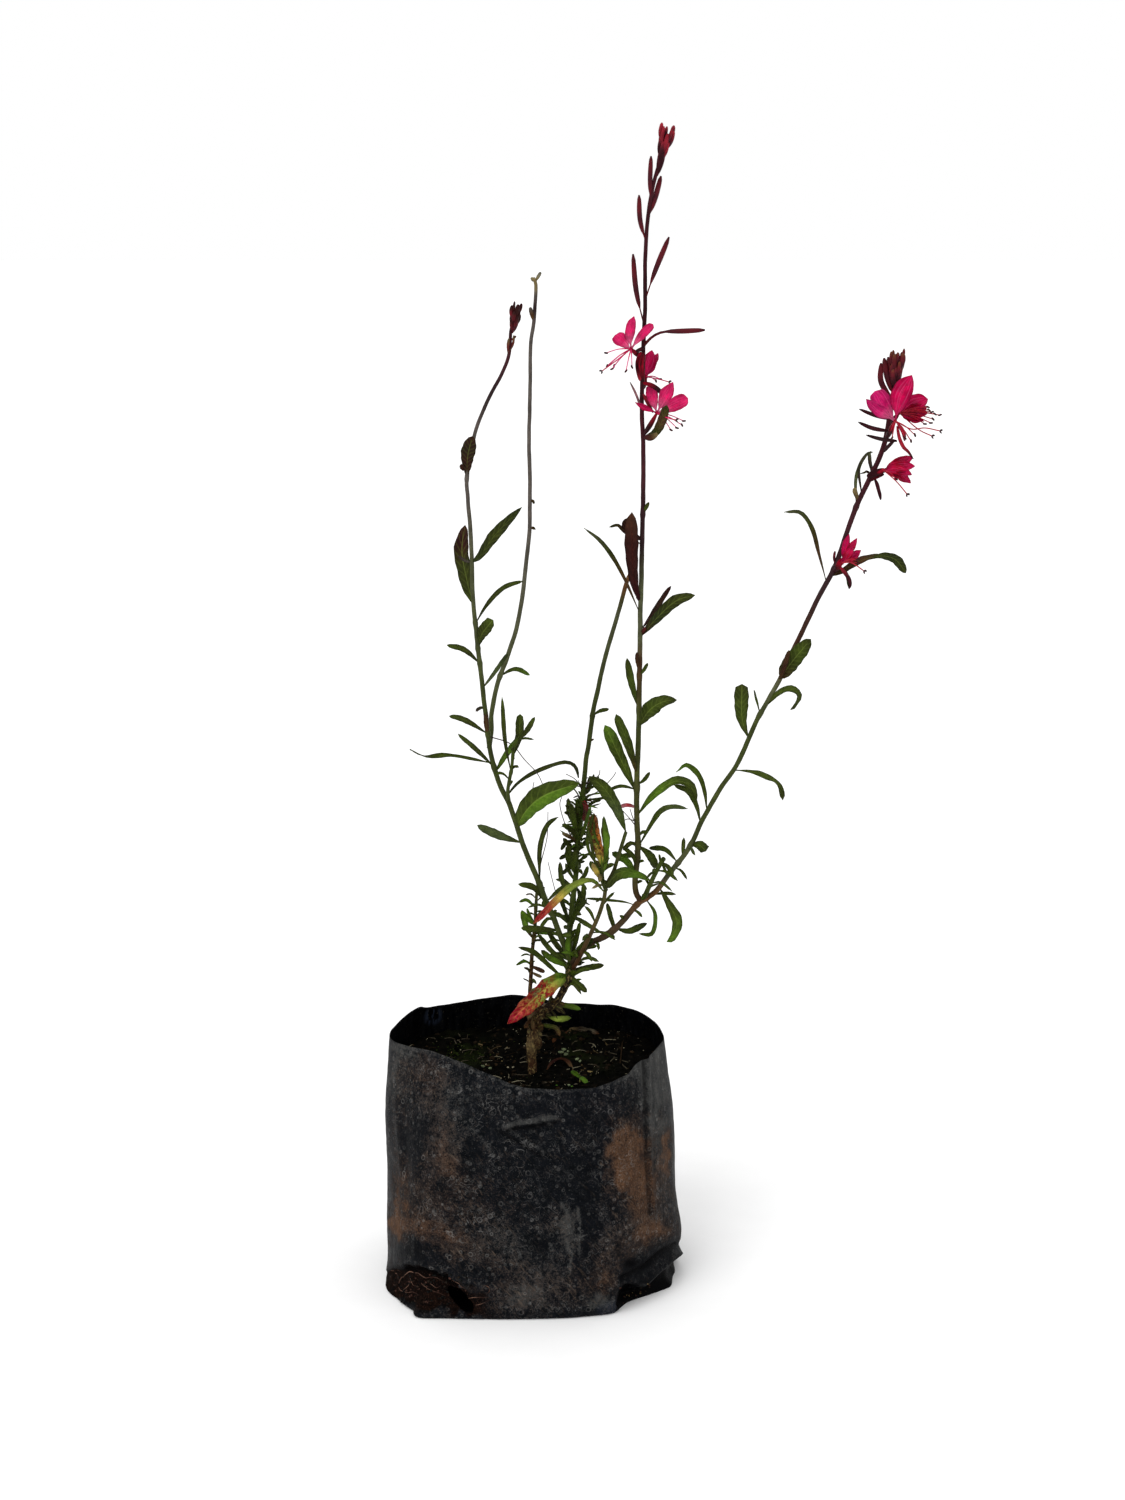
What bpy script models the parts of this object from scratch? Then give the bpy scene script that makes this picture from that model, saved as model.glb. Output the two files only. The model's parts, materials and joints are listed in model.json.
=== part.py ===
"""A pink gaura in a black film grow bag: each piece is one closed solid, in metres, +Z up.

The origin is the middle of the bag's flat base. +X is to the right and +Y is away from whoever looks
at the front of the bag. Stems, leaves and petals are placed by the points where they show from the
front, each with its depth in millimetres behind the middle of the bag.
"""

import math
from collections import namedtuple

import bmesh
import bpy
import numpy as np
from mathutils import Vector
from mathutils.geometry import intersect_point_line

# Driving dimensions, in metres

MM = 0.001
GAP = 0.3 * MM  # what touching pieces keep between them

FILM = 0.4 * MM
FOLD_RADIUS = 3 * MM  # how the film rounds from the base into the wall
BULGE = 2.0 * MM  # how far the filled wall swells past a straight line from base to rim
WALL_SIDES = 60
WALL_LEVELS = (0.0, 0.03, 0.12, 0.25, 0.4, 0.55, 0.7, 0.85, 1.0)

MIX_TOP = 110 * MM  # height of the potting mix at the stem
MIX_TILT = 0.075  # it lies higher towards the back
MIX_TILT_RIGHT = 0.01
ROOTED_DEPTH = 12 * MM

HOLE_RADIUS = 2.9 * MM
HOLE_STRETCH = 2.7
HOLE_AZIMUTH = math.radians(239)
HOLE_HEIGHT = 10 * MM
HOLE_LEAN = math.radians(45)  # the long hole runs down to the right

TAPERED_START = 0.35  # a branch starts this much thinner, where it is seated
SEAT_RADIUS = 0.05  # the share of its radius by which a branch's end stands back beyond the gap
LEAF_THICKNESS = 0.5 * MM
PETAL_THICKNESS = 0.4 * MM
FILAMENT_RADIUS = 0.22 * MM
THROAT_RADIUS = 1.1 * MM

MERGE = 1e-6
SEAT_STEP = 0.1 * MM  # how finely a piece's line is searched for its seat

# The front view that the picture points were read in, 1125 pixels wide and 1500 tall

EYE = Vector((0.015, -1.195, 0.551))
LOOK_DOWN = math.radians(13)
PICTURE_CENTRE = (562.5, 750.0)
LENS_IN_PIXELS = 2500.0
TOWARDS_EYE = Vector((0.0, -math.cos(LOOK_DOWN), math.sin(LOOK_DOWN)))


def seen(across, down, depth):
    """The point that shows at this picture point and lies this many millimetres behind the middle."""
    right = (across - PICTURE_CENTRE[0]) / LENS_IN_PIXELS
    rise = (PICTURE_CENTRE[1] - down) / LENS_IN_PIXELS
    ahead = math.cos(LOOK_DOWN) + rise * math.sin(LOOK_DOWN)
    upward = rise * math.cos(LOOK_DOWN) - math.sin(LOOK_DOWN)
    return EYE + Vector((right, ahead, upward)) * ((depth * MM - EYE.y) / ahead)


# The bag: rim points in the front view with their depth, and the outline of the base in millimetres

RIM_POINTS = (
    (664, 1037, 4), (657, 1024, 20), (644, 1014, 34), (621, 1006, 44), (590, 1004, 49), (559, 1002, 51),
    (527, 996, 52), (509, 995, 52), (467, 1001, 49), (430, 1007, 43), (419, 1007, 37), (402, 1019, 23),
    (390, 1032, 6), (393, 1041, -8), (412, 1047, -20), (437, 1053, -30), (460, 1062, -37),
    (483, 1072, -43), (518, 1086, -50), (541, 1089, -52), (582, 1089, -52), (610, 1083, -47),
    (630, 1069, -38), (646, 1059, -27), (660, 1045, -9),
)
BASE_POINTS = (
    (73, 0), (71, 22), (62, 42), (45, 53), (20, 56), (-20, 56), (-48, 52), (-66, 38), (-73, 15),
    (-74, -8), (-68, -32), (-55, -51), (-30, -56), (10, -57), (38, -55), (55, -42), (70, -19),
)

# Stems: points (across, down, depth) from the lower end to the tip, with a radius at each end in mm

Stem = namedtuple("Stem", "parent points thick thin")
STEMS = {
    "woody_base": Stem(None, (
        (533, 1069, -4), (532, 1049, -4), (534, 1035, -3), (536, 1022, -3),
        (545, 1010, -2), (556, 1003, -1), (563, 991, 0), (568, 979, 0), (571, 966, 0), (571, 955, 0),
    ), 2.3, 1.9),
    "right_stem": Stem("woody_base", (
        (571, 966, 0), (577, 957, -3), (589, 944, -5), (603, 937, -6), (619, 925, -7), (636, 905, -7),
        (644, 899, -7), (656, 891, -8), (669, 874, -10), (683, 857, -12), (693, 841, -14), (700, 825, -16),
        (708, 810, -18), (720, 789, -20), (735, 768, -22), (745, 747, -24), (757, 720, -26),
        (779, 681, -29), (792, 653, -31), (802, 632, -32), (815, 604, -33), (826, 584, -34),
        (836, 565, -34), (846, 535, -35), (858, 503, -35), (872, 474, -34), (881, 455, -33),
        (887, 433, -33), (892, 400, -33), (896, 384, -33), (897, 372, -33),
    ), 1.8, 0.9),
    "centre_stem": Stem("right_stem", (
        (641, 901, -7), (636, 893, -7), (635, 880, -8), (637, 858, -9), (638, 840, -10), (637, 822, -9),
        (637, 787, -6), (638, 740, -2), (639, 720, 0), (639, 679, 3), (640, 633, 6), (641, 587, 8),
        (642, 544, 8), (643, 510, 7), (643, 480, 5), (643, 440, 2), (642, 412, 0), (642, 385, -2),
        (643, 354, -3), (644, 322, -4), (645, 300, -5), (646, 238, -6), (652, 192, -6), (659, 164, -6),
        (663, 148, -6),
    ), 1.3, 0.7),
    "left_stem": Stem("woody_base", (
        (571, 962, 0), (564, 945, -3), (557, 927, -6), (552, 914, -8), (546, 902, -10), (538, 881, -13),
        (529, 860, -15), (522, 842, -17), (515, 820, -18), (509, 803, -19), (501, 788, -20),
        (495, 772, -21), (490, 752, -22), (487, 731, -23), (485, 710, -24), (481, 674, -26),
        (477, 636, -28), (473, 597, -30), (471, 536, -32), (468, 500, -33), (467, 475, -34),
        (474, 436, -35), (482, 413, -35), (492, 391, -35), (502, 373, -35), (509, 354, -35),
        (511, 332, -35), (513, 322, -35),
    ), 1.3, 0.6),
    "whip_stem": Stem("left_stem", (
        (489, 748, -22), (491, 733, -18), (491, 717, -15), (493, 704, -12), (496, 690, -10),
        (499, 679, -7), (508, 655, -2), (518, 621, 6), (524, 582, 13), (529, 536, 20), (530, 500, 24),
        (529, 444, 29), (530, 383, 33), (531, 342, 35), (534, 322, 36), (536, 287, 37), (533, 278, 37),
    ), 1.0, 0.7),
    "middle_stem": Stem("woody_base", (
        (571, 960, 0), (570, 945, 5), (570, 927, 9), (573, 898, 13), (576, 876, 16), (577, 849, 18),
        (581, 814, 21), (584, 782, 23), (586, 760, 24), (589, 744, 25), (593, 712, 27), (597, 694, 28),
        (606, 654, 30), (614, 628, 31), (620, 607, 32), (627, 581, 32), (630, 575, 32),
    ), 1.2, 0.7),
    "short_stem": Stem("woody_base", (
        (571, 970, 0), (577, 962, -5), (588, 940, -13), (599, 915, -15), (604, 899, -16), (606, 885, -17),
        (613, 872, -18), (617, 861, -18), (622, 845, -18), (626, 832, -18),
    ), 1.0, 0.7),
    "brown_stem": Stem(None, (
        (528, 1060, 9), (529, 1040, 9), (530, 1017, 9), (530, 994, 9), (531, 975, 8), (532, 956, 7),
        (534, 936, 6), (536, 906, 4), (537, 892, 3),
    ), 1.1, 0.6),
    "old_leaf_shoot": Stem("short_stem", (
        (606, 890, -17), (602, 880, -21), (602, 868, -22), (603, 850, -23),
    ), 0.9, 0.7),
    "stub_shoot": Stem("right_stem", (
        (644, 899, -7), (650, 884, -13), (657, 870, -16), (664, 858, -18),
    ), 1.2, 0.8),
    "left_side_shoot": Stem("left_stem", (
        (509, 803, -19), (508, 790, -24), (512, 766, -28), (514, 747, -30), (518, 738, -31),
    ), 0.8, 0.5),
}

# Leaves: the stem, the picture points from base to tip, the width in mm, how far the tip reaches
# back from the base in mm (negative is forward), and how far the blade rolls from facing the front

Leaf = namedtuple("Leaf", "stem points width reach roll")
SEPARATE_LEAVES = {
    "large_green_leaf": Leaf("left_stem", ((517, 826), (528, 809), (546, 795), (580, 783)), 10.5, -14, 15),
    "grey_green_leaf": Leaf("left_stem", ((522, 843), (499, 835), (477, 825)), 4.2, -7, 10),
    "left_wavy_leaf": Leaf("left_stem", (
        (491, 764), (473, 759), (448, 754), (426, 756), (410, 749)), 2.4, -12, 20),
    "left_arching_leaf": Leaf("left_stem", (
        (506, 797), (518, 783), (538, 771), (562, 763), (574, 766), (579, 778)), 2.4, 14, 30),
    "left_upper_leaf": Leaf("left_stem", ((471, 562), (480, 556), (496, 534), (522, 507)), 5.0, -8, 10),
    "left_broad_leaf": Leaf("left_stem", ((474, 604), (468, 585), (462, 552), (465, 525)), 7.0, 9, 20),
    "red_tip_leaf": Leaf("short_stem", (
        (605, 893), (592, 880), (573, 885), (555, 901), (533, 924)), 4.6, -14, 10),
    "blue_green_leaf": Leaf("short_stem", ((626, 829), (616, 806), (604, 788), (589, 776)), 6.0, -9, 15),
    "orange_leaf": Leaf("old_leaf_shoot", ((603, 856), (598, 838), (592, 818)), 4.6, -7, 10),
    "speckled_red_leaf": Leaf("woody_base", (
        (568, 976), (556, 980), (541, 992), (525, 1007), (507, 1024)), 7.5, -16, 10),
    "olive_leaf": Leaf("stub_shoot", ((651, 881), (638, 874), (620, 872), (604, 888)), 5.6, -10, 30),
    "arched_leaf_upper": Leaf("centre_stem", (
        (638, 816), (649, 800), (664, 787), (677, 781), (690, 786), (697, 801)), 4.6, -14, 15),
    "arched_leaf_lower": Leaf("centre_stem", (
        (638, 848), (651, 825), (661, 811), (673, 807), (688, 809)), 2.8, -24, 20),
    "paired_leaf_near": Leaf("centre_stem", ((637, 776), (629, 746), (616, 714)), 5.6, -8, 12),
    "paired_leaf_far": Leaf("centre_stem", ((637, 793), (622, 762), (605, 725)), 6.0, 8, -15),
    "centre_upper_leaf": Leaf("centre_stem", ((639, 726), (650, 710), (663, 702), (677, 700)), 5.4, -8, 15),
    "centre_green_leaf": Leaf("centre_stem", ((641, 637), (658, 617), (676, 601), (695, 595)), 5.4, -9, 15),
    "folded_brown_leaf": Leaf("centre_stem", ((641, 631), (654, 612), (663, 598), (671, 586)), 2.6, 9, 20),
    "maroon_leaf": Leaf("centre_stem", ((640, 604), (634, 580), (632, 545), (632, 512)), 5.2, -8, 15),
    "left_reaching_leaf": Leaf("centre_stem", (
        (640, 614), (626, 581), (614, 558), (600, 540), (584, 528)), 2.4, -14, 20),
    "right_inner_leaf": Leaf("right_stem", ((701, 824), (697, 806), (689, 791), (674, 785)), 3.2, 12, 20),
    "right_hooked_leaf": Leaf("right_stem", (
        (707, 812), (705, 792), (699, 774), (686, 764), (676, 772)), 3.0, -9, 20),
    "right_hanging_leaf": Leaf("right_stem", (
        (660, 888), (670, 906), (677, 922), (673, 936), (667, 942)), 5.0, -8, 15),
    "right_wavy_leaf": Leaf("right_stem", (
        (733, 770), (748, 771), (762, 775), (777, 783), (783, 800)), 3.2, -16, 20),
    "right_ovate_leaf": Leaf("right_stem", ((749, 739), (742, 718), (742, 684)), 6.6, 9, 15),
    "right_curled_leaf": Leaf("right_stem", (
        (764, 707), (777, 694), (790, 689), (799, 696), (791, 710)), 3.6, -12, 25),
    "right_big_leaf": Leaf("right_stem", ((781, 678), (792, 662), (811, 639)), 7.0, -9, 12),
    "right_long_leaf": Leaf("right_stem", (
        (827, 583), (820, 556), (813, 529), (801, 512), (784, 512)), 2.6, 12, 30),
    "right_outer_leaf": Leaf("right_stem", (
        (837, 561), (850, 563), (867, 558), (885, 557), (904, 571)), 4.0, -12, 15),
}
SMALL_LEAVES = (
    Leaf("woody_base", ((571, 966), (553, 952), (538, 934)), 3.0, 9, 15),
    Leaf("woody_base", ((567, 982), (550, 966), (534, 952), (518, 947)), 3.0, -6, 15),
    Leaf("woody_base", ((570, 974), (577, 983), (587, 992)), 3.4, -4, 10),
    Leaf("woody_base", ((571, 970), (586, 968), (604, 965)), 3.4, 8, 15),
    Leaf("woody_base", ((548, 1007), (562, 1005), (581, 1009)), 3.0, 8, 15),
    Leaf("woody_base", ((542, 1013), (556, 1019), (571, 1018)), 3.8, -4, 10),
    Leaf("right_stem", ((614, 931), (611, 918), (607, 903)), 2.6, 9, 10),
    Leaf("right_stem", ((606, 936), (590, 926), (575, 917)), 2.6, 7, 10),
    Leaf("right_stem", ((616, 929), (630, 931), (647, 923)), 3.6, 9, 10),
    Leaf("right_stem", ((636, 905), (620, 901), (585, 898)), 1.8, 10, 25),
    Leaf("right_stem", ((646, 899), (655, 914), (652, 933), (639, 934)), 2.6, 12, 20),
    Leaf("right_stem", ((678, 863), (665, 849), (649, 848)), 3.0, 12, 15),
    Leaf("right_stem", ((691, 845), (699, 845), (706, 851)), 5.0, -6, 20),
    Leaf("right_stem", ((760, 714), (757, 702), (754, 690)), 2.0, 4, 10),
    Leaf("right_stem", ((857, 507), (856, 478), (863, 459), (871, 451)), 1.8, 5, 20),
    Leaf("right_stem", ((834, 569), (846, 573), (849, 588)), 1.8, -5, 10),
    Leaf("centre_stem", ((638, 785), (644, 780), (650, 772)), 2.2, -4, 10),
    Leaf("centre_stem", ((637, 790), (622, 786), (608, 790)), 1.8, -9, 10),
    Leaf("centre_stem", ((638, 845), (650, 856), (656, 868)), 4.6, 7, 10),
    Leaf("centre_stem", ((637, 858), (628, 855), (617, 860)), 3.6, 9, 15),
    Leaf("centre_stem", ((639, 710), (632, 684), (627, 658)), 2.6, 6, 10),
    Leaf("centre_stem", ((640, 676), (644, 670), (648, 663)), 2.0, -3, 10),
    Leaf("centre_stem", ((643, 514), (646, 508), (649, 502)), 2.0, -3, 10),
    Leaf("centre_stem", ((652, 200), (650, 180), (651, 157)), 1.9, -4, 0),
    Leaf("centre_stem", ((649, 218), (655, 198), (661, 178)), 2.2, 5, 0),
    Leaf("centre_stem", ((646, 242), (641, 218), (639, 196)), 2.2, -4, 0),
    Leaf("centre_stem", ((646, 300), (655, 271), (669, 238)), 2.4, -6, 0),
    Leaf("centre_stem", ((644, 326), (636, 290), (633, 255)), 2.4, 4, 0),
    Leaf("centre_stem", ((644, 348), (654, 335), (676, 332), (704, 330)), 2.6, -6, 0),
    Leaf("left_stem", ((474, 624), (486, 606), (503, 588), (523, 581)), 1.8, 8, 15),
    Leaf("left_stem", ((477, 648), (482, 634), (493, 620)), 4.8, -5, 10),
    Leaf("left_stem", ((479, 664), (465, 650), (447, 645)), 2.8, -6, 10),
    Leaf("left_stem", ((487, 734), (465, 720), (449, 716)), 2.2, 6, 10),
    Leaf("left_stem", ((492, 768), (477, 750), (458, 734)), 2.6, 7, 10),
    Leaf("left_stem", ((539, 884), (540, 848), (547, 826), (558, 817)), 2.8, -9, 15),
    Leaf("left_stem", ((547, 905), (535, 888), (518, 884)), 3.4, -5, 10),
    Leaf("left_stem", ((468, 478), (468, 455), (473, 436)), 5.0, -5, 10),
    Leaf("whip_stem", ((500, 676), (515, 669), (530, 675)), 2.4, 6, 10),
    Leaf("middle_stem", ((578, 850), (571, 856), (576, 870)), 3.4, 6, 10),
    Leaf("middle_stem", ((574, 884), (580, 898), (571, 914)), 3.4, 8, 10),
    Leaf("middle_stem", ((583, 796), (588, 790), (591, 776)), 3.0, 5, 10),
    Leaf("middle_stem", ((592, 716), (600, 711), (609, 709)), 2.2, 4, 10),
    Leaf("middle_stem", ((571, 926), (560, 915), (548, 914)), 2.8, 8, 10),
    Leaf("middle_stem", ((573, 900), (562, 880), (560, 862)), 2.8, 9, 10),
    Leaf("middle_stem", ((579, 832), (570, 815), (568, 798)), 2.8, 9, 10),
    Leaf("brown_stem", ((536, 908), (527, 900), (519, 902)), 1.9, -4, 10),
    Leaf("brown_stem", ((533, 940), (526, 926), (522, 910)), 3.2, 6, 10),
    Leaf("brown_stem", ((534, 934), (544, 932), (553, 933)), 3.0, 8, 10),
    Leaf("brown_stem", ((532, 964), (524, 961), (516, 965)), 1.9, -3, 10),
    Leaf("old_leaf_shoot", ((602, 868), (607, 842), (604, 816)), 3.8, -10, 10),
    Leaf("old_leaf_shoot", ((602, 878), (596, 870), (590, 861)), 3.6, -4, 10),
    Leaf("stub_shoot", ((662, 862), (669, 868), (673, 876)), 2.6, -4, 10),
    Leaf("left_side_shoot", ((511, 772), (505, 740), (502, 697)), 2.6, -7, 10),
    Leaf("left_side_shoot", ((513, 756), (519, 736), (520, 714)), 3.6, 5, 10),
    Leaf("left_side_shoot", ((516, 742), (526, 732), (535, 717)), 2.8, -4, 10),
)

# Flowers: the stem and where the tube leaves it, the throat, how far the throat stands back from the
# stem in mm, the petal tips with a width and a reach in mm, and the tips of the stamens and the style

Flower = namedtuple("Flower", "stem root throat back petals stamens")
FLOWERS = {
    "flower_1": Flower("centre_stem", (643, 357), (631, 349), -7, (
        (613, 336, 6.2, 2), (634, 317, 4.6, 4), (652, 325, 4.6, 1),
    ), ((606, 353), (607, 366), (613, 368), (626, 371), (632, 367), (602, 371))),
    "flower_2": Flower("centre_stem", (642, 390), (646, 376), 7, (
        (650, 350, 5.0, 3), (658, 353, 4.6, 5), (640, 352, 3.0, 5),
    ), ((656, 381), (660, 378), (669, 382))),
    "flower_3": Flower("centre_stem", (643, 436), (657, 413), -9, (
        (651, 387, 4.8, 5), (673, 384, 6.0, 2), (687, 399, 6.4, -2), (636, 404, 2.4, -4),
    ), ((682, 425), (677, 428), (671, 430), (676, 420))),
    "flower_4": Flower("right_stem", (886, 440), (895, 421), -9, (
        (874, 393, 8.2, 2), (866, 401, 4.0, -3), (912, 377, 8.4, 2),
    ), ((904, 438), (915, 435), (893, 440), (940, 431))),
    "flower_5": Flower("right_stem", (888, 424), (900, 411), 6, (
        (926, 396, 8.0, 3), (927, 409, 5.4, -3),
    ), ((929, 404), (935, 412), (940, 415))),
    "flower_6": Flower("right_stem", (871, 478), (885, 469), -6, (
        (910, 458, 4.6, 2), (914, 468, 4.6, -2), (910, 481, 4.6, 1),
    ), ((899, 482), (907, 494))),
    "flower_7": Flower("right_stem", (834, 572), (842, 563), -6, (
        (849, 537, 3.4, 2), (856, 541, 3.4, 0), (860, 552, 3.4, 3),
    ), ((858, 566), (861, 569))),
}

# Bud clusters at the tips of stems: (tip across, tip down, width in mm, reach in mm)

BUD_CLUSTERS = {
    "centre_stem": ((668, 124, 3.2, 0), (661, 134, 2.2, 4), (672, 130, 3.0, -4), (659, 146, 2.0, -3)),
    "right_stem": (
        (898, 347, 4.4, 0), (889, 352, 3.2, -4), (905, 352, 3.6, 4), (885, 361, 2.6, 3), (881, 366, 2.2, -3)
    ),
    "left_stem": ((519, 303, 3.0, 0), (512, 305, 2.6, -3), (524, 307, 2.4, 4)),
}

# What lies on the mix, as picture points with depth

DEAD_LEAF = ((548, 1070, -10), (556, 1061, -11), (566, 1062, -13), (572, 1072, -15))
BARK_CHIP = ((565, 1031, 32), (582, 1029, 33), (596, 1033, 31))
TWIG = ((478, 1044, 15), (490, 1049, 6), (505, 1063, -10))
SEEDLING = ((571, 1080, -16), (576, 1074, -17), (586, 1083, -19))

FINISHES = {
    "black_film": ((0.016, 0.018, 0.022), 0.55),
    "potting_mix": ((0.018, 0.013, 0.009), 0.95),
    "bark": ((0.16, 0.12, 0.06), 0.85),
    "green_stem": ((0.07, 0.11, 0.04), 0.6),
    "burgundy_stem": ((0.10, 0.02, 0.03), 0.55),
    "green_leaf": ((0.06, 0.14, 0.02), 0.5),
    "red_leaf": ((0.45, 0.06, 0.05), 0.5),
    "dark_leaf": ((0.08, 0.02, 0.02), 0.5),
    "yellow_leaf": ((0.42, 0.22, 0.04), 0.55),
    "pink_petal": ((0.70, 0.02, 0.13), 0.45),
    "stamen": ((0.60, 0.16, 0.22), 0.5),
    "dry_litter": ((0.20, 0.11, 0.06), 0.85),
}
STEM_FINISH = {"woody_base": "bark", "brown_stem": "bark", "right_stem": "burgundy_stem",
               "centre_stem": "burgundy_stem"}
LEAF_FINISH = {"speckled_red_leaf": "red_leaf", "red_tip_leaf": "red_leaf", "orange_leaf": "yellow_leaf",
               "maroon_leaf": "dark_leaf", "folded_brown_leaf": "dark_leaf"}


# Materials and solids


def finish(name):
    """The Principled material of this name, made the first time that it is asked for."""
    if name in bpy.data.materials:
        return bpy.data.materials[name]
    colour, roughness = FINISHES[name]
    material = bpy.data.materials.new(name)
    material.use_nodes = True
    shader = material.node_tree.nodes["Principled BSDF"]
    shader.inputs["Base Color"].default_value = (*colour, 1.0)
    shader.inputs["Roughness"].default_value = roughness
    shader.inputs["Metallic"].default_value = 0.0
    return material


def solid(name, rings, finish_name):
    """A closed solid skinned over rings of points; a ring whose points are one point is a pole."""
    spokes = len(rings[0])
    last = len(rings) - 1
    skin = bmesh.new()
    bmesh.ops.create_grid(skin, x_segments=spokes, y_segments=last, size=0.5)
    for vert in skin.verts:
        spoke = round((vert.co.x + 0.5) * spokes) % spokes
        ring = round((vert.co.y + 0.5) * last)
        vert.co = rings[ring][spoke]
    bmesh.ops.remove_doubles(skin, verts=skin.verts, dist=MERGE)
    bmesh.ops.recalc_face_normals(skin, faces=skin.faces)
    mesh = bpy.data.meshes.new(name)
    skin.to_mesh(mesh)
    skin.free()
    mesh.materials.append(finish(finish_name))
    mesh.shade_smooth()
    piece = bpy.data.objects.new(name, mesh)
    bpy.context.scene.collection.objects.link(piece)
    return piece


def combined(body, helpers, operation):
    """Joins helper solids to the body, or cuts them from it, and clears the helpers away."""
    group = bpy.data.collections.new("helpers")
    bpy.context.scene.collection.children.link(group)
    for helper in helpers:
        helper.hide_render = True
        helper.display_type = "WIRE"
        bpy.context.scene.collection.objects.unlink(helper)
        group.objects.link(helper)
    boolean = body.modifiers.new("combined", "BOOLEAN")
    boolean.operation = operation
    boolean.operand_type = "COLLECTION"
    boolean.collection = group
    boolean.solver = "EXACT"
    graph = bpy.context.evaluated_depsgraph_get()
    result = bpy.data.meshes.new_from_object(body.evaluated_get(graph))
    body.modifiers.clear()
    body.data = result
    for helper in helpers:
        bpy.data.objects.remove(helper)
    bpy.data.collections.remove(group)


# Lines, tubes and blades


def smooth(points, steps):
    """A polyline on the smooth curve that passes through the points."""
    first = points[0] * 2 - points[1]
    final = points[-1] * 2 - points[-2]
    path = [first, *points, final]
    line = []
    for before, start, end, after in zip(path, path[1:], path[2:], path[3:]):
        for step in range(steps):
            t = step / steps
            bend = (before * 2 - start * 5 + end * 4 - after) * t * t
            twist = (start * 3 - before - end * 3 + after) * t**3
            line.append((start * 2 + (end - before) * t + bend + twist) / 2)
    return [*line, points[-1]]


def at_shares(line, shares):
    """The points at these shares of the line's length."""
    travelled = np.concatenate([[0.0], np.cumsum([(b - a).length for a, b in zip(line, line[1:])])])
    wanted = np.array(shares) * travelled[-1]
    columns = [np.interp(wanted, travelled, [p[axis] for p in line]) for axis in range(3)]
    return [Vector(point) for point in zip(*columns)]


def directions(line):
    """The unit direction of the line at each of its points."""
    ahead = [*line[1:], line[-1] * 2 - line[-2]]
    behind = [line[0] * 2 - line[1], *line[:-1]]
    return [(a - b).normalized() for a, b in zip(ahead, behind)]


def tube(name, line, radii, sides, finish_name):
    """A tapering round solid along a line, closed at both ends."""
    along = directions(line)
    side = along[0].orthogonal().normalized()
    rings = [[line[0]] * sides]
    for point, direction, radius in zip(line, along, radii):
        side = (side - direction * side.dot(direction)).normalized()
        across = direction.cross(side)
        angles = [2 * math.pi * spoke / sides for spoke in range(sides)]
        rings.append([point + (side * math.cos(a) + across * math.sin(a)) * radius for a in angles])
    rings.append([line[-1]] * sides)
    return solid(name, rings, finish_name)


LEAF_SHARES = (0.0, 0.08, 0.25, 0.45, 0.65, 0.85, 1.0)
LEAF_WIDTHS = (0.0, 0.22, 0.62, 0.95, 1.0, 0.66, 0.0)
PETAL_WIDTHS = (0.0, 0.26, 0.48, 0.78, 1.0, 0.88, 0.0)


def blade(name, line, width, thickness, roll, widths, finish_name):
    """A leaf or petal: lens-shaped sections along a line, rolled from facing the front."""
    spine = at_shares(line, LEAF_SHARES)
    rings = []
    for point, direction, share in zip(spine, directions(spine), widths):
        side = direction.cross(TOWARDS_EYE).normalized()
        face = side.cross(direction)
        turned = side * math.cos(roll) + face * math.sin(roll)
        raised = face * math.cos(roll) - side * math.sin(roll)
        half = turned * width * share / 2
        thick = raised * thickness / 2 * (share > 0)
        rings.append([point + half, point + thick, point - half, point - thick])
    return solid(name, rings, finish_name)


# The stems' lines, which leaves and flowers are seated on

STEM_LINES = {}


def radius_at(name, share):
    stem = STEMS[name]
    return (stem.thick + (stem.thin - stem.thick) * share) * MM


def feet_on(name, point):
    """For each stretch of a stem: how far the point is from it, where its foot is, and how far up."""
    path = STEM_LINES[name]
    feet = []
    for step, (start, end) in enumerate(zip(path, path[1:])):
        share = intersect_point_line(point, start, end)[1]
        share = min(max(share, 0.0), 1.0)
        foot = start + (end - start) * share
        feet.append(((point - foot).length, foot, (step + share) / (len(path) - 1)))
    return feet


def away_from(name, line, own_radius):
    """The line without the start that lies inside the stem of this name or closer to it than the gap."""
    length = sum((b - a).length for a, b in zip(line, line[1:]))
    fine = at_shares(line, np.linspace(0, 1, int(length / SEAT_STEP)))
    for index, point in enumerate(fine):
        clear = min(distance - radius_at(name, up) for distance, _, up in feet_on(name, point))
        if clear > GAP + own_radius:
            return fine[index:]
    return fine[-2:]


def depth_on(name, across, down):
    """The depth, in millimetres, of the stem where it shows nearest to a picture point."""
    best = None
    for start, end in zip(STEMS[name].points, STEMS[name].points[1:]):
        run = Vector((end[0] - start[0], end[1] - start[1]))
        offset = Vector((across - start[0], down - start[1]))
        share = min(max(offset.dot(run) / run.length_squared, 0.0), 1.0)
        miss = (offset - run * share).length
        if best is None or miss < best[0]:
            best = (miss, start[2] + (end[2] - start[2]) * share)
    return best[1]


def rooted_line(points):
    """A rooted stem's line, which starts in the mix, under the point where it shows."""
    line = [seen(*point) for point in points]
    line[0].z = mix_height(line[0].x, line[0].y) - ROOTED_DEPTH
    return line


def branch_line(stem):
    """A branch's line, from its seat on its parent to its tip."""
    line = away_from(stem.parent, [seen(*point) for point in stem.points], stem.thick * MM * SEAT_RADIUS)
    return at_shares(line, [0.0, *np.linspace(0.012, 1, len(stem.points))])


def leaf_line(leaf):
    """The smooth line of a leaf in space, from the middle of its stem to its tip."""
    depth = depth_on(leaf.stem, *leaf.points[0])
    last = len(leaf.points) - 1
    points = [seen(*point, depth + leaf.reach * step / last) for step, point in enumerate(leaf.points)]
    points[0] = min(feet_on(leaf.stem, points[0]), key=lambda foot: foot[0])[1]
    return smooth(points, 6)


# The grow bag and the potting mix


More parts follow.
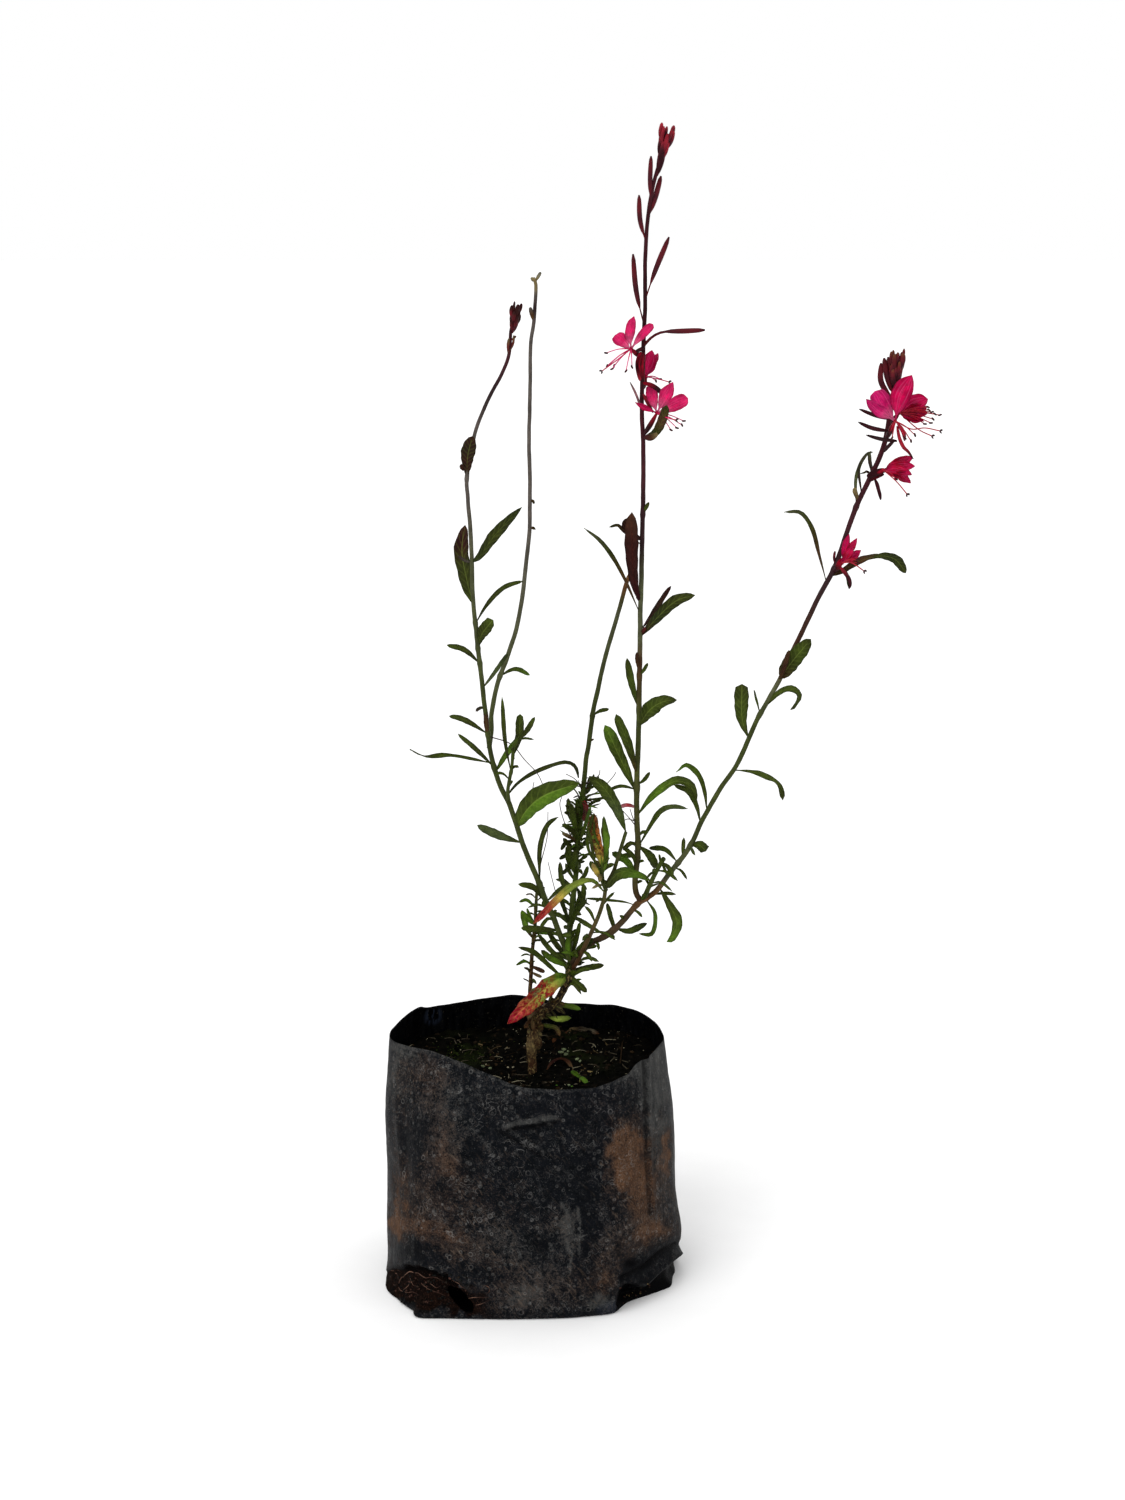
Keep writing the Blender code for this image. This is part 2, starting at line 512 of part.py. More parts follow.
def closed_curve(points):
    """A smooth closed curve through the points."""
    around = [*points[-2:], *points, *points[:3]]
    return smooth(around, 6)[12:-12]


def by_azimuth(curve):
    """Azimuths of a closed curve's points in rising order, with their radius and height."""
    rows = sorted((math.atan2(p.y, p.x), math.hypot(p.x, p.y), p.z) for p in curve)
    return [np.array(column) for column in zip(*rows)]


RIM = by_azimuth(closed_curve([seen(*point) for point in RIM_POINTS]))
BASE = by_azimuth(closed_curve([Vector((x * MM, y * MM, 0)) for x, y in BASE_POINTS]))


def looked_up(table, azimuth, column):
    return float(np.interp(azimuth, table[0], table[column], period=2 * math.pi))


def wall_point(azimuth, share, inset):
    """A point of the wall at a share of the way from base to rim, set in from the outside."""
    rim_radius = looked_up(RIM, azimuth, 1)
    base_radius = looked_up(BASE, azimuth, 1)
    height = looked_up(RIM, azimuth, 2) * share
    swell = BULGE * math.sin(math.pi * share)
    rounding = FOLD_RADIUS * max(0.0, 1 - height / FOLD_RADIUS) ** 2
    radius = base_radius + (rim_radius - base_radius) * share**1.5 + swell - rounding - inset
    return Vector((radius * math.cos(azimuth), radius * math.sin(azimuth), height))


AZIMUTHS = [2 * math.pi * side / WALL_SIDES for side in range(WALL_SIDES)]


def wall_ring(share, inset, lift=0.0):
    ring = [wall_point(azimuth, share, inset) for azimuth in AZIMUTHS]
    for point in ring:
        point.z = max(point.z, lift)
    return ring


def pole(height):
    return [Vector((0, 0, height))] * WALL_SIDES


def mix_height(x, y):
    return MIX_TOP + MIX_TILT * y + MIX_TILT_RIGHT * x


def make_bag():
    outer = [wall_ring(share, 0.0) for share in WALL_LEVELS]
    inner = [wall_ring(share, FILM, FILM) for share in reversed(WALL_LEVELS)]
    bag = solid("grow_bag", [pole(0.0), *outer, *inner, pole(FILM)], "black_film")
    middle = wall_point(HOLE_AZIMUTH, HOLE_HEIGHT / looked_up(RIM, HOLE_AZIMUTH, 2), 0.0)
    outward = Vector((math.cos(HOLE_AZIMUTH), math.sin(HOLE_AZIMUTH), 0.0))
    ends = [middle - outward * 8 * MM, middle + outward * 8 * MM]
    punch = tube("punch", ends, [HOLE_RADIUS, HOLE_RADIUS], 10, "black_film")
    level = Vector((-outward.y, outward.x, 0.0))
    long_way = level * math.cos(HOLE_LEAN) - Vector((0, 0, 1)) * math.sin(HOLE_LEAN)
    for vert in punch.data.vertices:
        vert.co += long_way * (vert.co - middle).dot(long_way) * (HOLE_STRETCH - 1)
    combined(bag, [punch], "DIFFERENCE")


def mix_edge(azimuth, inset):
    """Where the top of the mix meets the wall."""
    edge = wall_point(azimuth, 0.86, inset)
    for _ in range(4):
        share = mix_height(edge.x, edge.y) / looked_up(RIM, azimuth, 2)
        edge = wall_point(azimuth, share, inset)
    return edge


def make_mix():
    """The block of mix: it fills the bag, less the gap, and has sockets where stems are rooted."""
    inset = FILM + GAP * 1.5
    floor = FILM + GAP
    rings = [pole(floor)]
    rings += [wall_ring(share, inset, floor) for share in WALL_LEVELS if share < 0.8]
    rim_of_mix = [mix_edge(azimuth, inset) for azimuth in AZIMUTHS]
    for shrink in (1.0, 0.66, 0.33):
        inner = [edge * shrink for edge in rim_of_mix]
        rings.append([Vector((p.x, p.y, mix_height(p.x, p.y))) for p in inner])
    rings.append(pole(mix_height(0, 0)))
    block = solid("potting_mix", rings, "potting_mix")
    sockets = []
    for name in ("woody_base", "brown_stem"):
        foot, above = STEM_LINES[name][:2]
        upward = (above - foot).normalized()
        radius = STEMS[name].thick * MM + 1.3 * GAP
        sockets.append(tube("socket", [foot - upward * GAP, foot + upward * 2 * ROOTED_DEPTH],
                            [radius, radius], 12, "potting_mix"))
    combined(block, sockets, "DIFFERENCE")


def leaf_blade(name, leaf, line, finish_name):
    roll = math.radians(leaf.roll)
    return blade(name, line, leaf.width * MM, LEAF_THICKNESS, roll, LEAF_WIDTHS, finish_name)


# Stems with the small leaves, buds and flower tubes that are solid with them


def make_stem(name):
    stem = STEMS[name]
    line = STEM_LINES[name]
    radii = [radius_at(name, step / (len(line) - 1)) for step in range(len(line))]
    if stem.parent:
        radii[0] *= TAPERED_START
    body = tube(name, line, radii, 6, STEM_FINISH.get(name, "green_stem"))
    grown = []
    for leaf in SMALL_LEAVES:
        if leaf.stem == name:
            grown.append(leaf_blade("small_leaf", leaf, leaf_line(leaf), "green_leaf"))
    for flower in FLOWERS.values():
        if flower.stem == name:
            grown.append(flower_tube(flower))
    grown += [bud(name, *shape) for shape in BUD_CLUSTERS.get(name, ())]
    if grown:
        combined(body, grown, "UNION")


def bud(stem, across, down, width, reach):
    """One bud of a cluster: a spindle from the stem's tip."""
    tip_depth = STEMS[stem].points[-1][2]
    start = STEM_LINES[stem][-2]
    end = seen(across, down, tip_depth + reach)
    line = at_shares([start, end], (0.0, 0.3, 0.6, 0.85, 1.0))
    radii = [width * MM / 2 * share for share in (0.3, 0.8, 1.0, 0.7, 0.1)]
    return tube("bud", line, radii, 5, "burgundy_stem")


def throat_of(flower):
    return seen(*flower.throat, depth_on(flower.stem, *flower.root) + flower.back)


def flower_tube(flower):
    """The floral tube, from inside the stem to just short of the petals."""
    depth = depth_on(flower.stem, *flower.root)
    root = seen(*flower.root, depth)
    throat = throat_of(flower)
    end = throat + (root - throat).normalized() * (THROAT_RADIUS + GAP)
    line = at_shares([root, end], (0.0, 0.4, 1.0))
    return tube("tube", line, [0.9 * MM, 1.1 * MM, 0.8 * MM], 6, "burgundy_stem")


def make_leaf(name, leaf):
    line = away_from(leaf.stem, leaf_line(leaf), SEAT_STEP)
    leaf_blade(name, leaf, line, LEAF_FINISH.get(name, "green_leaf"))


def throat_bead(name, centre, finish_name):
    line = [centre - TOWARDS_EYE * THROAT_RADIUS, centre, centre + TOWARDS_EYE * THROAT_RADIUS]
    return tube(name, line, [THROAT_RADIUS * 0.5, THROAT_RADIUS, THROAT_RADIUS * 0.5], 6, finish_name)


def make_flower(name, flower):
    """The petals, joined at the throat, and in front of them the stamens with the style."""
    throat = throat_of(flower)
    depth = depth_on(flower.stem, *flower.root) + flower.back
    petals = throat_bead(name + "_petals", throat, "pink_petal")
    blades = []
    for across, down, width, reach in flower.petals:
        tip = seen(across, down, depth + reach)
        line = smooth([throat, (throat + tip) / 2 + TOWARDS_EYE * 0.6 * MM, tip], 4)
        blades.append(blade("petal", line, width * MM, PETAL_THICKNESS, 0.0, PETAL_WIDTHS, "pink_petal"))
    combined(petals, blades, "UNION")

    front = throat + TOWARDS_EYE * (2 * THROAT_RADIUS + GAP)
    stamens = throat_bead(name + "_stamens", front, "stamen")
    filaments = []
    for across, down in flower.stamens:
        tip = seen(across, down, depth - 7)
        line = smooth([front, (front + tip) / 2 + TOWARDS_EYE * 0.5 * MM, tip], 2)
        radii = [FILAMENT_RADIUS] * (len(line) - 1) + [FILAMENT_RADIUS * 2.2]
        filaments.append(tube("filament", line, radii, 4, "stamen"))
    combined(stamens, filaments, "UNION")


# What lies on the mix


def on_mix(point, lift):
    """The point moved up or down to stand this far above the mix."""
    return Vector((point.x, point.y, mix_height(point.x, point.y) + lift))


def make_litter():
    rest = LEAF_THICKNESS / 2 + GAP
    arch = (0.0, 3.0, 3.0, 0.0)
    line = smooth([on_mix(seen(*p), rest + rise * MM) for p, rise in zip(DEAD_LEAF, arch)], 4)
    blade("curled_dead_leaf", line, 3.0 * MM, LEAF_THICKNESS, 0.0, LEAF_WIDTHS, "dry_litter")
    chip = [on_mix(seen(*p), 1.2 * MM + GAP) for p in BARK_CHIP]
    tube("bark_chip", chip, [0.5 * MM, 1.2 * MM, 0.6 * MM], 6, "dry_litter")
    twig = smooth([on_mix(seen(*p), 0.5 * MM + GAP) for p in TWIG], 3)
    tube("dry_twig", twig, [0.5 * MM] * len(twig), 5, "dry_litter")


def make_seedling():
    foot = on_mix(seen(*SEEDLING[0]), GAP)
    top = foot + Vector((1.0, -0.5, 5.0)) * MM
    stalk = tube("seedling", [foot, (foot + top) / 2, top], [0.5 * MM, 0.4 * MM, 0.4 * MM], 5, "green_leaf")
    leaves = []
    for across, down, depth in SEEDLING[1:]:
        tip = seen(across, down, depth)
        tip.z = top.z + 0.8 * MM
        line = smooth([top, (top + tip) / 2, tip], 3)
        roll = math.radians(55)
        leaves.append(blade("seed_leaf", line, 3.2 * MM, LEAF_THICKNESS, roll, LEAF_WIDTHS, "green_leaf"))
    combined(stalk, leaves, "UNION")


for unwanted in list(bpy.data.objects):
    bpy.data.objects.remove(unwanted)

for stem_name, stem_shape in STEMS.items():
    rooted = stem_shape.parent is None
    STEM_LINES[stem_name] = rooted_line(stem_shape.points) if rooted else branch_line(stem_shape)

make_bag()
make_mix()
for stem_name in STEMS:
    make_stem(stem_name)
for leaf_name, leaf_shape in SEPARATE_LEAVES.items():
    make_leaf(leaf_name, leaf_shape)
for flower_name, flower_shape in FLOWERS.items():
    make_flower(flower_name, flower_shape)
make_litter()
make_seedling()
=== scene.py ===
# %% [markdown]
# # A pink gaura in a black film grow bag
# On the real object a young garden perennial, with wiry stems half a metre tall, narrow leaves and
# flowers like small pink butterflies, grows in a soft bag of black film filled with potting mix. All of
# it could be built from nothing here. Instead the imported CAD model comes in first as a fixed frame,
# because then every finer piece below has a true place and size, and stands for one CAD piece.

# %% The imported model
import json
import math
import random
from collections import namedtuple

import bmesh
import bpy
import numpy as np
from mathutils import Matrix, Vector, noise
from mathutils.bvhtree import BVHTree
from mathutils.geometry import intersect_point_line

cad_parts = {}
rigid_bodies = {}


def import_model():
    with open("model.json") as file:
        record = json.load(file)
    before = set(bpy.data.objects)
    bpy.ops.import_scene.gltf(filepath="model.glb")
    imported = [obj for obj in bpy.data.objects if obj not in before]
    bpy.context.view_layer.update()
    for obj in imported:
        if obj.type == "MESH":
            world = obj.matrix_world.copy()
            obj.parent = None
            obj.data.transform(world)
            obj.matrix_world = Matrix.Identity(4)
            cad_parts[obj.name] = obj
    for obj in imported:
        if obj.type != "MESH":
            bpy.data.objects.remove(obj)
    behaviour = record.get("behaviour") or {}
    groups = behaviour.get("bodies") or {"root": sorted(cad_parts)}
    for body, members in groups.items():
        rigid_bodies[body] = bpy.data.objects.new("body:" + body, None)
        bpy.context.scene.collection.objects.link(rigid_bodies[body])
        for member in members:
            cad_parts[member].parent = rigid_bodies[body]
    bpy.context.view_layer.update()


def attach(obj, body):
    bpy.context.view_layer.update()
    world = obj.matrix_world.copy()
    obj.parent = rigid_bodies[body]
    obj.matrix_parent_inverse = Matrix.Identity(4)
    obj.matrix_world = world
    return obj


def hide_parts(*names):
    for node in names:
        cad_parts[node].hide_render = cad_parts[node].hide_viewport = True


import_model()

# %% [markdown]
# ## The camera
# The plant is looked at from a little above, from about 1.2 m away, with a 60 mm lens. The camera
# could be moved by hand until the picture fits. Here it is set from the same few numbers as the CAD,
# because stems and leaves are then placed by the points at which they show in the front view, each
# with its depth behind the middle of the bag, and what is built always lines up with what is seen.

# %% The camera and the front view
MM = 0.001
EYE = Vector((0.015, -1.195, 0.551))
LOOK_DOWN = math.radians(13)
PICTURE_CENTRE = (562.5, 750.0)
LENS_IN_PIXELS = 2500.0
TOWARDS_EYE = Vector((0.0, -math.cos(LOOK_DOWN), math.sin(LOOK_DOWN)))

camera = bpy.data.objects.new("front_camera", bpy.data.cameras.new("front_camera"))
camera.data.lens = 60
camera.data.sensor_width = 36
camera.location = EYE
camera.rotation_euler = (math.radians(90) - LOOK_DOWN, 0, 0)
bpy.context.scene.collection.objects.link(camera)
bpy.context.scene.camera = camera


def seen(across, down, depth):
    """The point that shows at this picture point and lies this many millimetres behind the middle."""
    right = (across - PICTURE_CENTRE[0]) / LENS_IN_PIXELS
    rise = (PICTURE_CENTRE[1] - down) / LENS_IN_PIXELS
    ahead = math.cos(LOOK_DOWN) + rise * math.sin(LOOK_DOWN)
    upward = rise * math.cos(LOOK_DOWN) - math.sin(LOOK_DOWN)
    return EYE + Vector((right, ahead, upward)) * ((depth * MM - EYE.y) / ahead)


def shown(x, y, z):
    """The picture point at which a point in space shows."""
    ahead = (y - EYE.y) * math.cos(LOOK_DOWN) - (z - EYE.z) * math.sin(LOOK_DOWN)
    rise = (y - EYE.y) * math.sin(LOOK_DOWN) + (z - EYE.z) * math.cos(LOOK_DOWN)
    scale = LENS_IN_PIXELS / ahead
    return PICTURE_CENTRE[0] + scale * (x - EYE.x), PICTURE_CENTRE[1] - scale * rise


print("the middle of the base shows at", [round(v) for v in shown(0, 0, 0)])

# %% [markdown]
# ## Lines through the plant
# A stem or a leaf follows a line that bends smoothly through a few points. A curve object could hold
# that line. Short functions are used instead, because the same line then gives the tube its rings, the
# leaf its rows and the next branch its starting point.

# %% Smooth lines


def smooth(points, steps):
    """A polyline on the smooth curve that passes through the points."""
    path = [points[0] * 2 - points[1], *points, points[-1] * 2 - points[-2]]
    line = []
    for before, start, end, after in zip(path, path[1:], path[2:], path[3:]):
        for step in range(steps):
            t = step / steps
            bend = (before * 2 - start * 5 + end * 4 - after) * t * t
            twist = (start * 3 - before - end * 3 + after) * t**3
            line.append((start * 2 + (end - before) * t + bend + twist) / 2)
    return [*line, points[-1]]


def length_of(line):
    return sum((b - a).length for a, b in zip(line, line[1:]))


def at_shares(line, shares):
    """The points at these shares of the line's length."""
    travelled = np.concatenate([[0.0], np.cumsum([(b - a).length for a, b in zip(line, line[1:])])])
    wanted = np.array(shares) * travelled[-1]
    columns = [np.interp(wanted, travelled, [p[axis] for p in line]) for axis in range(3)]
    return [Vector(point) for point in zip(*columns)]


def directions(line):
    """The unit direction of the line at each of its points."""
    ahead = [*line[1:], line[-1] * 2 - line[-2]]
    behind = [line[0] * 2 - line[1], *line[:-1]]
    return [(a - b).normalized() for a, b in zip(ahead, behind)]


# %% [markdown]
# ## Colours by name
# Leaves, stems and petals change colour along their length: green to yellow to red on an old leaf,
# olive to burgundy on a stem. A separate material for each would be hard to keep in step. Here each
# piece carries its own colours in a vertex attribute, mixed from a small set of named colours, and one
# material per kind of skin adds the veins, the mottling and the gloss.

# %% The named colours


def linear(level):
    level /= 255
    return level / 12.92 if level <= 0.04045 else ((level + 0.055) / 1.055) ** 2.4


PALETTE = {name: Vector([linear(level) for level in levels]) for name, levels in {
    "deep": (31, 38, 14), "olive": (43, 48, 12), "mid": (54, 67, 16), "bright": (74, 104, 24),
    "lime": (112, 128, 48), "bluish": (62, 73, 40), "grey_olive": (76, 79, 55), "seed_green": (70, 104, 36),
    "moss": (30, 38, 13), "lichen": (112, 122, 92), "stem_green": (58, 66, 29), "stem_olive": (72, 68, 36),
    "maroon": (44, 17, 14), "burgundy": (64, 22, 31), "wine": (42, 8, 15), "plum": (47, 30, 33),
    "garnet": (96, 22, 32), "crimson": (158, 32, 50), "rust": (96, 64, 34), "salmon": (150, 84, 46),
    "orange": (176, 104, 42), "yellow": (168, 146, 62), "straw": (128, 112, 74), "tan": (92, 78, 52),
    "brown": (66, 40, 24), "dark_bark": (38, 28, 18), "bark_brown": (66, 52, 34), "grey": (82, 76, 72),
    "pale_pink": (214, 110, 150), "pink": (196, 26, 88), "hot_pink": (176, 0, 66), "deep_pink": (154, 0, 34),
    "mauve": (182, 18, 92), "blush": (176, 124, 134), "dark_soil": (2, 2, 2), "soil": (8, 7, 5),
    "soil_brown": (30, 23, 16), "root_brown": (62, 40, 33), "root_pale": (112, 84, 70),
    "pale_speck": (140, 134, 112), "dust_grey": (88, 82, 68),
}.items()}


def tinted(names, share):
    """The colour at a share of the way through a row of named colours."""
    place = min(max(share, 0.0), 1.0) * (len(names) - 1)
    index = min(int(place), max(len(names) - 2, 0))
    return PALETTE[names[index]].lerp(PALETTE[names[min(index + 1, len(names) - 1)]], place - index)


def through(*names):
    """The same as a function of the share alone, for a tube."""
    return lambda share: tinted(names, share)


print(len(PALETTE), "named colours")

# %% [markdown]
# ## Skins over rows of points
# Tubes, leaves, petals and the bag's wall are all one kind of surface: rows of points with faces
# between them. Each could be extruded ring by ring. A bmesh grid is laid over the rows instead,
# because the operator makes the faces and their UV map at once, and a rolled-up grid is a tube.

# %% Laying a skin over rows


def new_body():
    """An empty bmesh with the layers that every piece carries."""
    body = bmesh.new()
    body.loops.layers.uv.new("surface")
    body.verts.layers.float_color.new("tint")
    return body


def lay(body, rows, rolled, tint, finish_index=0):
    """Lays a grid over rows of points; tint(column share, row share) is its colour. Returns its faces."""
    points = len(rows[0])
    columns = points if rolled else points - 1
    last = len(rows) - 1
    layer = body.verts.layers.float_color["tint"]
    made = bmesh.ops.create_grid(body, x_segments=columns, y_segments=last, size=0.5, calc_uvs=True)["verts"]
    faces = {face for vert in made for face in vert.link_faces}
    for vert in made:
        column = round((vert.co.x + 0.5) * columns)
        row = round((vert.co.y + 0.5) * last)
        vert.co = rows[row][column % points]
        vert[layer] = (*tint(column / columns, row / last), 1.0)[:4]
    bmesh.ops.remove_doubles(body, verts=made, dist=1e-6)
    faces = [face for face in faces if face.is_valid]
    for face in faces:
        face.material_index = finish_index
    return faces


def tube(body, line, radii, sides, tint, finish_index=0):
    """A round skin along a line, closed at both ends."""
    side = directions(line)[0].orthogonal().normalized()
    rings = [[line[0]] * sides]
    for point, direction, radius in zip(line, directions(line), radii):
        side = (side - direction * side.dot(direction)).normalized()
        across = direction.cross(side)
        angles = [2 * math.pi * spoke / sides for spoke in range(sides)]
        rings.append([point + (side * math.cos(a) + across * math.sin(a)) * radius for a in angles])
    rings.append([line[-1]] * sides)
    return lay(body, rings, True, lambda column, row: tint(row), finish_index)


def finished(body, name, node, slot, *finishes):
    """Makes the bmesh a piece that rides with the plant and stands for one CAD piece."""
    bmesh.ops.recalc_face_normals(body, faces=body.faces)
    mesh = bpy.data.meshes.new(name)
    body.to_mesh(mesh)
    body.free()
    for finish in finishes:
        mesh.materials.append(finish)
    mesh.shade_smooth()
    piece = bpy.data.objects.new(name, mesh)
    bpy.context.scene.collection.objects.link(piece)
    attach(piece, "root")
    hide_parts(node)
    return piece


# %% [markdown]
# ## Building materials from nodes
# Every finish is mixed from noise, so that it has colour, gloss and relief that change over the
# surface. The nodes could be wired by hand in the editor. These short helpers wire them in code,
# because a finish then reads as a recipe, from its coordinates down to the shader.

# %% Placing nodes


def place(tree, kind, inputs, **settings):
    """Adds a node. Inputs are values or other nodes' outputs, by socket name or number."""
    node = tree.nodes.new("ShaderNode" + kind)
    for name, value in settings.items():
        setattr(node, name, value)
    for socket, value in inputs.items():
        if isinstance(value, bpy.types.NodeSocket):
            tree.links.new(value, node.inputs[socket])
        else:
            node.inputs[socket].default_value = value
    return node


def in_space(tree):
    """Coordinates in metres, the same for every piece, so that a grain runs on from one to the next."""
    return place(tree, "TexCoord", {}).outputs["Object"]


def on_surface(tree):
    """Coordinates across and along the skin."""
    return place(tree, "UVMap", {}, uv_map="surface").outputs[0]


def stretched(tree, where, scale):
    """Coordinates scaled by axis, so that a grain on them is drawn out into streaks."""
    return place(tree, "Mapping", {"Vector": where, "Scale": scale}).outputs[0]


def grain(tree, where, scale, detail=4.0, rough=0.55, distort=0.0):
    """A cloudy value around one half."""
    settings = {"Vector": where, "Scale": scale, "Detail": detail, "Roughness": rough, "Distortion": distort}
    return place(tree, "TexNoise", settings).outputs[0]


def spread(tree, value, low, high, start=0.0, end=1.0):
    """The value stretched so that low becomes start and high becomes end, and kept between them."""
    return place(tree, "MapRange", {0: value, 1: low, 2: high, 3: start, 4: end}).outputs[0]


def near(tree, where, spot, close, far, start, end):
    """A value that goes from start, close to a point, to end, far from it."""
    gap = place(tree, "VectorMath", {0: where, 1: tuple(spot)}, operation="DISTANCE").outputs["Value"]
    return spread(tree, gap, close, far, start, end)


def sum_up(tree, how, one, other):
    return place(tree, "Math", {0: one, 1: other}, operation=how).outputs[0]


def times(tree, one, other):
    return sum_up(tree, "MULTIPLY", one, other)


def plus(tree, one, other):
    return sum_up(tree, "ADD", one, other)


def apart(tree, one, other):
    """How far two values lie apart."""
    return sum_up(tree, "ABSOLUTE", sum_up(tree, "SUBTRACT", one, other), 0.0)


def blend(tree, amount, under, over, how="MIX"):
    """One colour laid over another by an amount."""
    return place(tree, "Mix", {0: amount, 6: under, 7: over}, data_type="RGBA", blend_type=how).outputs[2]


def colour(*levels):
    return (*[linear(level) for level in levels], 1.0)


def new_finish(name, **sockets):
    """A material whose plain values are set on its shader's own sockets."""
    material = bpy.data.materials.new(name)
    material.use_nodes = True
    shader = material.node_tree.nodes["Principled BSDF"]
    for socket, value in sockets.items():
        shader.inputs[socket.replace("_", " ")].default_value = value
    return material, material.node_tree, shader


def covered_with(tree, shader, skin, unevenness, smoothest, roughest):
    """Links a colour to the shader, and an uneven value to its roughness."""
    tree.links.new(skin, shader.inputs["Base Color"])
    tree.links.new(spread(tree, unevenness, 0.3, 0.7, smoothest, roughest), shader.inputs["Roughness"])


def relief(tree, shader, height, distance):
    """Feeds a height through a Bump node to the shader's normal."""
    bump = place(tree, "Bump", {"Height": height, "Distance": distance, "Strength": 1.0})
    tree.links.new(bump.outputs[0], shader.inputs["Normal"])


# %% [markdown]
# ## Effects that several finishes share
# Nothing on a living plant or a used bag is one even colour: everything is a little mottled. Each
# material could hold its own noise. One node group is made instead and placed in every finish that
# needs it, because then all of them age in the same way. A second group draws the midrib and the side
# veins of a leaf from its UV map, so that the veins follow the blade wherever it bends.

# %% The mottling group


def new_group(name, inputs, outputs):
    group = bpy.data.node_groups.new(name, "ShaderNodeTree")
    for socket, kind, value in inputs:
        made = group.interface.new_socket(socket, in_out="INPUT", socket_type="NodeSocket" + kind)
        if value is not None:
            made.default_value = value
    for socket, kind in outputs:
        group.interface.new_socket(socket, in_out="OUTPUT", socket_type="NodeSocket" + kind)
    return group, group.nodes.new("NodeGroupInput"), group.nodes.new("NodeGroupOutput")


mottling, given, result = new_group(
    "mottling",
    [("Vector", "Vector", None), ("Colour", "Color", None), ("Patch size", "Float", 60.0),
     ("Fleck size", "Float", 500.0)],
    [("Colour", "Color"), ("Flecks", "Float")],
)
patches = grain(mottling, given.outputs["Vector"], given.outputs["Patch size"], 3.0)
flecks = grain(mottling, given.outputs["Vector"], given.outputs["Fleck size"], 5.0, 0.65)
darker = blend(mottling, spread(mottling, patches, 0.35, 0.65, 0.0, 0.45), given.outputs["Colour"],
               colour(96, 96, 90), "MULTIPLY")
lighter = blend(mottling, spread(mottling, flecks, 0.48, 0.75), darker, (1.55, 1.5, 1.4, 1.0), "MULTIPLY")
mottling.links.new(lighter, result.inputs["Colour"])
mottling.links.new(flecks, result.inputs["Flecks"])
print("mottling group with", len(mottling.nodes), "nodes")

# %% A skin in the piece's own colours


def own_skin(name, shine, patch_size, fleck_size):
    """A material that mottles the colours the piece carries, with the parts a recipe goes on from."""
    material, tree, shader = new_finish(name, Specular_IOR_Level=shine)
    where = in_space(tree)
    own = place(tree, "Attribute", {}, attribute_name="tint").outputs["Color"]
    inputs = {"Vector": where, "Colour": own, "Patch size": patch_size, "Fleck size": fleck_size}
    skin, flecks = place(tree, "Group", inputs, node_tree=mottling).outputs
    return material, tree, shader, where, skin, flecks


# %% The vein group
veins, given, result = new_group(
    "leaf_veins",
    [("UV", "Vector", None), ("Pairs", "Float", 11.0)],
    [("Midrib", "Float"), ("Side veins", "Float")],
)
split = place(veins, "SeparateXYZ", {0: given.outputs["UV"]})
wander = grain(veins, given.outputs["UV"], 9.0, 2.0)
off_middle = apart(veins, split.outputs[0], 0.5)
midrib = spread(veins, off_middle, 0.03, 0.11, 1.0, 0.0)
slant = sum_up(veins, "SUBTRACT", split.outputs[1], times(veins, off_middle, 0.34))
slant = plus(veins, slant, times(veins, wander, 0.05))
step = sum_up(veins, "FRACT", times(veins, slant, given.outputs["Pairs"]), 0.0)
off_vein = apart(veins, step, 0.5)
veins.links.new(midrib, result.inputs["Midrib"])
veins.links.new(spread(veins, off_vein, 0.04, 0.2, 1.0, 0.0), result.inputs["Side veins"])


def vein_masks(tree, pairs):
    """The vein group placed in a material, reading the piece's own UV map."""
    return place(tree, "Group", {"UV": on_surface(tree), "Pairs": pairs}, node_tree=veins).outputs


print("vein group with", len(veins.nodes), "nodes")

# %% [markdown]
# ## The bag's shape
# The bag is one film tube with a flat folded base. Filled, it stands like a soft cylinder that swells a
# little and is nearly as wide at the rim as at the base. A cloth simulation could fill it, but the
# folds that show would not land where they are. So the wall is a grid between the rim's real outline
# and the base's, closer at the front, and each crease, tuck and dent is pressed into it where it shows.

# %% Rim and base outlines
FILM = 0.4 * MM
FOLD_RADIUS = 1.6 * MM
BULGE = 2.0 * MM
FOOT_RISE = 16 * MM
RIM_POINTS = (
    (664, 1037, 4), (657, 1024, 20), (644, 1014, 34), (621, 1006, 44), (590, 1004, 49), (559, 1002, 51),
    (527, 996, 52), (509, 995, 52), (467, 1001, 49), (430, 1007, 43), (419, 1007, 37), (402, 1019, 23),
    (390, 1032, 6), (393, 1041, -8), (412, 1047, -20), (437, 1053, -30), (460, 1062, -37), (483, 1072, -43),
    (518, 1086, -50), (541, 1089, -52), (582, 1089, -52), (610, 1083, -47), (630, 1069, -38), (646, 1059, -27),
    (660, 1045, -9),
)
BASE_POINTS = (
    (73, 0), (71, 22), (62, 42), (45, 53), (20, 56), (-20, 56), (-48, 52), (-66, 38), (-73, 15), (-74, -8),
    (-68, -32), (-55, -51), (-30, -56), (10, -57), (38, -55), (55, -42), (70, -19),
)
FOOT_POINTS = (  # the fold along the ground, with its two tucked corners
    (74, 0), (71, 22), (62, 42), (45, 53), (20, 56), (-20, 56), (-48, 52), (-66, 38), (-73, 15), (-75.5, -5),
    (-75.5, -20), (-73, -28.5), (-68, -36), (-63.5, -43.5), (-59.5, -49), (-57, -56), (-43, -57), (-14, -58),
    (14, -57), (29, -54.5), (41, -51), (45.5, -44), (50, -37.5), (60.5, -29.5), (69.5, -22), (71.5, -19),
    (72.5, -9),
)


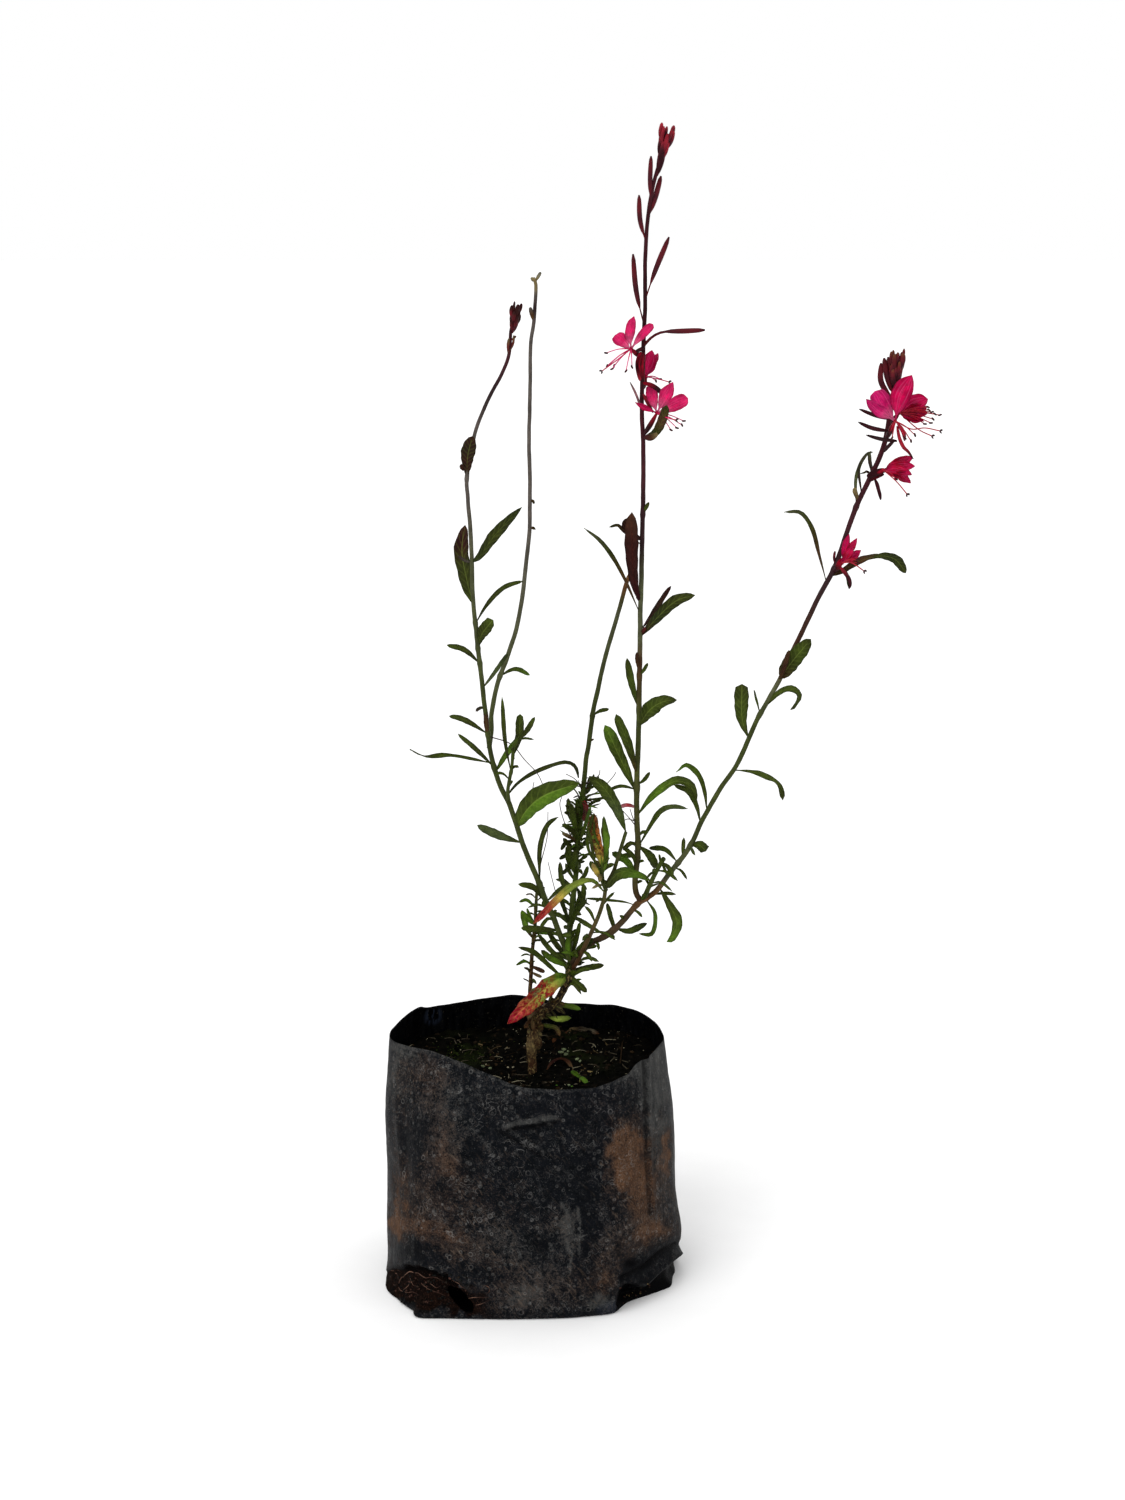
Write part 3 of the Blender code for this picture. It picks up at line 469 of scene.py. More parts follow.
def closed_curve(points):
    """A smooth closed curve through the points."""
    around = [*points[-2:], *points, *points[:3]]
    return smooth(around, 6)[12:-12]


def by_azimuth(curve):
    """Azimuths of a closed curve's points in rising order, with their radius and height."""
    rows = sorted((math.atan2(p.y, p.x), math.hypot(p.x, p.y), p.z) for p in curve)
    return [np.array(column) for column in zip(*rows)]


RIM = by_azimuth(closed_curve([seen(*point) for point in RIM_POINTS]))
BASE = by_azimuth(closed_curve([Vector((x * MM, y * MM, 0)) for x, y in BASE_POINTS]))
FOOT = by_azimuth(closed_curve([Vector((x * MM, y * MM, 0)) for x, y in FOOT_POINTS]))
RADIUS, HEIGHT = 1, 2  # the columns of these curves


def read_round(curve, column, azimuth):
    return np.interp(azimuth, curve[0], curve[column], period=2 * math.pi)


def wall(azimuth, share, inset):
    """Points of the plain wall, as arrays: a share of the way up from base to rim, set in by inset."""
    base_radius = read_round(BASE, RADIUS, azimuth)
    height = read_round(RIM, HEIGHT, azimuth) * share
    low = 1 - np.clip(height / FOOT_RISE, 0, 1)
    base_radius = base_radius + (read_round(FOOT, RADIUS, azimuth) - base_radius) * low * low * (3 - 2 * low)
    swell = BULGE * np.sin(math.pi * share)
    rounding = FOLD_RADIUS * np.maximum(0.0, 1 - height / FOLD_RADIUS) ** 2
    rim_radius = read_round(RIM, RADIUS, azimuth)
    radius = base_radius + (rim_radius - base_radius) * share**1.5 + swell - rounding - inset
    return radius * np.cos(azimuth), radius * np.sin(azimuth), height


print("rim height from", round(RIM[HEIGHT].min(), 4), "to", round(RIM[HEIGHT].max(), 4), "m")

# %% [markdown]
# ## Creases, tucks, dirt and painted light by strokes
# A maker would look at the bag and mark on it where a fold runs and where the mud sits. The same is
# done here with strokes and patches given as points of the front view, which also mark where a painted
# highlight or a painted shadow goes on the film. They could be painted by hand on an image, but strokes
# stay sharp at any size and put no picture into the file.

# %% Strokes and patches on the wall


def stroke(at, points, reach):
    """1 on a stroke through picture points, fading to 0 at its reach in pixels."""
    nearest = np.full(at[0].shape, 1e9)
    for (x0, y0), (x1, y1) in zip(points, points[1:]):
        run = (x1 - x0) ** 2 + (y1 - y0) ** 2
        share = np.clip(((at[0] - x0) * (x1 - x0) + (at[1] - y0) * (y1 - y0)) / run, 0, 1)
        miss = np.hypot(at[0] - x0 - share * (x1 - x0), at[1] - y0 - share * (y1 - y0))
        nearest = np.minimum(nearest, miss)
    return np.clip(1 - nearest / reach, 0, 1) ** 1.5


def patch(at, across, down, wide, tall):
    """A soft round patch."""
    return np.exp(-(((at[0] - across) / wide) ** 2) - ((at[1] - down) / tall) ** 2)


def below(at, line, softness):
    """0 above a line through picture points and 1 below it, changing over a few pixels."""
    xs, ys = zip(*line)
    return np.clip((at[1] - np.interp(at[0], xs, ys)) / softness, 0, 1)


CREASES = (  # (points, reach in pixels, how far the film stands out in mm)
    (((505, 1128), (518, 1123.5)), 2.6, 0.5), (((514, 1124), (536, 1121.5)), 3.4, 0.8),
    (((531, 1121), (553, 1116)), 5.0, 1.0), (((510, 1130), (532, 1127)), 3.0, -0.5),
    (((528, 1127), (556, 1123)), 4.6, -0.8), (((500, 1126), (520, 1139), (540, 1152)), 3.5, 1.4),
    (((497, 1131), (517, 1145), (536, 1157)), 4.0, -0.8),
    (((647, 1056), (649, 1109), (650, 1160), (654, 1215)), 4.0, 1.3),
    (((643, 1058), (645, 1109), (646, 1160), (650, 1215)), 4.0, -0.9),
    (((398, 1046), (397, 1100), (399, 1180)), 5.0, 0.7), (((404, 1050), (404, 1110), (406, 1190)), 5.0, -0.5),
    (((466, 1150), (467, 1172), (470, 1190)), 3.0, -0.6), (((427, 1180), (420, 1215), (415, 1250)), 6.0, 0.6),
    (((612, 1110), (606, 1150), (611, 1190)), 6.0, 0.5), (((570, 1195), (580, 1216), (577, 1262)), 4.0, 0.4),
    (((500, 1296), (470, 1282), (452, 1276)), 5.0, 0.8), (((505, 1262), (488, 1284), (500, 1303)), 4.0, -0.5),
    (((618, 1284), (600, 1296), (590, 1312)), 4.0, 0.8), (((433, 1060), (470, 1090), (520, 1106)), 7.0, 0.5),
    (((600, 1092), (625, 1100), (640, 1120)), 6.0, 0.5),
)
TUCK_RIGHT = (
    (600, 1340), (616, 1312), (618, 1291), (623, 1285), (633, 1283), (643, 1288), (655, 1278), (666, 1267),
    (676, 1257), (690, 1246), (705, 1238),
)
# below this line the tucked right corner is painted in shade
SHADED_CORNER = (
    (570, 1330), (587, 1312), (602, 1297), (611, 1288), (616, 1282), (624, 1266), (640, 1252), (660, 1240),
    (690, 1226),
)
TUCK_LEFT = (
    (370, 1268), (404, 1267), (422, 1267), (446, 1273), (455, 1284), (480, 1291), (505, 1310), (512, 1330),
)
FILM_STRIP = ((370, 1290), (395, 1296), (417, 1309), (445, 1311), (462, 1312), (480, 1316), (500, 1320))
FLAP_CREST = ((645, 1283), (663, 1266), (680, 1250))
FLAP_FOLD = ((622, 1278), (645, 1268), (662, 1252), (674, 1243))
UNDERCUT = ((398, 1269), (422, 1271), (440, 1276), (452, 1285))
print(len(CREASES), "creases and the lines of the two tucked corners")

# %% The grid of the wall
SPOKES = 320
LEVELS = 112
CLOSER_IN_FRONT, CLOSER_AT_FOOT = 0.45, 1.12
RIGHT_TUCK_AT, RIGHT_TUCK_SPAN = math.radians(25), math.radians(60)
turn = 2 * math.pi * np.arange(SPOKES) / SPOKES
azimuths = turn - CLOSER_IN_FRONT * np.sin(turn + math.pi / 2)
shares = np.linspace(0, 1, LEVELS) ** CLOSER_AT_FOOT
AZ, SHARE = np.meshgrid(azimuths, shares)
on_film = shown(*wall(AZ, SHARE, 0.0))
front = np.clip(0.6 - np.sin(AZ) * 2.2, 0, 1)  # the strokes fade out where the wall turns to the back
off_right = np.abs((AZ + RIGHT_TUCK_AT + math.pi) % (2 * math.pi) - math.pi)
right_side = np.clip((RIGHT_TUCK_SPAN - off_right) / 0.3, 0, 1)
left_side = np.clip(-np.cos(AZ) * 3 + 0.6, 0, 1) * front
print("a wall of", AZ.size, "points")

# %% How far the film stands in or out
standing = sum(height * stroke(on_film, points, reach) for points, reach, height in CREASES) * front
tucked = below(on_film, TUCK_RIGHT, 1.2) * (on_film[0] > 600) * right_side
cavity = patch(on_film, 634, 1294, 13, 13)
standing -= tucked * (3.4 + 3.6 * cavity)
standing += 2.4 * patch(on_film, 684, 1232, 26, 26) * right_side * (1 - tucked)
flap_ridge = stroke(on_film, FLAP_CREST, 6.0) * (1 - tucked) * right_side
flap_groove = stroke(on_film, FLAP_FOLD, 5.0) * right_side
hollow = patch(on_film, 631, 1264, 8, 5) * right_side
standing -= 1.3 * patch(on_film, 384, 1190, 16, 70) * left_side
standing += 2.4 * flap_ridge - 2.0 * flap_groove - 2.2 * hollow
SEED = 7
noise.seed_set(SEED)  # without it the vector noise starts elsewhere at every run
frayed = np.array([[noise.noise_vector(Vector((x * 0.11, y * 0.11, 2.0))) for x, y in zip(*row)]
                   for row in zip(*on_film)])
rough_film = (on_film[0] + frayed[:, :, 0] * 11, on_film[1] + frayed[:, :, 1] * 9)
muddy = below(rough_film, TUCK_LEFT, 3.0) * (1 - below(rough_film, FILM_STRIP, 3.0)) * (rough_film[0] < 500)
muddy *= left_side * (1 - np.clip((rough_film[0] - 470) / 30, 0, 1))
undercut = stroke(on_film, UNDERCUT, 7.0) * left_side
standing -= 1.8 * muddy + 2.2 * undercut
print("tucks take up", round(float((tucked + muddy).mean()) * 100, 1), "% of the wall")

# %% The film's own unevenness
STILL_FOOT = 4 * MM


def loose_film(spot, azimuth, share, mud):
    """How far the film stands out by itself, in mm: slow waves, upright folds and a fine grain."""
    slow = noise.noise(spot * 26) * 1.3 + noise.noise(spot * 70 + Vector((5, 0, 0))) * 0.45
    upright = noise.noise(Vector((math.cos(azimuth) * 5, math.sin(azimuth) * 5, 1.3 + spot.z * 6)))
    quick = noise.noise(spot * 240) * (0.14 + 0.75 * mud)
    return (slow + upright * 0.7) * math.sin(math.pi * min(1, share * 1.2)) ** 0.5 + quick


film_x, film_y, film_z = wall(AZ, SHARE, 0.0)
for row in range(LEVELS):
    for spoke in range(SPOKES):
        spot = Vector((film_x[row, spoke], film_y[row, spoke], film_z[row, spoke]))
        standing[row, spoke] += loose_film(spot, AZ[row, spoke], SHARE[row, spoke], muddy[row, spoke])
standing *= np.clip(film_z / STILL_FOOT, 0, 1)
film_x, film_y, film_z = wall(AZ, SHARE, -standing * MM)
rim_waves = [0.5 * MM * noise.noise(Vector((math.cos(a) * 7, math.sin(a) * 7, 3.0))) for a in azimuths]
film_z = film_z + (SHARE**8) * np.interp(AZ, azimuths, rim_waves, period=2 * math.pi)
past_dip = on_film[0] - 628.5
rim_dip = np.exp(-((past_dip / np.where(past_dip < 0, 8.0, 4.5)) ** 2)) * 2.0
rim_dip -= np.exp(-(((on_film[0] - 639) / 4.5) ** 2)) * 0.9
film_z = film_z - (SHARE**8) * rim_dip * front * MM
print("film stands out by", round(standing.max(), 2), "and in by", round(-standing.min(), 2), "mm")

# %% Dust, haze with painted sheen, and mud
DUST = (  # brown dust: across, down, half width, half height, strength
    (630, 1142, 18, 30, 0.95), (616, 1160, 14, 28, 0.6), (640, 1180, 20, 34, 0.55), (669, 1150, 8, 30, 1.1),
    (392, 1226, 11, 36, 0.32), (646, 1214, 38, 48, 0.58), (606, 1260, 36, 26, 0.42), (415, 1203, 22, 44, 0.46),
    (436, 1108, 16, 38, 0.42), (452, 1176, 26, 30, 0.46), (412, 1229, 28, 16, 0.4), (447, 1238, 24, 14, 0.5),
    (480, 1256, 38, 20, 0.38), (446, 1142, 20, 26, 0.42), (416, 1066, 22, 14, 0.45), (655, 1232, 22, 12, 0.4),
    (560, 1290, 60, 22, 0.26), (500, 1290, 34, 24, 0.4), (395, 1200, 8, 60, 0.42), (400, 1120, 14, 60, 0.3),
    (470, 1200, 44, 44, 0.3), (600, 1286, 16, 14, 0.45), (560, 1160, 60, 60, 0.2), (426, 1086, 16, 16, 0.4),
    (540, 1240, 60, 50, 0.22),
)
HAZE_AND_SHEEN = (  # pale grey dust, and painted sheen at a few patches
    (393, 1078, 7, 22, 0.7), (402, 1060, 16, 18, 0.45), (656, 1088, 13, 50, 1.25), (646, 1072, 16, 20, 0.6),
    (664, 1180, 9, 60, 0.7), (530, 1270, 66, 36, 0.4), (569, 1228, 8, 24, 0.5), (525, 1296, 20, 12, 0.7),
    (602, 1303, 13, 8, 1.3), (440, 1105, 28, 44, 0.42), (490, 1096, 66, 14, 0.3), (500, 1238, 44, 22, 0.36),
    (630, 1062, 16, 16, 0.5), (455, 1150, 22, 28, 0.35), (640, 1225, 22, 12, 0.4), (600, 1230, 34, 44, 0.28),
    (410, 1046, 20, 7, 0.45), (537, 1122, 16, 5, 0.7), (560, 1160, 60, 50, 0.16), (420, 1200, 30, 60, 0.25),
)
DARK = (  # clean, dark film
    (534, 1247, 15, 12, 1.0), (420, 1250, 16, 10, 1.0), (400, 1252, 12, 8, 0.9), (445, 1186, 10, 8, 0.7),
    (540, 1180, 55, 60, 0.3), (470, 1272, 30, 8, 0.5), (590, 1120, 18, 34, 0.5), (505, 1108, 50, 14, 0.4),
    (588, 1190, 12, 60, 0.6), (412, 1140, 14, 20, 0.7), (470, 1160, 7, 24, 0.9), (560, 1175, 26, 22, 0.3),
    (430, 1128, 8, 10, 0.7), (588, 1255, 10, 22, 0.6), (530, 1130, 24, 10, 0.5),
)


def covered(patches):
    return sum(strength * patch(rough_film, *place_of) for *place_of, strength in patches) * front


behind = 1 - front
back_cloud = np.array([noise.noise(Vector((math.cos(a) * 1.6, math.sin(a) * 1.6, s * 2.2))) for a, s in
                       zip(AZ.ravel(), SHARE.ravel())]).reshape(AZ.shape)
dark = covered(DARK)
dust = np.clip(covered(DUST) - dark * 0.6 + behind * np.clip(back_cloud * 0.9 + 0.2, 0, 0.5), 0, 1)
haze_and_sheen = np.clip(covered(HAZE_AND_SHEEN) - dark * 0.5 + behind * np.clip(0.25 - back_cloud, 0, 0.5), 0, 1)
# painted shade in the tucked right corner: dust and haze are taken out there, and it joins the shade mask
shaded_corner = below(on_film, SHADED_CORNER, 9.0) * (on_film[0] > 575) * right_side
dust *= 1 - 0.95 * shaded_corner * (1 - 0.25 * tucked)
# painted sheen on the bluish patch low on the front
haze_and_sheen = np.clip(haze_and_sheen * (1 - 0.9 * shaded_corner) + 0.75 * patch(on_film, 602, 1303, 12, 8), 0, 1)
print("dust covers", round(float(dust.mean()), 2), "haze_and_sheen", round(float(haze_and_sheen.mean()), 2), "of the film")

# %% Rubbed edges with painted highlights, and painted shadow lines
FLAP_EDGE = ((643, 1288), (655, 1277), (666, 1266), (677, 1255))
# rubbed edges, painted lighter as highlights along crease ridges, folds and the rim's corner
RUBBED_AND_LIT_EDGES = (  # (points, reach, strength)
    (((509, 1125), (530, 1121), (555, 1117)), 4.0, 1.7), (((501, 1124), (521, 1137), (545, 1152)), 3.0, 0.7),
    (((561, 1203), (567, 1212), (570, 1232)), 3.0, 1.0), (((578, 1208), (580, 1222), (579, 1260)), 2.6, 0.8),
    (((566, 1240), (572, 1255), (570, 1272)), 2.6, 0.7), (((509, 1300), (526, 1292), (542, 1290)), 2.6, 0.8),
    (((390, 1046), (403, 1052), (420, 1058)), 3.0, 0.8), (((648, 1060), (650, 1110), (652, 1160)), 2.4, 1.5),
    (((462, 1120), (480, 1136), (496, 1158)), 2.4, 0.6),
)
PAINTED_SHADOW_LINES = (  # the same for thin shadows
    (((444.5, 1228), (446, 1234), (443.5, 1240)), 1.6, 1.0),
    (((498, 1130), (519, 1143), (541, 1156)), 4.0, 0.8), (((507, 1130), (532, 1127), (556, 1123)), 3.5, 0.9),
    (((644, 1058), (646, 1110), (647, 1160), (651, 1215)), 2.5, 0.8),
)
# a painted highlight along the flap's edge
flap_light = stroke(on_film, FLAP_EDGE, 1.8) * front
haze_and_sheen = np.clip(haze_and_sheen + 1.2 * flap_light, 0, 1)
for points, reach, strength in RUBBED_AND_LIT_EDGES:
    haze_and_sheen += strength * stroke(on_film, points, reach) * front
# a painted highlight along the front of the rim
haze_and_sheen = np.clip(haze_and_sheen + 0.35 * (SHARE > 0.985) * front, 0, 1)
# the painted shade mask: shade painted into the tucked corners, the flap's groove and hollow, the undercut, the
# thin shadow lines and, at half strength, the darker clean patches
painted_shade = 0.45 * shaded_corner * (1 - patch(on_film, 602, 1303, 14, 9)) + 0.7 * flap_groove + 0.9 * hollow
for points, reach, strength in PAINTED_SHADOW_LINES:
    painted_shade += strength * stroke(on_film, points, reach) * front
painted_shade = np.clip(painted_shade + dark * 0.5 + 0.75 * tucked * (1 - flap_light) + undercut, 0, 1)
print(len(RUBBED_AND_LIT_EDGES), "rubbed edges and", len(PAINTED_SHADOW_LINES), "dark cuts")

# %% [markdown]
# ## The film itself
# The wall and the folded base are one sheet of film, torn open at the drainage hole. The sheet could be
# a closed solid from the start. It is laid as a single skin, the hole's faces are taken out, and the
# solidify operator then gives it the film's thickness, because that also closes the rim and the torn
# edge of the hole in one step.

# %% The film sheet
HOLE = ((461.0, 1299.0), (0.69, 0.72), 17.5, 5.6)  # middle, long way, and half sizes in picture points
HOLE_STARTS_AT = 2.6 * MM


def in_hole(point):
    (across, down), (way_x, way_y), long_half, short_half = HOLE
    x, y = shown(*point)
    along = (x - across) * way_x + (y - down) * way_y
    beside = (x - across) * way_y - (y - down) * way_x
    ragged = 1 + 0.3 * noise.noise(point * 300)
    inside = (along / long_half) ** 2 + (beside / short_half) ** 2 < ragged
    return point.y < 0 and point.z > HOLE_STARTS_AT and inside


film_rows = [[Vector((film_x[row, k], film_y[row, k], film_z[row, k])) for k in range(SPOKES)]
             for row in range(LEVELS)]
base_rows = [[Vector((p.x * s, p.y * s, 0.0)) for p in film_rows[0]] for s in (0.0, 0.35, 0.7, 0.93)]


def film_tint(column, row):
    """The four masks: dust, haze and painted sheen, mud, painted shade, kept as red, green, blue and alpha."""
    level = max(round(row * (LEVELS + len(base_rows) - 1)) - len(base_rows), 0)
    spoke = round(column * SPOKES) % SPOKES
    return dust[level, spoke], haze_and_sheen[level, spoke], muddy[level, spoke], painted_shade[level, spoke]


film_body = new_body()
film_faces = lay(film_body, base_rows + film_rows, True, film_tint)
torn = [face for face in film_faces if in_hole(face.calc_center_median())]
bmesh.ops.delete(film_body, geom=torn, context="FACES")
torn_edge = [v for v in film_body.verts if v.is_boundary and v.co.z < 30 * MM]
EVERY_WAY = {"use_axis_x": True, "use_axis_y": True, "use_axis_z": True}
for _ in range(3):
    bmesh.ops.smooth_vert(film_body, verts=torn_edge, factor=0.5, **EVERY_WAY)
bmesh.ops.recalc_face_normals(film_body, faces=film_body.faces)
film_surface = BVHTree.FromBMesh(film_body)
print("film:", len(film_body.faces), "faces,", len(torn), "torn out for the hole")

# %% The film's thickness and its two sides
bmesh.ops.solidify(film_body, geom=film_body.faces, thickness=FILM * 0.8)
bmesh.ops.recalc_face_normals(film_body, faces=film_body.faces)
# faces turned inward above the base, and the floor inside, take the inner finish, which is painted darker as
# shade
for face in film_body.faces:
    middle = face.calc_center_median()
    faces_inward = face.normal.dot(Vector((middle.x, middle.y, 0)).normalized()) < -0.35
    above_the_base = middle.z > 60 * MM
    face.material_index = int((faces_inward and above_the_base) or (face.normal.z > 0.8 and middle.z < 20 * MM))
print("volume of the film", round(film_body.calc_volume(signed=True) * 1e6, 2), "cm3")

# %% [markdown]
# ## Dusty black film
# Used grow bags are blue-black polythene with a dull shine. Brown dust clings where wet soil dried,
# grey haze where the film was rubbed, and fine curly scratches and specks lie over all of it. On top of
# that, painted highlights lie along ridges, the rim and a bluish patch, and painted shade lies in the
# tucked corners, the folds and under the tucks. A dirt picture could be wrapped round it. The dirt and
# the painted light are mixed from noise through the masks that the strokes left on the points, so they
# stay crisp close up and follow the folds.

# %% The film finish
black_film, tree, shader = new_finish("dusty_black_film", Specular_IOR_Level=0.015)
where = in_space(tree)
dirt = place(tree, "Attribute", {}, attribute_name="tint")
masks = place(tree, "SeparateColor", {0: dirt.outputs["Color"]}).outputs
# the alpha carries the painted shade
painted_shade_mask = dirt.outputs["Alpha"]
cloud = grain(tree, where, 60.0, 5.0, 0.6)
small_cloud = grain(tree, where, 210.0, 5.0, 0.65)
fine = grain(tree, where, 620.0, 5.0, 0.75)
dusting = grain(tree, where, 1300.0, 3.0, 0.8)
streaks = grain(tree, stretched(tree, where, (1.0, 1.0, 0.2)), 330.0, 4.0, 0.65)


def worn(mask, softness, strength):
    """A mask broken up by noise of four sizes, so that dirt fades out unevenly."""
    for size, bite in ((cloud, 0.2), (small_cloud, 0.26), (fine, 0.4), (dusting, 0.42)):
        mask = plus(tree, mask, spread(tree, size, 0.3, 0.7, -bite, bite))
    return spread(tree, mask, 0.22, 0.22 + softness, 0.0, strength)


dust_mask = times(tree, worn(masks[0], 0.75, 0.8), spread(tree, streaks, 0.3, 0.7, 0.6, 1.15))
# grey haze, with the painted highlights and sheen in it
haze_and_sheen_mask = times(tree, worn(masks[1], 0.8, 0.6), spread(tree, streaks, 0.3, 0.7, 0.4, 1.2))
mud_mask = times(tree, masks[2], spread(tree, small_cloud, 0.2, 0.5, 0.6, 1.0))
film_colour = blend(tree, spread(tree, small_cloud, 0.35, 0.65), colour(6, 8, 11), colour(16, 18, 22))
film_colour = blend(tree, spread(tree, dusting, 0.55, 0.75, 0.0, 0.24), film_colour, colour(60, 61, 64))
film_colour = blend(tree, haze_and_sheen_mask, film_colour, colour(78, 78, 76))
# a painted bluish reflection low on the front of the film
bluish_shine = times(tree, near(tree, where, seen(604, 1303, -46), 0.003, 0.011, 0.7, 0.0),
                     spread(tree, cloud, 0.35, 0.6))
film_colour = blend(tree, bluish_shine, film_colour, colour(64, 74, 92))
thick_dust = spread(tree, masks[0], 0.6, 1.0)
dust_colour = blend(tree, thick_dust, colour(56, 44, 37), colour(98, 71, 52))
dust_colour = blend(tree, spread(tree, dusting, 0.35, 0.65, 0.55, 0.0), dust_colour, colour(20, 14, 12))
film_colour = blend(tree, dust_mask, film_colour, dust_colour)
print("film colours mixed from", len(tree.nodes), "nodes")

# %% Scratches and specks on the film
CURLS = ((150.0, 1.4), (270.0, 2.2))  # curly scratches: how dense, and how strongly they curl
SPOTS = (  # rings and specks: how dense, ring radius, width, and how few of the cells have one
    (205.0, 0.24, 0.085, 0.58), (320.0, 0.22, 0.12, 0.58), (760.0, 0.0, 0.32, 0.7),
)
RUBBED = (seen(568, 1150, 55), (-0.01, 0.055, 0.06))  # where the marks crowd, in front and behind
curls = []
for scale, twist in CURLS:
    off_contour = apart(tree, grain(tree, where, scale, 1.5, 0.5, twist), 0.5)
    broken = spread(tree, grain(tree, where, scale * 0.7, 3.0), 0.5, 0.62)
    curls.append(times(tree, spread(tree, off_contour, 0.0, 0.014, 1.0, 0.0), broken))
curl_mask = sum_up(tree, "MAXIMUM", *curls)
spot_marks = []
for scale, radius, width, rarity in SPOTS:
    cells = place(tree, "TexVoronoi", {"Vector": where, "Scale": scale}, feature="F1")
    pick = place(tree, "SeparateColor", {0: cells.outputs["Color"]}).outputs
    off_ring = apart(tree, cells.outputs["Distance"], radius)
    chosen = spread(tree, pick[0], rarity, rarity + 0.1)
    ring = times(tree, spread(tree, off_ring, 0.0, width, 1.0, 0.0), chosen)
    spot_marks.append(times(tree, ring, spread(tree, pick[1], 0.0, 1.0, 0.25, 1.0)))
spots = sum_up(tree, "MAXIMUM", sum_up(tree, "MAXIMUM", *spot_marks[:2]), spot_marks[2])
broken_spots = times(tree, spots, spread(tree, fine, 0.35, 0.6, 0.15, 1.0))
near_rubbed = sum_up(tree, "MAXIMUM", *(near(tree, where, spot, 0.022, 0.06, 1.0, 0.2) for spot in RUBBED))
marks = times(tree, sum_up(tree, "MAXIMUM", curl_mask, broken_spots), near_rubbed)
marks = times(tree, marks, spread(tree, cloud, 0.35, 0.6, 0.5, 1.0))
film_colour = blend(tree, marks, film_colour, colour(188, 186, 182))
leaning = place(tree, "Mapping", {"Vector": where, "Rotation": (0.0, 0.7, 0.0)}).outputs[0]
scratches = grain(tree, stretched(tree, leaning, (1.0, 1.0, 0.16)), 900.0, 3.0, 0.6)
scratches = spread(tree, scratches, 0.58, 0.68, 0.0, 0.26)
scratches = times(tree, scratches, spread(tree, masks[0], 0.1, 0.5, 0.25, 1.0))
film_colour = blend(tree, scratches, film_colour, colour(110, 94, 80))
pits = spread(tree, grain(tree, where, 480.0, 4.0, 0.7), 0.6, 0.72, 0.0, 0.7)
film_colour = blend(tree, pits, film_colour, colour(5, 5, 6))
print(len(CURLS), "sizes of curly scratches and", len(SPOTS), "of specks")

# %% Mud, painted shade, gloss and relief of the film
mud_colour = blend(tree, spread(tree, small_cloud, 0.35, 0.7), colour(3, 3, 3), colour(24, 14, 10))
mud_colour = blend(tree, spread(tree, dusting, 0.55, 0.68), mud_colour, colour(60, 39, 30))
mud_colour = blend(tree, spread(tree, fine, 0.5, 0.3), mud_colour, colour(3, 2, 2))
film_colour = blend(tree, mud_mask, film_colour, mud_colour)
# painted shade: the film goes near black where the shade mask is
film_colour = blend(tree, painted_shade_mask, film_colour, colour(4, 4, 5))
tree.links.new(film_colour, shader.inputs["Base Color"])
gloss = spread(tree, plus(tree, dust_mask, plus(tree, haze_and_sheen_mask, mud_mask)), 0.0, 1.0, 0.42, 0.9)
tree.links.new(gloss, shader.inputs["Roughness"])
height = times(tree, fine, spread(tree, mud_mask, 0.0, 1.0, 0.6, 3.0))
height = plus(tree, height, times(tree, marks, 0.5))
relief(tree, shader, plus(tree, height, times(tree, streaks, 0.5)), 0.0005)
print("film finish of", len(tree.nodes), "nodes")

# %% Landing things where they show


def landed(surface, across, down):
    """Where the line of sight through a picture point meets a surface."""
    sight = (seen(across, down, 100) - EYE).normalized()
    point, normal, _, _ = surface.ray_cast(EYE, sight)
    if point is None:
        print("nothing is met at", across, down)
        point, normal, _, _ = surface.find_nearest(seen(across, down, 0))
    return point, normal


def laid_on(surface, points, lift):
    """A line that lies on a surface through picture points, raised by lift."""
    line = []
    for across, down in points:
        point, normal = landed(surface, across, down)
        line.append(point + Vector((0, 0, 1)) * lift if normal.z > 0.3 else point + normal * lift)
    return line


# %% The inside of the film, painted darker as shade
shaded_inner_film, tree, shader = new_finish("glossy_inner_film_painted_shade", Specular_IOR_Level=0.02)
where = in_space(tree)
streaks = grain(tree, stretched(tree, where, (1.0, 1.0, 0.25)), 340.0, 4.0, 0.6)
# a painted sheen on a pleat at the back of the inside
PLEAT = landed(film_surface, 432.5, 1016)[0]
pleat_painted_sheen = times(tree, near(tree, where, PLEAT, 0.001, 0.006, 0.8, 0.0), spread(tree, streaks, 0.48, 0.58))
# the inside is painted darker than the outside of the same film, as the shade inside the bag
inner_colour = blend(tree, spread(tree, streaks, 0.45, 0.75), colour(2, 2, 3), colour(11, 12, 14))
soil_specks = spread(tree, grain(tree, where, 900.0, 3.0, 0.7), 0.63, 0.7, 0.0, 0.5)
inner_colour = blend(tree, soil_specks, inner_colour, colour(70, 66, 56))
inner_colour = blend(tree, pleat_painted_sheen, inner_colour, colour(46, 54, 70))
covered_with(tree, shader, inner_colour, streaks, 0.35, 0.6)
relief(tree, shader, streaks, 0.0006)
print("the pleat that shines is at", [round(v, 3) for v in PLEAT])

# %% [markdown]
# ## Rootlets
# Fine roots have grown out of the hole and cling to the muddy corner. They could be drawn on as lines,
# but real roots lift off the film and cast small shadows, so each is a thin tube that lies on it. They
# belong to the bag's piece, as everything that sticks to the film does.

# %% A single crumb
scatter = random.Random(11)
ABOUT_A_TURN = 6.28


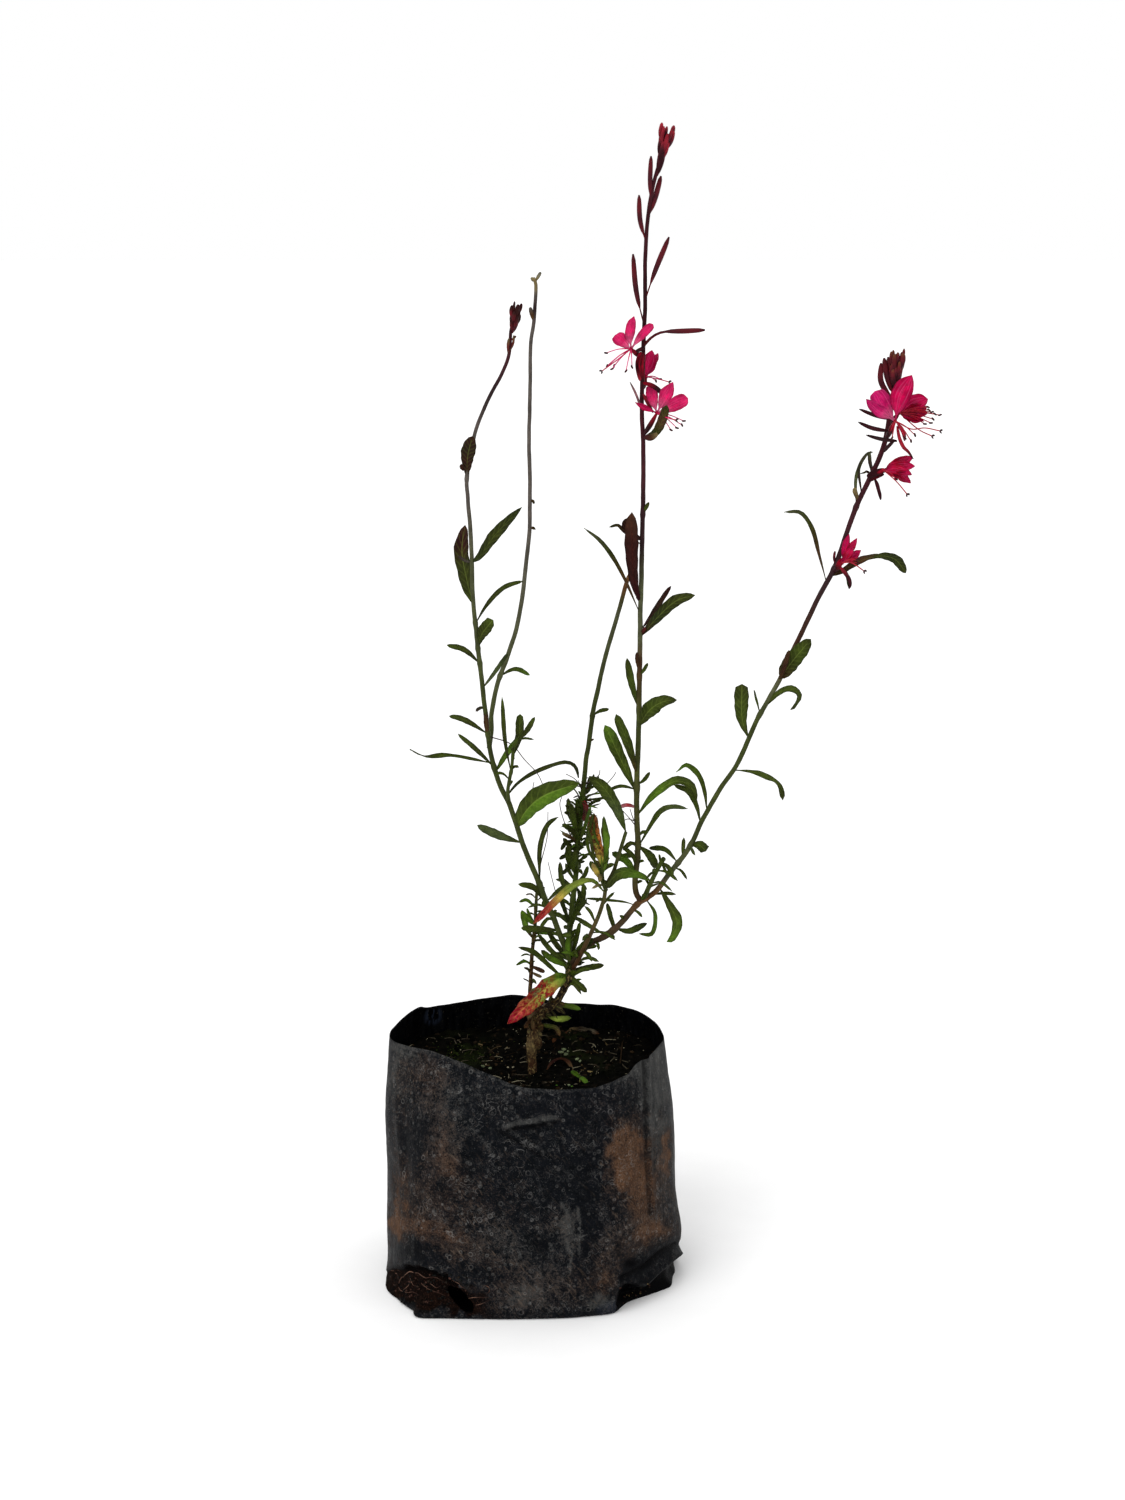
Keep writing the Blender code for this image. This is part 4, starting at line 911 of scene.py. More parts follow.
def crumb(body, at, size, squash, colour_name, finish_index=0):
    """One small lump with a broken outline."""
    layer = body.verts.layers.float_color["tint"]
    made = bmesh.ops.create_icosphere(body, subdivisions=1, radius=size)["verts"]
    turned = Matrix.Rotation(scatter.uniform(0, ABOUT_A_TURN), 3, "Z")
    turned = turned @ Matrix.Rotation(scatter.uniform(-0.6, 0.6), 3, "X")
    for vert in made:
        wider, deeper = scatter.uniform(0.75, 1.5), scatter.uniform(0.6, 1.0)
        vert.co = at + turned @ Vector((vert.co.x * wider, vert.co.y * deeper, vert.co.z * squash))
        vert[layer] = (*(PALETTE[colour_name] * scatter.uniform(0.6, 1.3)), 1.0)
    for face in {face for vert in made for face in vert.link_faces}:
        face.material_index = finish_index


# %% Rootlets on the muddy corner
ROOTLETS = (  # (picture points, radius in mm)
    (
        (
            (400, 1283), (403, 1277), (409, 1273), (416, 1273), (425, 1277), (432, 1278), (439, 1279),
            (448, 1284),
        ),
        0.3,
    ),
    (((452, 1280), (458, 1282), (462, 1286), (466, 1288)), 0.25),
    (((469, 1298), (478, 1297), (488, 1297)), 0.22), (((393, 1275), (397, 1275), (400, 1279)), 0.25),
    (((485, 1285), (489, 1287), (489, 1291), (486, 1293)), 0.2),
    (((452, 1281), (458, 1291), (462, 1294), (463, 1300)), 0.25),
    (((390, 1278), (393, 1285), (397, 1285)), 0.25), (((404, 1290), (410, 1283), (415, 1280)), 0.2),
    (((398, 1288), (405, 1292), (413, 1291), (420, 1296)), 0.2),
    (((422, 1283), (428, 1289), (437, 1291), (446, 1296)), 0.2),
    (((415, 1301), (424, 1303), (434, 1301)), 0.18), (((430, 1283), (436, 1287), (441, 1285)), 0.18),
    (((476, 1304), (483, 1303), (490, 1300)), 0.18), (((411, 1277), (414, 1284), (420, 1287)), 0.18),
    (((391, 1270), (398, 1270), (404, 1273)), 0.2),
)
ROOT_COLOURS = ("root_brown", "root_pale", "root_brown", "soil_brown")
ROOT_FINISH = 2  # the place of the rootlets' skin among the bag's finishes
for points, thick in ROOTLETS:
    route = smooth(laid_on(film_surface, points, 0.5 * MM), 4)
    for point in route:
        point += noise.noise_vector(point * 400) * 0.4 * MM + noise.noise_vector(point * 160) * 0.7 * MM
        point.z = max(point.z, 0.9 * MM)
    radii = [thick * MM * (0.6 + 0.25 * math.sin(i * 0.9)) for i in range(len(route))]
    tube(film_body, route, radii, 5, through(*ROOT_COLOURS), ROOT_FINISH)
print(len(ROOTLETS), "rootlets")

# %% Crumbs that stick to the film


def stuck(spot, outward, largest, names):
    """A crumb on the film, up to this many millimetres in size."""
    size = scatter.uniform(0.3, largest) * MM
    crumb(film_body, spot + outward * 0.1 * MM, size, 0.8, scatter.choice(names), ROOT_FINISH)


for _ in range(90):
    spot, outward = landed(film_surface, scatter.uniform(394, 470), scatter.uniform(1274, 1306))
    if 1.4 * MM < spot.z < 32 * MM:
        stuck(spot, outward, 0.9, ("soil", "soil_brown", "root_brown", "dark_soil"))
for _ in range(46):
    spot, outward = landed(film_surface, scatter.gauss(635, 8), scatter.gauss(1295, 5))
    if 1.4 * MM < spot.z < 24 * MM and spot.x > 38 * MM:
        stuck(spot, outward, 0.8, ("soil_brown", "tan", "root_brown", "dark_soil"))
root_skin, tree, shader, _, skin, flecks = own_skin("fine_root", 0.1, 300.0, 1500.0)
covered_with(tree, shader, skin, flecks, 0.6, 0.9)
relief(tree, shader, flecks, 0.0001)
film = finished(film_body, "creased_film_bag", "grow_bag", "black_film", black_film, shaded_inner_film, root_skin)
print("film bag", round(max(v.co.z for v in film.data.vertices), 4), "m tall")

# %% [markdown]
# ## The potting mix
# The mix is a dark, moist blend of peat and composted bark, crumbly on top, with bits of moss and pale
# specks. Its surface could be a flat disc with a bump map, but seen from above it needs real lumps that
# catch light. So the disc is a grid rolled into rings, raised by noise, and loose crumbs lie on it.

# %% The block of mix
MIX_TOP, MIX_TILT, MIX_TILT_RIGHT = 110 * MM, 0.075, 0.01
MIX_SPOKES, MIX_RINGS = 210, 66
CLEAR_OF_FILM = 0.45 * MM
LOWER_RINGS = ((0.6, 4.0), (0.3, 6.5), (0.05, 8.5))  # share of the height, and how far in, in mm
film_radius = np.hypot(film_x, film_y)


def mix_height(x, y):
    return MIX_TOP + MIX_TILT * y + MIX_TILT_RIGHT * x


def crumbly(x, y):
    """How far the lumps of the surface rise, in metres."""
    here = Vector((x, y, 0.0))
    lumps = noise.noise(here * 75) * 1.4 + abs(noise.noise(here * 190 + Vector((3, 1, 0)))) * 2.2
    return (lumps + noise.noise(here * 460) * 0.8 - 0.6) * MM


def mix_edge(azimuth):
    """The radius at which the top of the mix meets the film."""
    radius = 66 * MM
    for _ in range(5):
        level = mix_height(radius * math.cos(azimuth), radius * math.sin(azimuth))
        row = int(np.searchsorted(shares, min(level / read_round(RIM, HEIGHT, azimuth), 0.97)))
        radius = float(np.interp(azimuth, azimuths, film_radius[row], period=2 * math.pi)) - CLEAR_OF_FILM
    return radius


edges = [(a, mix_edge(a)) for a in (2 * math.pi * k / MIX_SPOKES for k in range(MIX_SPOKES))]
mix_rows = []
for ring in range(MIX_RINGS + 1):
    share = (ring / MIX_RINGS) ** 0.85
    points = [(r * share * math.cos(a), r * share * math.sin(a)) for a, r in edges]
    mix_rows.append([Vector((x, y, mix_height(x, y) + crumbly(x, y) * (ring > 0))) for x, y in points])
for level, inset in LOWER_RINGS:
    lower = []
    for p in mix_rows[MIX_RINGS]:
        narrower = 1 - inset * MM / math.hypot(p.x, p.y)
        lower.append(Vector((p.x, p.y, 0)) * narrower + Vector((0, 0, p.z * level)))
    mix_rows.append(lower)
mix_rows.append([Vector((0, 0, 2 * MM))] * MIX_SPOKES)
print("the mix has", len(mix_rows), "rings, from", round(min(r for _, r in edges), 3), "m in radius")

# %% Colours of the mix
MOSSY = ((460, 1052, 26, 16), (577, 1062, 26, 26))  # patches: across, down, half width, half height


def mix_tint(column, row):
    point = mix_rows[round(row * (len(mix_rows) - 1))][round(column * MIX_SPOKES) % MIX_SPOKES]
    at = shown(*point)
    mossy = max(noise.noise(point * 60) * 1.4, 0) * sum(patch(at, *place_of) for place_of in MOSSY)
    tone = 0.5 + noise.noise(point * 330) * 0.9
    return tinted(("dark_soil", "soil", "soil_brown"), tone * 0.6).lerp(PALETTE["moss"], min(mossy * 0.8, 0.4))


mix_body = new_body()
lay(mix_body, mix_rows, True, mix_tint)
mix_surface = BVHTree.FromBMesh(mix_body)
print("mix:", len(mix_body.faces), "faces")

# %% Where the stem comes out of the mix
print("the stem's foot lands at", [round(v, 3) for v in landed(mix_surface, 533, 1069)[0]])

# %% [markdown]
# ## Crumbs, fibres and moss
# Loose bark crumbs, wood fibres and tufts of moss make the top of the mix look alive. They could be
# scattered by particles, but each is wanted as real geometry, joined into the piece. More than a thousand
# small icospheres and some 160 thin tubes are placed with a fixed seed, each with only a few faces.

# %% Scattered crumbs


def on_mix(azimuth, share):
    radius = mix_edge(azimuth) * share
    x, y = radius * math.cos(azimuth), radius * math.sin(azimuth)
    return Vector((x, y, mix_height(x, y) + crumbly(x, y)))


def anywhere(outermost):
    """A random spot of the mix, up to a share of the way to the film."""
    return on_mix(scatter.uniform(0, ABOUT_A_TURN), scatter.uniform(0.02, outermost) ** 0.5)


for _ in range(620):
    spot = anywhere(0.97)
    kind = scatter.choice(("soil", "dark_soil", "soil", "soil_brown", "soil", "dark_soil", "dark_bark"))
    crumb(mix_body, spot, scatter.uniform(0.4, 1.7) * MM, scatter.uniform(0.4, 0.9), kind)
for _ in range(420):
    spot = anywhere(0.95)
    kind = scatter.choice(("pale_speck", "dust_grey", "pale_speck", "moss", "dust_grey"))
    crumb(mix_body, spot, scatter.uniform(0.16, 0.42) * MM, 0.7, kind)
print("mix with crumbs:", len(mix_body.faces), "faces")

# %% Green things and moss
SEED_SPOTS = (  # small round green things and bits: across, down, size in mm, colour
    (561, 1053, 1.5, "lichen"), (564, 1050, 1.3, "lichen"), (565.5, 1055, 1.4, "lichen"),
    (568, 1052, 1.0, "lichen"), (577, 1060, 1.5, "lichen"), (580, 1062, 1.1, "lichen"),
    (561, 1058, 0.8, "moss"), (483, 1067, 1.4, "lichen"), (490, 1069, 1.2, "lichen"),
    (513, 1068, 0.9, "pale_speck"), (508, 1068, 0.7, "pale_speck"), (554.5, 1041, 2.2, "brown"),
    (507, 1049, 0.9, "dust_grey"), (569, 1086, 1.2, "lichen"), (576, 1085, 1.0, "dust_grey"),
    (601, 1053, 0.9, "dust_grey"), (486, 1065, 0.5, "pale_speck"), (507, 1048, 0.6, "tan"),
    (557, 1086, 0.6, "seed_green"), (572, 1087, 0.6, "seed_green"), (591, 1076, 0.7, "moss"),
    (508, 1058, 0.8, "soil_brown"),
)
for across, down, size, colour_name in SEED_SPOTS:
    spot = landed(mix_surface, across, down)[0] + Vector((0, 0, 0.4 * MM))
    crumb(mix_body, spot, size * MM, 0.5, colour_name)
for _ in range(90):
    spot = landed(mix_surface, scatter.gauss(461, 13), scatter.gauss(1054, 6))[0]
    if spot.z > 0.1 and math.hypot(spot.x, spot.y) < 62 * MM:
        crumb(mix_body, spot, scatter.uniform(0.3, 0.7) * MM, 1.0, "moss")
print("mix with moss:", len(mix_body.faces), "faces")

# %% Fibres and bits of twig
UP = Vector((0, 0, 1))
FIBRE_COLOURS = (
    ("soil_brown", "dust_grey"), ("dark_bark", "dust_grey"), ("dust_grey", "pale_speck"), ("dark_bark", "soil"),
)
TWIG_BITS = (  # (picture points, radius in mm, colours)
    (((476, 1040), (480, 1045), (483, 1050)), 0.5, ("tan", "dark_bark")),
    (((598, 1036), (603, 1040), (608, 1045), (612, 1040)), 0.45, ("dark_bark", "tan")),
    (((581, 1070), (588, 1071), (596, 1072)), 0.6, ("tan", "straw")),
    (((452, 1051), (449, 1056), (445, 1054), (444, 1058), (449, 1060)), 0.35, ("straw", "grey")),
    (((520, 1047), (514, 1053), (509, 1062)), 0.3, ("soil_brown", "tan")),
    (((593, 1049), (600, 1053), (610, 1052)), 0.3, ("tan", "soil_brown")),
    (((617, 1030), (624, 1036), (634, 1037)), 0.4, ("dark_bark", "soil_brown")),
    (((482, 1024), (492, 1021), (503, 1023)), 0.4, ("dark_bark", "tan")),
)


def fibre(body, start, way, length, thick, names):
    """A thin, slightly bent tube that lies on the mix."""
    points = [start + way * (length * s) + UP * (0.3 * MM + 0.25 * length * s * (1 - s)) for s in (0, 0.5, 1)]
    points[1] += way.cross(UP) * length * scatter.uniform(-0.2, 0.2)
    tube(body, smooth(points, 2), [thick] * 5, 4, through(*names))


for _ in range(150):
    spot = anywhere(0.9)
    angle = scatter.uniform(0, ABOUT_A_TURN)
    fibre(mix_body, spot, Vector((math.cos(angle), math.sin(angle), 0)), scatter.uniform(3, 9) * MM,
          scatter.uniform(0.14, 0.3) * MM, scatter.choice(FIBRE_COLOURS))
for points, thick, names in TWIG_BITS:
    route = smooth(laid_on(mix_surface, points, 0.5 * MM), 3)
    tube(mix_body, route, [thick * MM] * len(route), 6, through(*names))
print("mix with fibres:", len(mix_body.faces), "faces")

# %% The mix finish
moist_mix, tree, shader, where, skin, flecks = own_skin("moist_potting_mix", 0.01, 110.0, 900.0)
covered_with(tree, shader, skin, flecks, 0.65, 0.98)
crumb_cells = place(tree, "TexVoronoi", {"Vector": where, "Scale": 700.0}, feature="F1").outputs["Distance"]
relief(tree, shader, plus(tree, flecks, crumb_cells), 0.0006)
finished(mix_body, "crumbly_potting_mix", "potting_mix", "potting_mix", moist_mix)
print("mix surface is at", round(mix_height(0, 0), 3), "m by the stem")

# %% [markdown]
# ## Where the stems run
# Every stem grows from another one or from the mix. The route of each is given by the points at which
# it shows, with depths, and a radius at each end. It could be drawn as a curve object, but the leaves
# and buds must know where its middle line is, so the lines come first and the skins after them.

# %% Routes of the stems
Stem = namedtuple("Stem", "parent points thick thin")
STEMS = {
    "woody_base": Stem(None, (
        (533, 1069, -4), (532, 1049, -4), (534, 1035, -3), (536, 1022, -3),
        (545, 1010, -2), (556, 1003, -1), (563, 991, 0), (568, 979, 0), (571, 966, 0), (571, 955, 0),
    ), 2.3, 1.9),
    "right_stem": Stem("woody_base", (
        (571, 966, 0), (577, 957, -3), (589, 944, -5), (603, 937, -6), (619, 925, -7), (636, 905, -7),
        (644, 899, -7), (656, 891, -8), (669, 874, -10), (683, 857, -12), (693, 841, -14), (700, 825, -16),
        (708, 810, -18), (720, 789, -20), (735, 768, -22), (745, 747, -24), (757, 720, -26),
        (779, 681, -29), (792, 653, -31), (802, 632, -32), (815, 604, -33), (826, 584, -34),
        (836, 565, -34), (846, 535, -35), (858, 503, -35), (872, 474, -34), (881, 455, -33),
        (887, 433, -33), (892, 400, -33), (896, 384, -33), (897, 372, -33),
    ), 1.8, 0.9),
    "centre_stem": Stem("right_stem", (
        (641, 901, -7), (636, 893, -7), (635, 880, -8), (637, 858, -9), (638, 840, -10), (637, 822, -9),
        (637, 787, -6), (638, 740, -2), (639, 720, 0), (639, 679, 3), (640, 633, 6), (641, 587, 8),
        (642, 544, 8), (643, 510, 7), (643, 480, 5), (643, 440, 2), (642, 412, 0), (642, 385, -2),
        (643, 354, -3), (644, 322, -4), (645, 300, -5), (646, 238, -6), (652, 192, -6), (659, 164, -6),
        (663, 148, -6),
    ), 1.3, 0.7),
    "left_stem": Stem("woody_base", (
        (571, 962, 0), (564, 945, -3), (557, 927, -6), (552, 914, -8), (546, 902, -10), (538, 881, -13),
        (529, 860, -15), (522, 842, -17), (515, 820, -18), (509, 803, -19), (501, 788, -20),
        (495, 772, -21), (490, 752, -22), (487, 731, -23), (485, 710, -24), (481, 674, -26),
        (477, 636, -28), (473, 597, -30), (471, 536, -32), (468, 500, -33), (467, 475, -34),
        (474, 436, -35), (482, 413, -35), (492, 391, -35), (502, 373, -35), (509, 354, -35),
        (511, 332, -35), (513, 322, -35),
    ), 1.3, 0.6),
    "whip_stem": Stem("left_stem", (
        (489, 748, -22), (491, 733, -18), (491, 717, -15), (493, 704, -12), (496, 690, -10),
        (499, 679, -7), (508, 655, -2), (518, 621, 6), (524, 582, 13), (529, 536, 20), (530, 500, 24),
        (529, 444, 29), (530, 383, 33), (531, 342, 35), (534, 322, 36), (536, 287, 37), (533, 278, 37),
    ), 1.0, 0.7),
    "middle_stem": Stem("woody_base", (
        (571, 960, 0), (570, 945, 5), (570, 927, 9), (573, 898, 13), (576, 876, 16), (577, 849, 18),
        (581, 814, 21), (584, 782, 23), (586, 760, 24), (589, 744, 25), (593, 712, 27), (597, 694, 28),
        (606, 654, 30), (614, 628, 31), (620, 607, 32), (627, 581, 32), (630, 575, 32),
    ), 1.2, 0.7),
    "short_stem": Stem("woody_base", (
        (571, 970, 0), (577, 962, -5), (588, 940, -13), (599, 915, -15), (604, 899, -16), (606, 885, -17),
        (613, 872, -18), (617, 861, -18), (622, 845, -18), (626, 832, -18),
    ), 1.0, 0.7),
    "brown_stem": Stem(None, (
        (528, 1060, 9), (529, 1040, 9), (530, 1017, 9), (530, 994, 9), (531, 975, 8), (532, 956, 7),
        (534, 936, 6), (536, 906, 4), (537, 892, 3),
    ), 1.1, 0.6),
    "old_leaf_shoot": Stem("short_stem", (
        (606, 890, -17), (602, 880, -21), (602, 868, -22), (603, 850, -23),
    ), 0.9, 0.7),
    "stub_shoot": Stem("right_stem", (
        (644, 899, -7), (650, 884, -13), (657, 870, -16), (664, 858, -18),
    ), 1.2, 0.8),
    "left_side_shoot": Stem("left_stem", (
        (509, 803, -19), (508, 790, -24), (512, 766, -28), (514, 747, -30), (518, 738, -31),
    ), 0.8, 0.5),
}
ROOTED_DEPTH = 12 * MM


def stem_route(stem):
    """The smooth middle line of a stem, which starts in the mix or on its parent's middle line."""
    points = [seen(*point) for point in stem.points]
    if stem.parent is None:
        points[0].z = mix_height(points[0].x, points[0].y) - ROOTED_DEPTH
    line = smooth(points, 8)
    count = max(int(length_of(line) / (1.8 * MM)), 12)
    line = at_shares(line, np.linspace(0, 1, count))
    for index, point in enumerate(line[1:-1], 1):
        sway = noise.noise_vector(point * 55) * 0.3 * MM + noise.noise_vector(point * 160) * 0.12 * MM
        line[index] = point + sway * min(index / 6, 1)
    return line


ROUTES = {name: stem_route(stem) for name, stem in STEMS.items()}
print(len(ROUTES), "stems,", round(sum(length_of(line) for line in ROUTES.values()), 2), "m of stem in all")

# %% Feet of leaves on the stems


def foot_on(name, point):
    """The nearest point of a stem's middle line, and its share of the way up."""
    path = ROUTES[name]
    nearest = None
    for step, (start, end) in enumerate(zip(path, path[1:])):
        share = min(max(intersect_point_line(point, start, end)[1], 0.0), 1.0)
        foot = start + (end - start) * share
        miss = (point - foot).length
        if nearest is None or miss < nearest[0]:
            nearest = (miss, foot, (step + share) / (len(path) - 1))
    return nearest[1], nearest[2]


def depth_on(name, across, down):
    """The depth, in millimetres, of the stem where it shows nearest to a picture point."""
    best = None
    for start, end in zip(STEMS[name].points, STEMS[name].points[1:]):
        run = Vector((end[0] - start[0], end[1] - start[1]))
        offset = Vector((across - start[0], down - start[1]))
        share = min(max(offset.dot(run) / run.length_squared, 0.0), 1.0)
        miss = (offset - run * share).length
        if best is None or miss < best[0]:
            best = (miss, start[2] + (end[2] - start[2]) * share)
    return best[1]


def shoot_line(stem, points, reach):
    """The smooth line of a leaf, bud or flower stalk, from the middle of its stem to its tip."""
    depth = depth_on(stem, *points[0])
    last = len(points) - 1
    line = [seen(*point, depth + reach * step / last) for step, point in enumerate(points)]
    line[0] = foot_on(stem, line[0])[0]
    return smooth(line, 6)


# %% [markdown]
# ## Leaves
# A gaura leaf is narrow, broadest beyond its middle, folded a little along a pale midrib, with a wavy
# edge and a few small teeth. It could be cut from a flat sheet and bent. Here each blade is a small grid
# along its line, with its width from one formula, because the fold, the waves and the twist can then
# differ from leaf to leaf. The solidify operator makes it a thin closed sheet.

# %% The leaf blade
FINE = ((-1.0, -0.72, -0.4, -0.12, 0.0, 0.12, 0.4, 0.72, 1.0), 18)
TINY = ((-1.0, -0.45, 0.0, 0.45, 1.0), 6)
TEETH_PACE, WAVE_PACE = 34, 13  # radians of their waves over the length of a blade
OUT_OF_STEP = 2.1  # how far the waves of one edge are shifted against the other's
# a blade is painted lighter along its middle as light, and painted darker towards its edges as shade
PAINTED_MIDDLE_LIGHT, PAINTED_EDGE_SHADE = 1.16, 0.52
Looks = namedtuple("Looks", "names fold wave twist broad full teeth claw other",
                   defaults=(0.3, 0.16, 0.0, 0.65, 1.5, 0.05, 0.0, ()))  # other: colours of the second half


def breadth(share, broad, full):
    """How wide a blade is at a share of its length: 1 at the share called broad, 0 at both ends."""
    if not 0 < share < 1:
        return 0.0
    return (share / broad) ** (broad * full) * ((1 - share) / (1 - broad)) ** ((1 - broad) * full)


def blade_row(point, direction, share, half, roll, looks, across, phase):
    """One row of points across a blade, turned, folded along the midrib, waved and toothed."""
    side = direction.cross(TOWARDS_EYE).normalized()
    face = side.cross(direction)
    turn_by = roll + looks.twist * (share - 0.3)
    flat = side * math.cos(turn_by) + face * math.sin(turn_by)
    up = face * math.cos(turn_by) - side * math.sin(turn_by)
    row = []
    for t in across:
        jag = 1 + looks.teeth * math.sin(share * TEETH_PACE + phase * 3) * abs(t) ** 3
        ripple = looks.wave * half * t * t * math.sin(share * WAVE_PACE + phase + (OUT_OF_STEP if t > 0 else 0))
        lift = math.sin(looks.fold) * half * abs(t) + ripple - (0.1 * MM if t == 0 else 0)
        row.append(point + flat * (half * t * jag * math.cos(looks.fold)) + up * lift)
    return row


def blade(body, line, width, roll, looks, finish_index, thick=0.24 * MM, stalk=0.35 * MM, mesh=FINE):
    """A leaf, petal or bract along a line; roll turns it from facing the front."""
    across, count = mesh
    spine = at_shares(line, np.linspace(0, 1, count + 1))
    phase = noise.noise(spine[-1] * 900) * 9
    rows = []
    for index, (point, direction) in enumerate(zip(spine, directions(spine))):
        share = index / count
        half = width / 2 * breadth((share - looks.claw) / (1 - looks.claw), looks.broad, looks.full)
        half = max(half, stalk * (1 - share) ** 3, 0.05 * MM)
        rows.append(blade_row(point, direction, share, half, roll, looks, across, phase))

    def tint(column, row):
        edge = abs(column - 0.5) * 2
        names = looks.other if looks.other and column < 0.45 else looks.names
        # painted light along the middle, painted shade at the edges
        return tinted(names, row) * (PAINTED_MIDDLE_LIGHT - PAINTED_EDGE_SHADE * edge**2)

    faces = lay(body, rows, False, tint, finish_index)
    bmesh.ops.recalc_face_normals(body, faces=faces)
    bmesh.ops.solidify(body, geom=faces, thickness=thick)


# %% [markdown]
# ## The skin of a leaf
# Gaura leaves are satin, dark above, with a paler midrib and faint side veins. The colour could be one
# green, but each leaf here is its own green, yellow or maroon. The material takes the colour that the
# blade carries, mottles it, lightens the veins from the shared group and raises them slightly.

# %% The leaf finishes


def leaf_finish(name, vein_tone, gloss, blotches=None, blotch_tone=(128, 8, 24), blotch_size=420.0):
    """Blotches, if any, start and are full at these two shares of the leaf's length."""
    material, tree, shader, where, skin, flecks = own_skin(name, 0.06, 230.0, 900.0)
    midrib, side_veins = vein_masks(tree, 10.0)
    if blotches:
        spots = grain(tree, where, blotch_size, 4.0, 0.65)
        along = place(tree, "SeparateXYZ", {0: on_surface(tree)}).outputs[1]
        turned = spread(tree, along, *blotches)
        red = times(tree, spread(tree, spots, 0.46, 0.52, 0.0, 0.95), turned)
        skin = blend(tree, red, skin, colour(*blotch_tone))
        brown = times(tree, spread(tree, flecks, 0.53, 0.61, 0.0, 0.8), turned)
        skin = blend(tree, brown, skin, colour(56, 22, 14))
    vein_colour = blend(tree, 0.6, skin, vein_tone, "SCREEN")
    skin = blend(tree, spread(tree, side_veins, 0.0, 1.0, 0.0, 0.2), skin, vein_colour)
    skin = blend(tree, spread(tree, midrib, 0.0, 1.0, 0.0, 0.6), skin, vein_colour)
    covered_with(tree, shader, skin, flecks, gloss, gloss + 0.2)
    raised = plus(tree, times(tree, midrib, 1.2), times(tree, side_veins, 0.5))
    relief(tree, shader, plus(tree, raised, times(tree, flecks, 0.8)), 0.00012)
    return material


leaf_skin = leaf_finish("satin_green_leaf", colour(104, 118, 52), 0.4)
dark_leaf_skin = leaf_finish("maroon_leaf", colour(66, 26, 20), 0.4)
turning_skin = leaf_finish("leaf_turning_red", colour(150, 150, 60), 0.45, (0.16, 0.34), (118, 6, 22), 460.0)
old_leaf_skin = leaf_finish("old_yellow_leaf", colour(160, 140, 70), 0.5, (0.1, 0.3), (74, 36, 16))
blush_skin = leaf_finish("leaf_with_red_tip", colour(170, 150, 90), 0.45, (0.62, 0.85))
print("five leaf finishes")

# %% [markdown]
# ## The skin of a stem
# Young stems are smooth with faint ribs, olive at the foot and burgundy towards the flowers. The
# woody base is rough and tan. Both could share one colour ramp by height, but a branch starts its own
# change where it grows. So the colour again comes from the skin's own attribute, in named steps.

# %% The stem finishes


def stem_finish(name, rough, ribs, depth, crevice_shade=0.25, along_scale=9.0, flakes=0.0):
    material, tree, shader, _, skin, flecks = own_skin(name, 0.07, 120.0, 700.0)
    fibres = grain(tree, stretched(tree, on_surface(tree), (ribs, along_scale, 1.0)), 1.0, 3.0, 0.6)
    skin = blend(tree, spread(tree, fibres, 0.4, 0.7, 0.0, 0.3), skin, colour(150, 140, 110), "SOFT_LIGHT")
    # painted shade in the crevices between the ribs
    skin = blend(tree, spread(tree, fibres, 0.25, 0.5, crevice_shade, 0.0), skin, colour(14, 10, 7))
    if flakes:
        flaking = spread(tree, times(tree, fibres, flecks), 0.26, 0.34, 0.0, flakes)
        skin = blend(tree, flaking, skin, colour(122, 104, 66))
    covered_with(tree, shader, skin, flecks, rough, rough + 0.2)
    relief(tree, shader, plus(tree, fibres, times(tree, flecks, 0.6)), depth)
    return material


stem_skin = stem_finish("smooth_stem", 0.45, 9.0, 0.00012)
bark_skin = stem_finish("rough_bark", 0.75, 14.0, 0.0012, 0.95, 40.0, 0.8)
bud_skin = stem_finish("waxy_bud", 0.4, 7.0, 0.0001)
print("three stem finishes")

# %% Colours up each stem, by how far down the picture they show
STEM_COLOURS = {
    "woody_base": (
        (1075, "dark_bark"), (1062, "brown"), (1045, "tan"), (1028, "brown"), (1008, "dark_bark"),
        (985, "dark_bark"), (960, "stem_green"),
    ),
    "right_stem": (
        (966, "dark_bark"), (945, "bark_brown"), (915, "bark_brown"), (893, "rust"), (876, "grey_olive"),
        (820, "stem_green"), (720, "stem_green"), (688, "grey_olive"), (655, "brown"), (585, "plum"),
        (480, "burgundy"), (370, "burgundy"),
    ),
    "centre_stem": (
        (901, "brown"), (880, "stem_olive"), (720, "stem_green"), (662, "brown"), (640, "grey_olive"),
        (580, "grey_olive"), (545, "plum"), (430, "burgundy"), (330, "wine"), (150, "burgundy"),
    ),
    "left_stem": (
        (962, "stem_green"), (700, "stem_green"), (560, "grey_olive"), (500, "grey"), (440, "grey"),
        (390, "plum"), (345, "burgundy"), (322, "wine"),
    ),
    "whip_stem": (
        (748, "stem_green"), (640, "grey_olive"), (520, "grey"), (330, "grey"), (308, "plum"), (294, "grey"),
        (286, "straw"), (276, "straw"),
    ),
    "middle_stem": (
        (960, "stem_green"), (880, "mid"), (790, "mid"), (760, "stem_green"), (700, "stem_green"),
        (612, "grey_olive"), (600, "stem_olive"), (590, "rust"), (576, "rust"),
    ),
    "short_stem": ((970, "brown"), (900, "stem_olive"), (832, "stem_green")),
    "brown_stem": ((1060, "dark_bark"), (970, "brown"), (892, "stem_green")),
    "old_leaf_shoot": ((890, "stem_green"), (850, "mid")), "stub_shoot": ((899, "stem_green"), (858, "mid")),
    "left_side_shoot": ((803, "stem_green"), (738, "mid")),
}


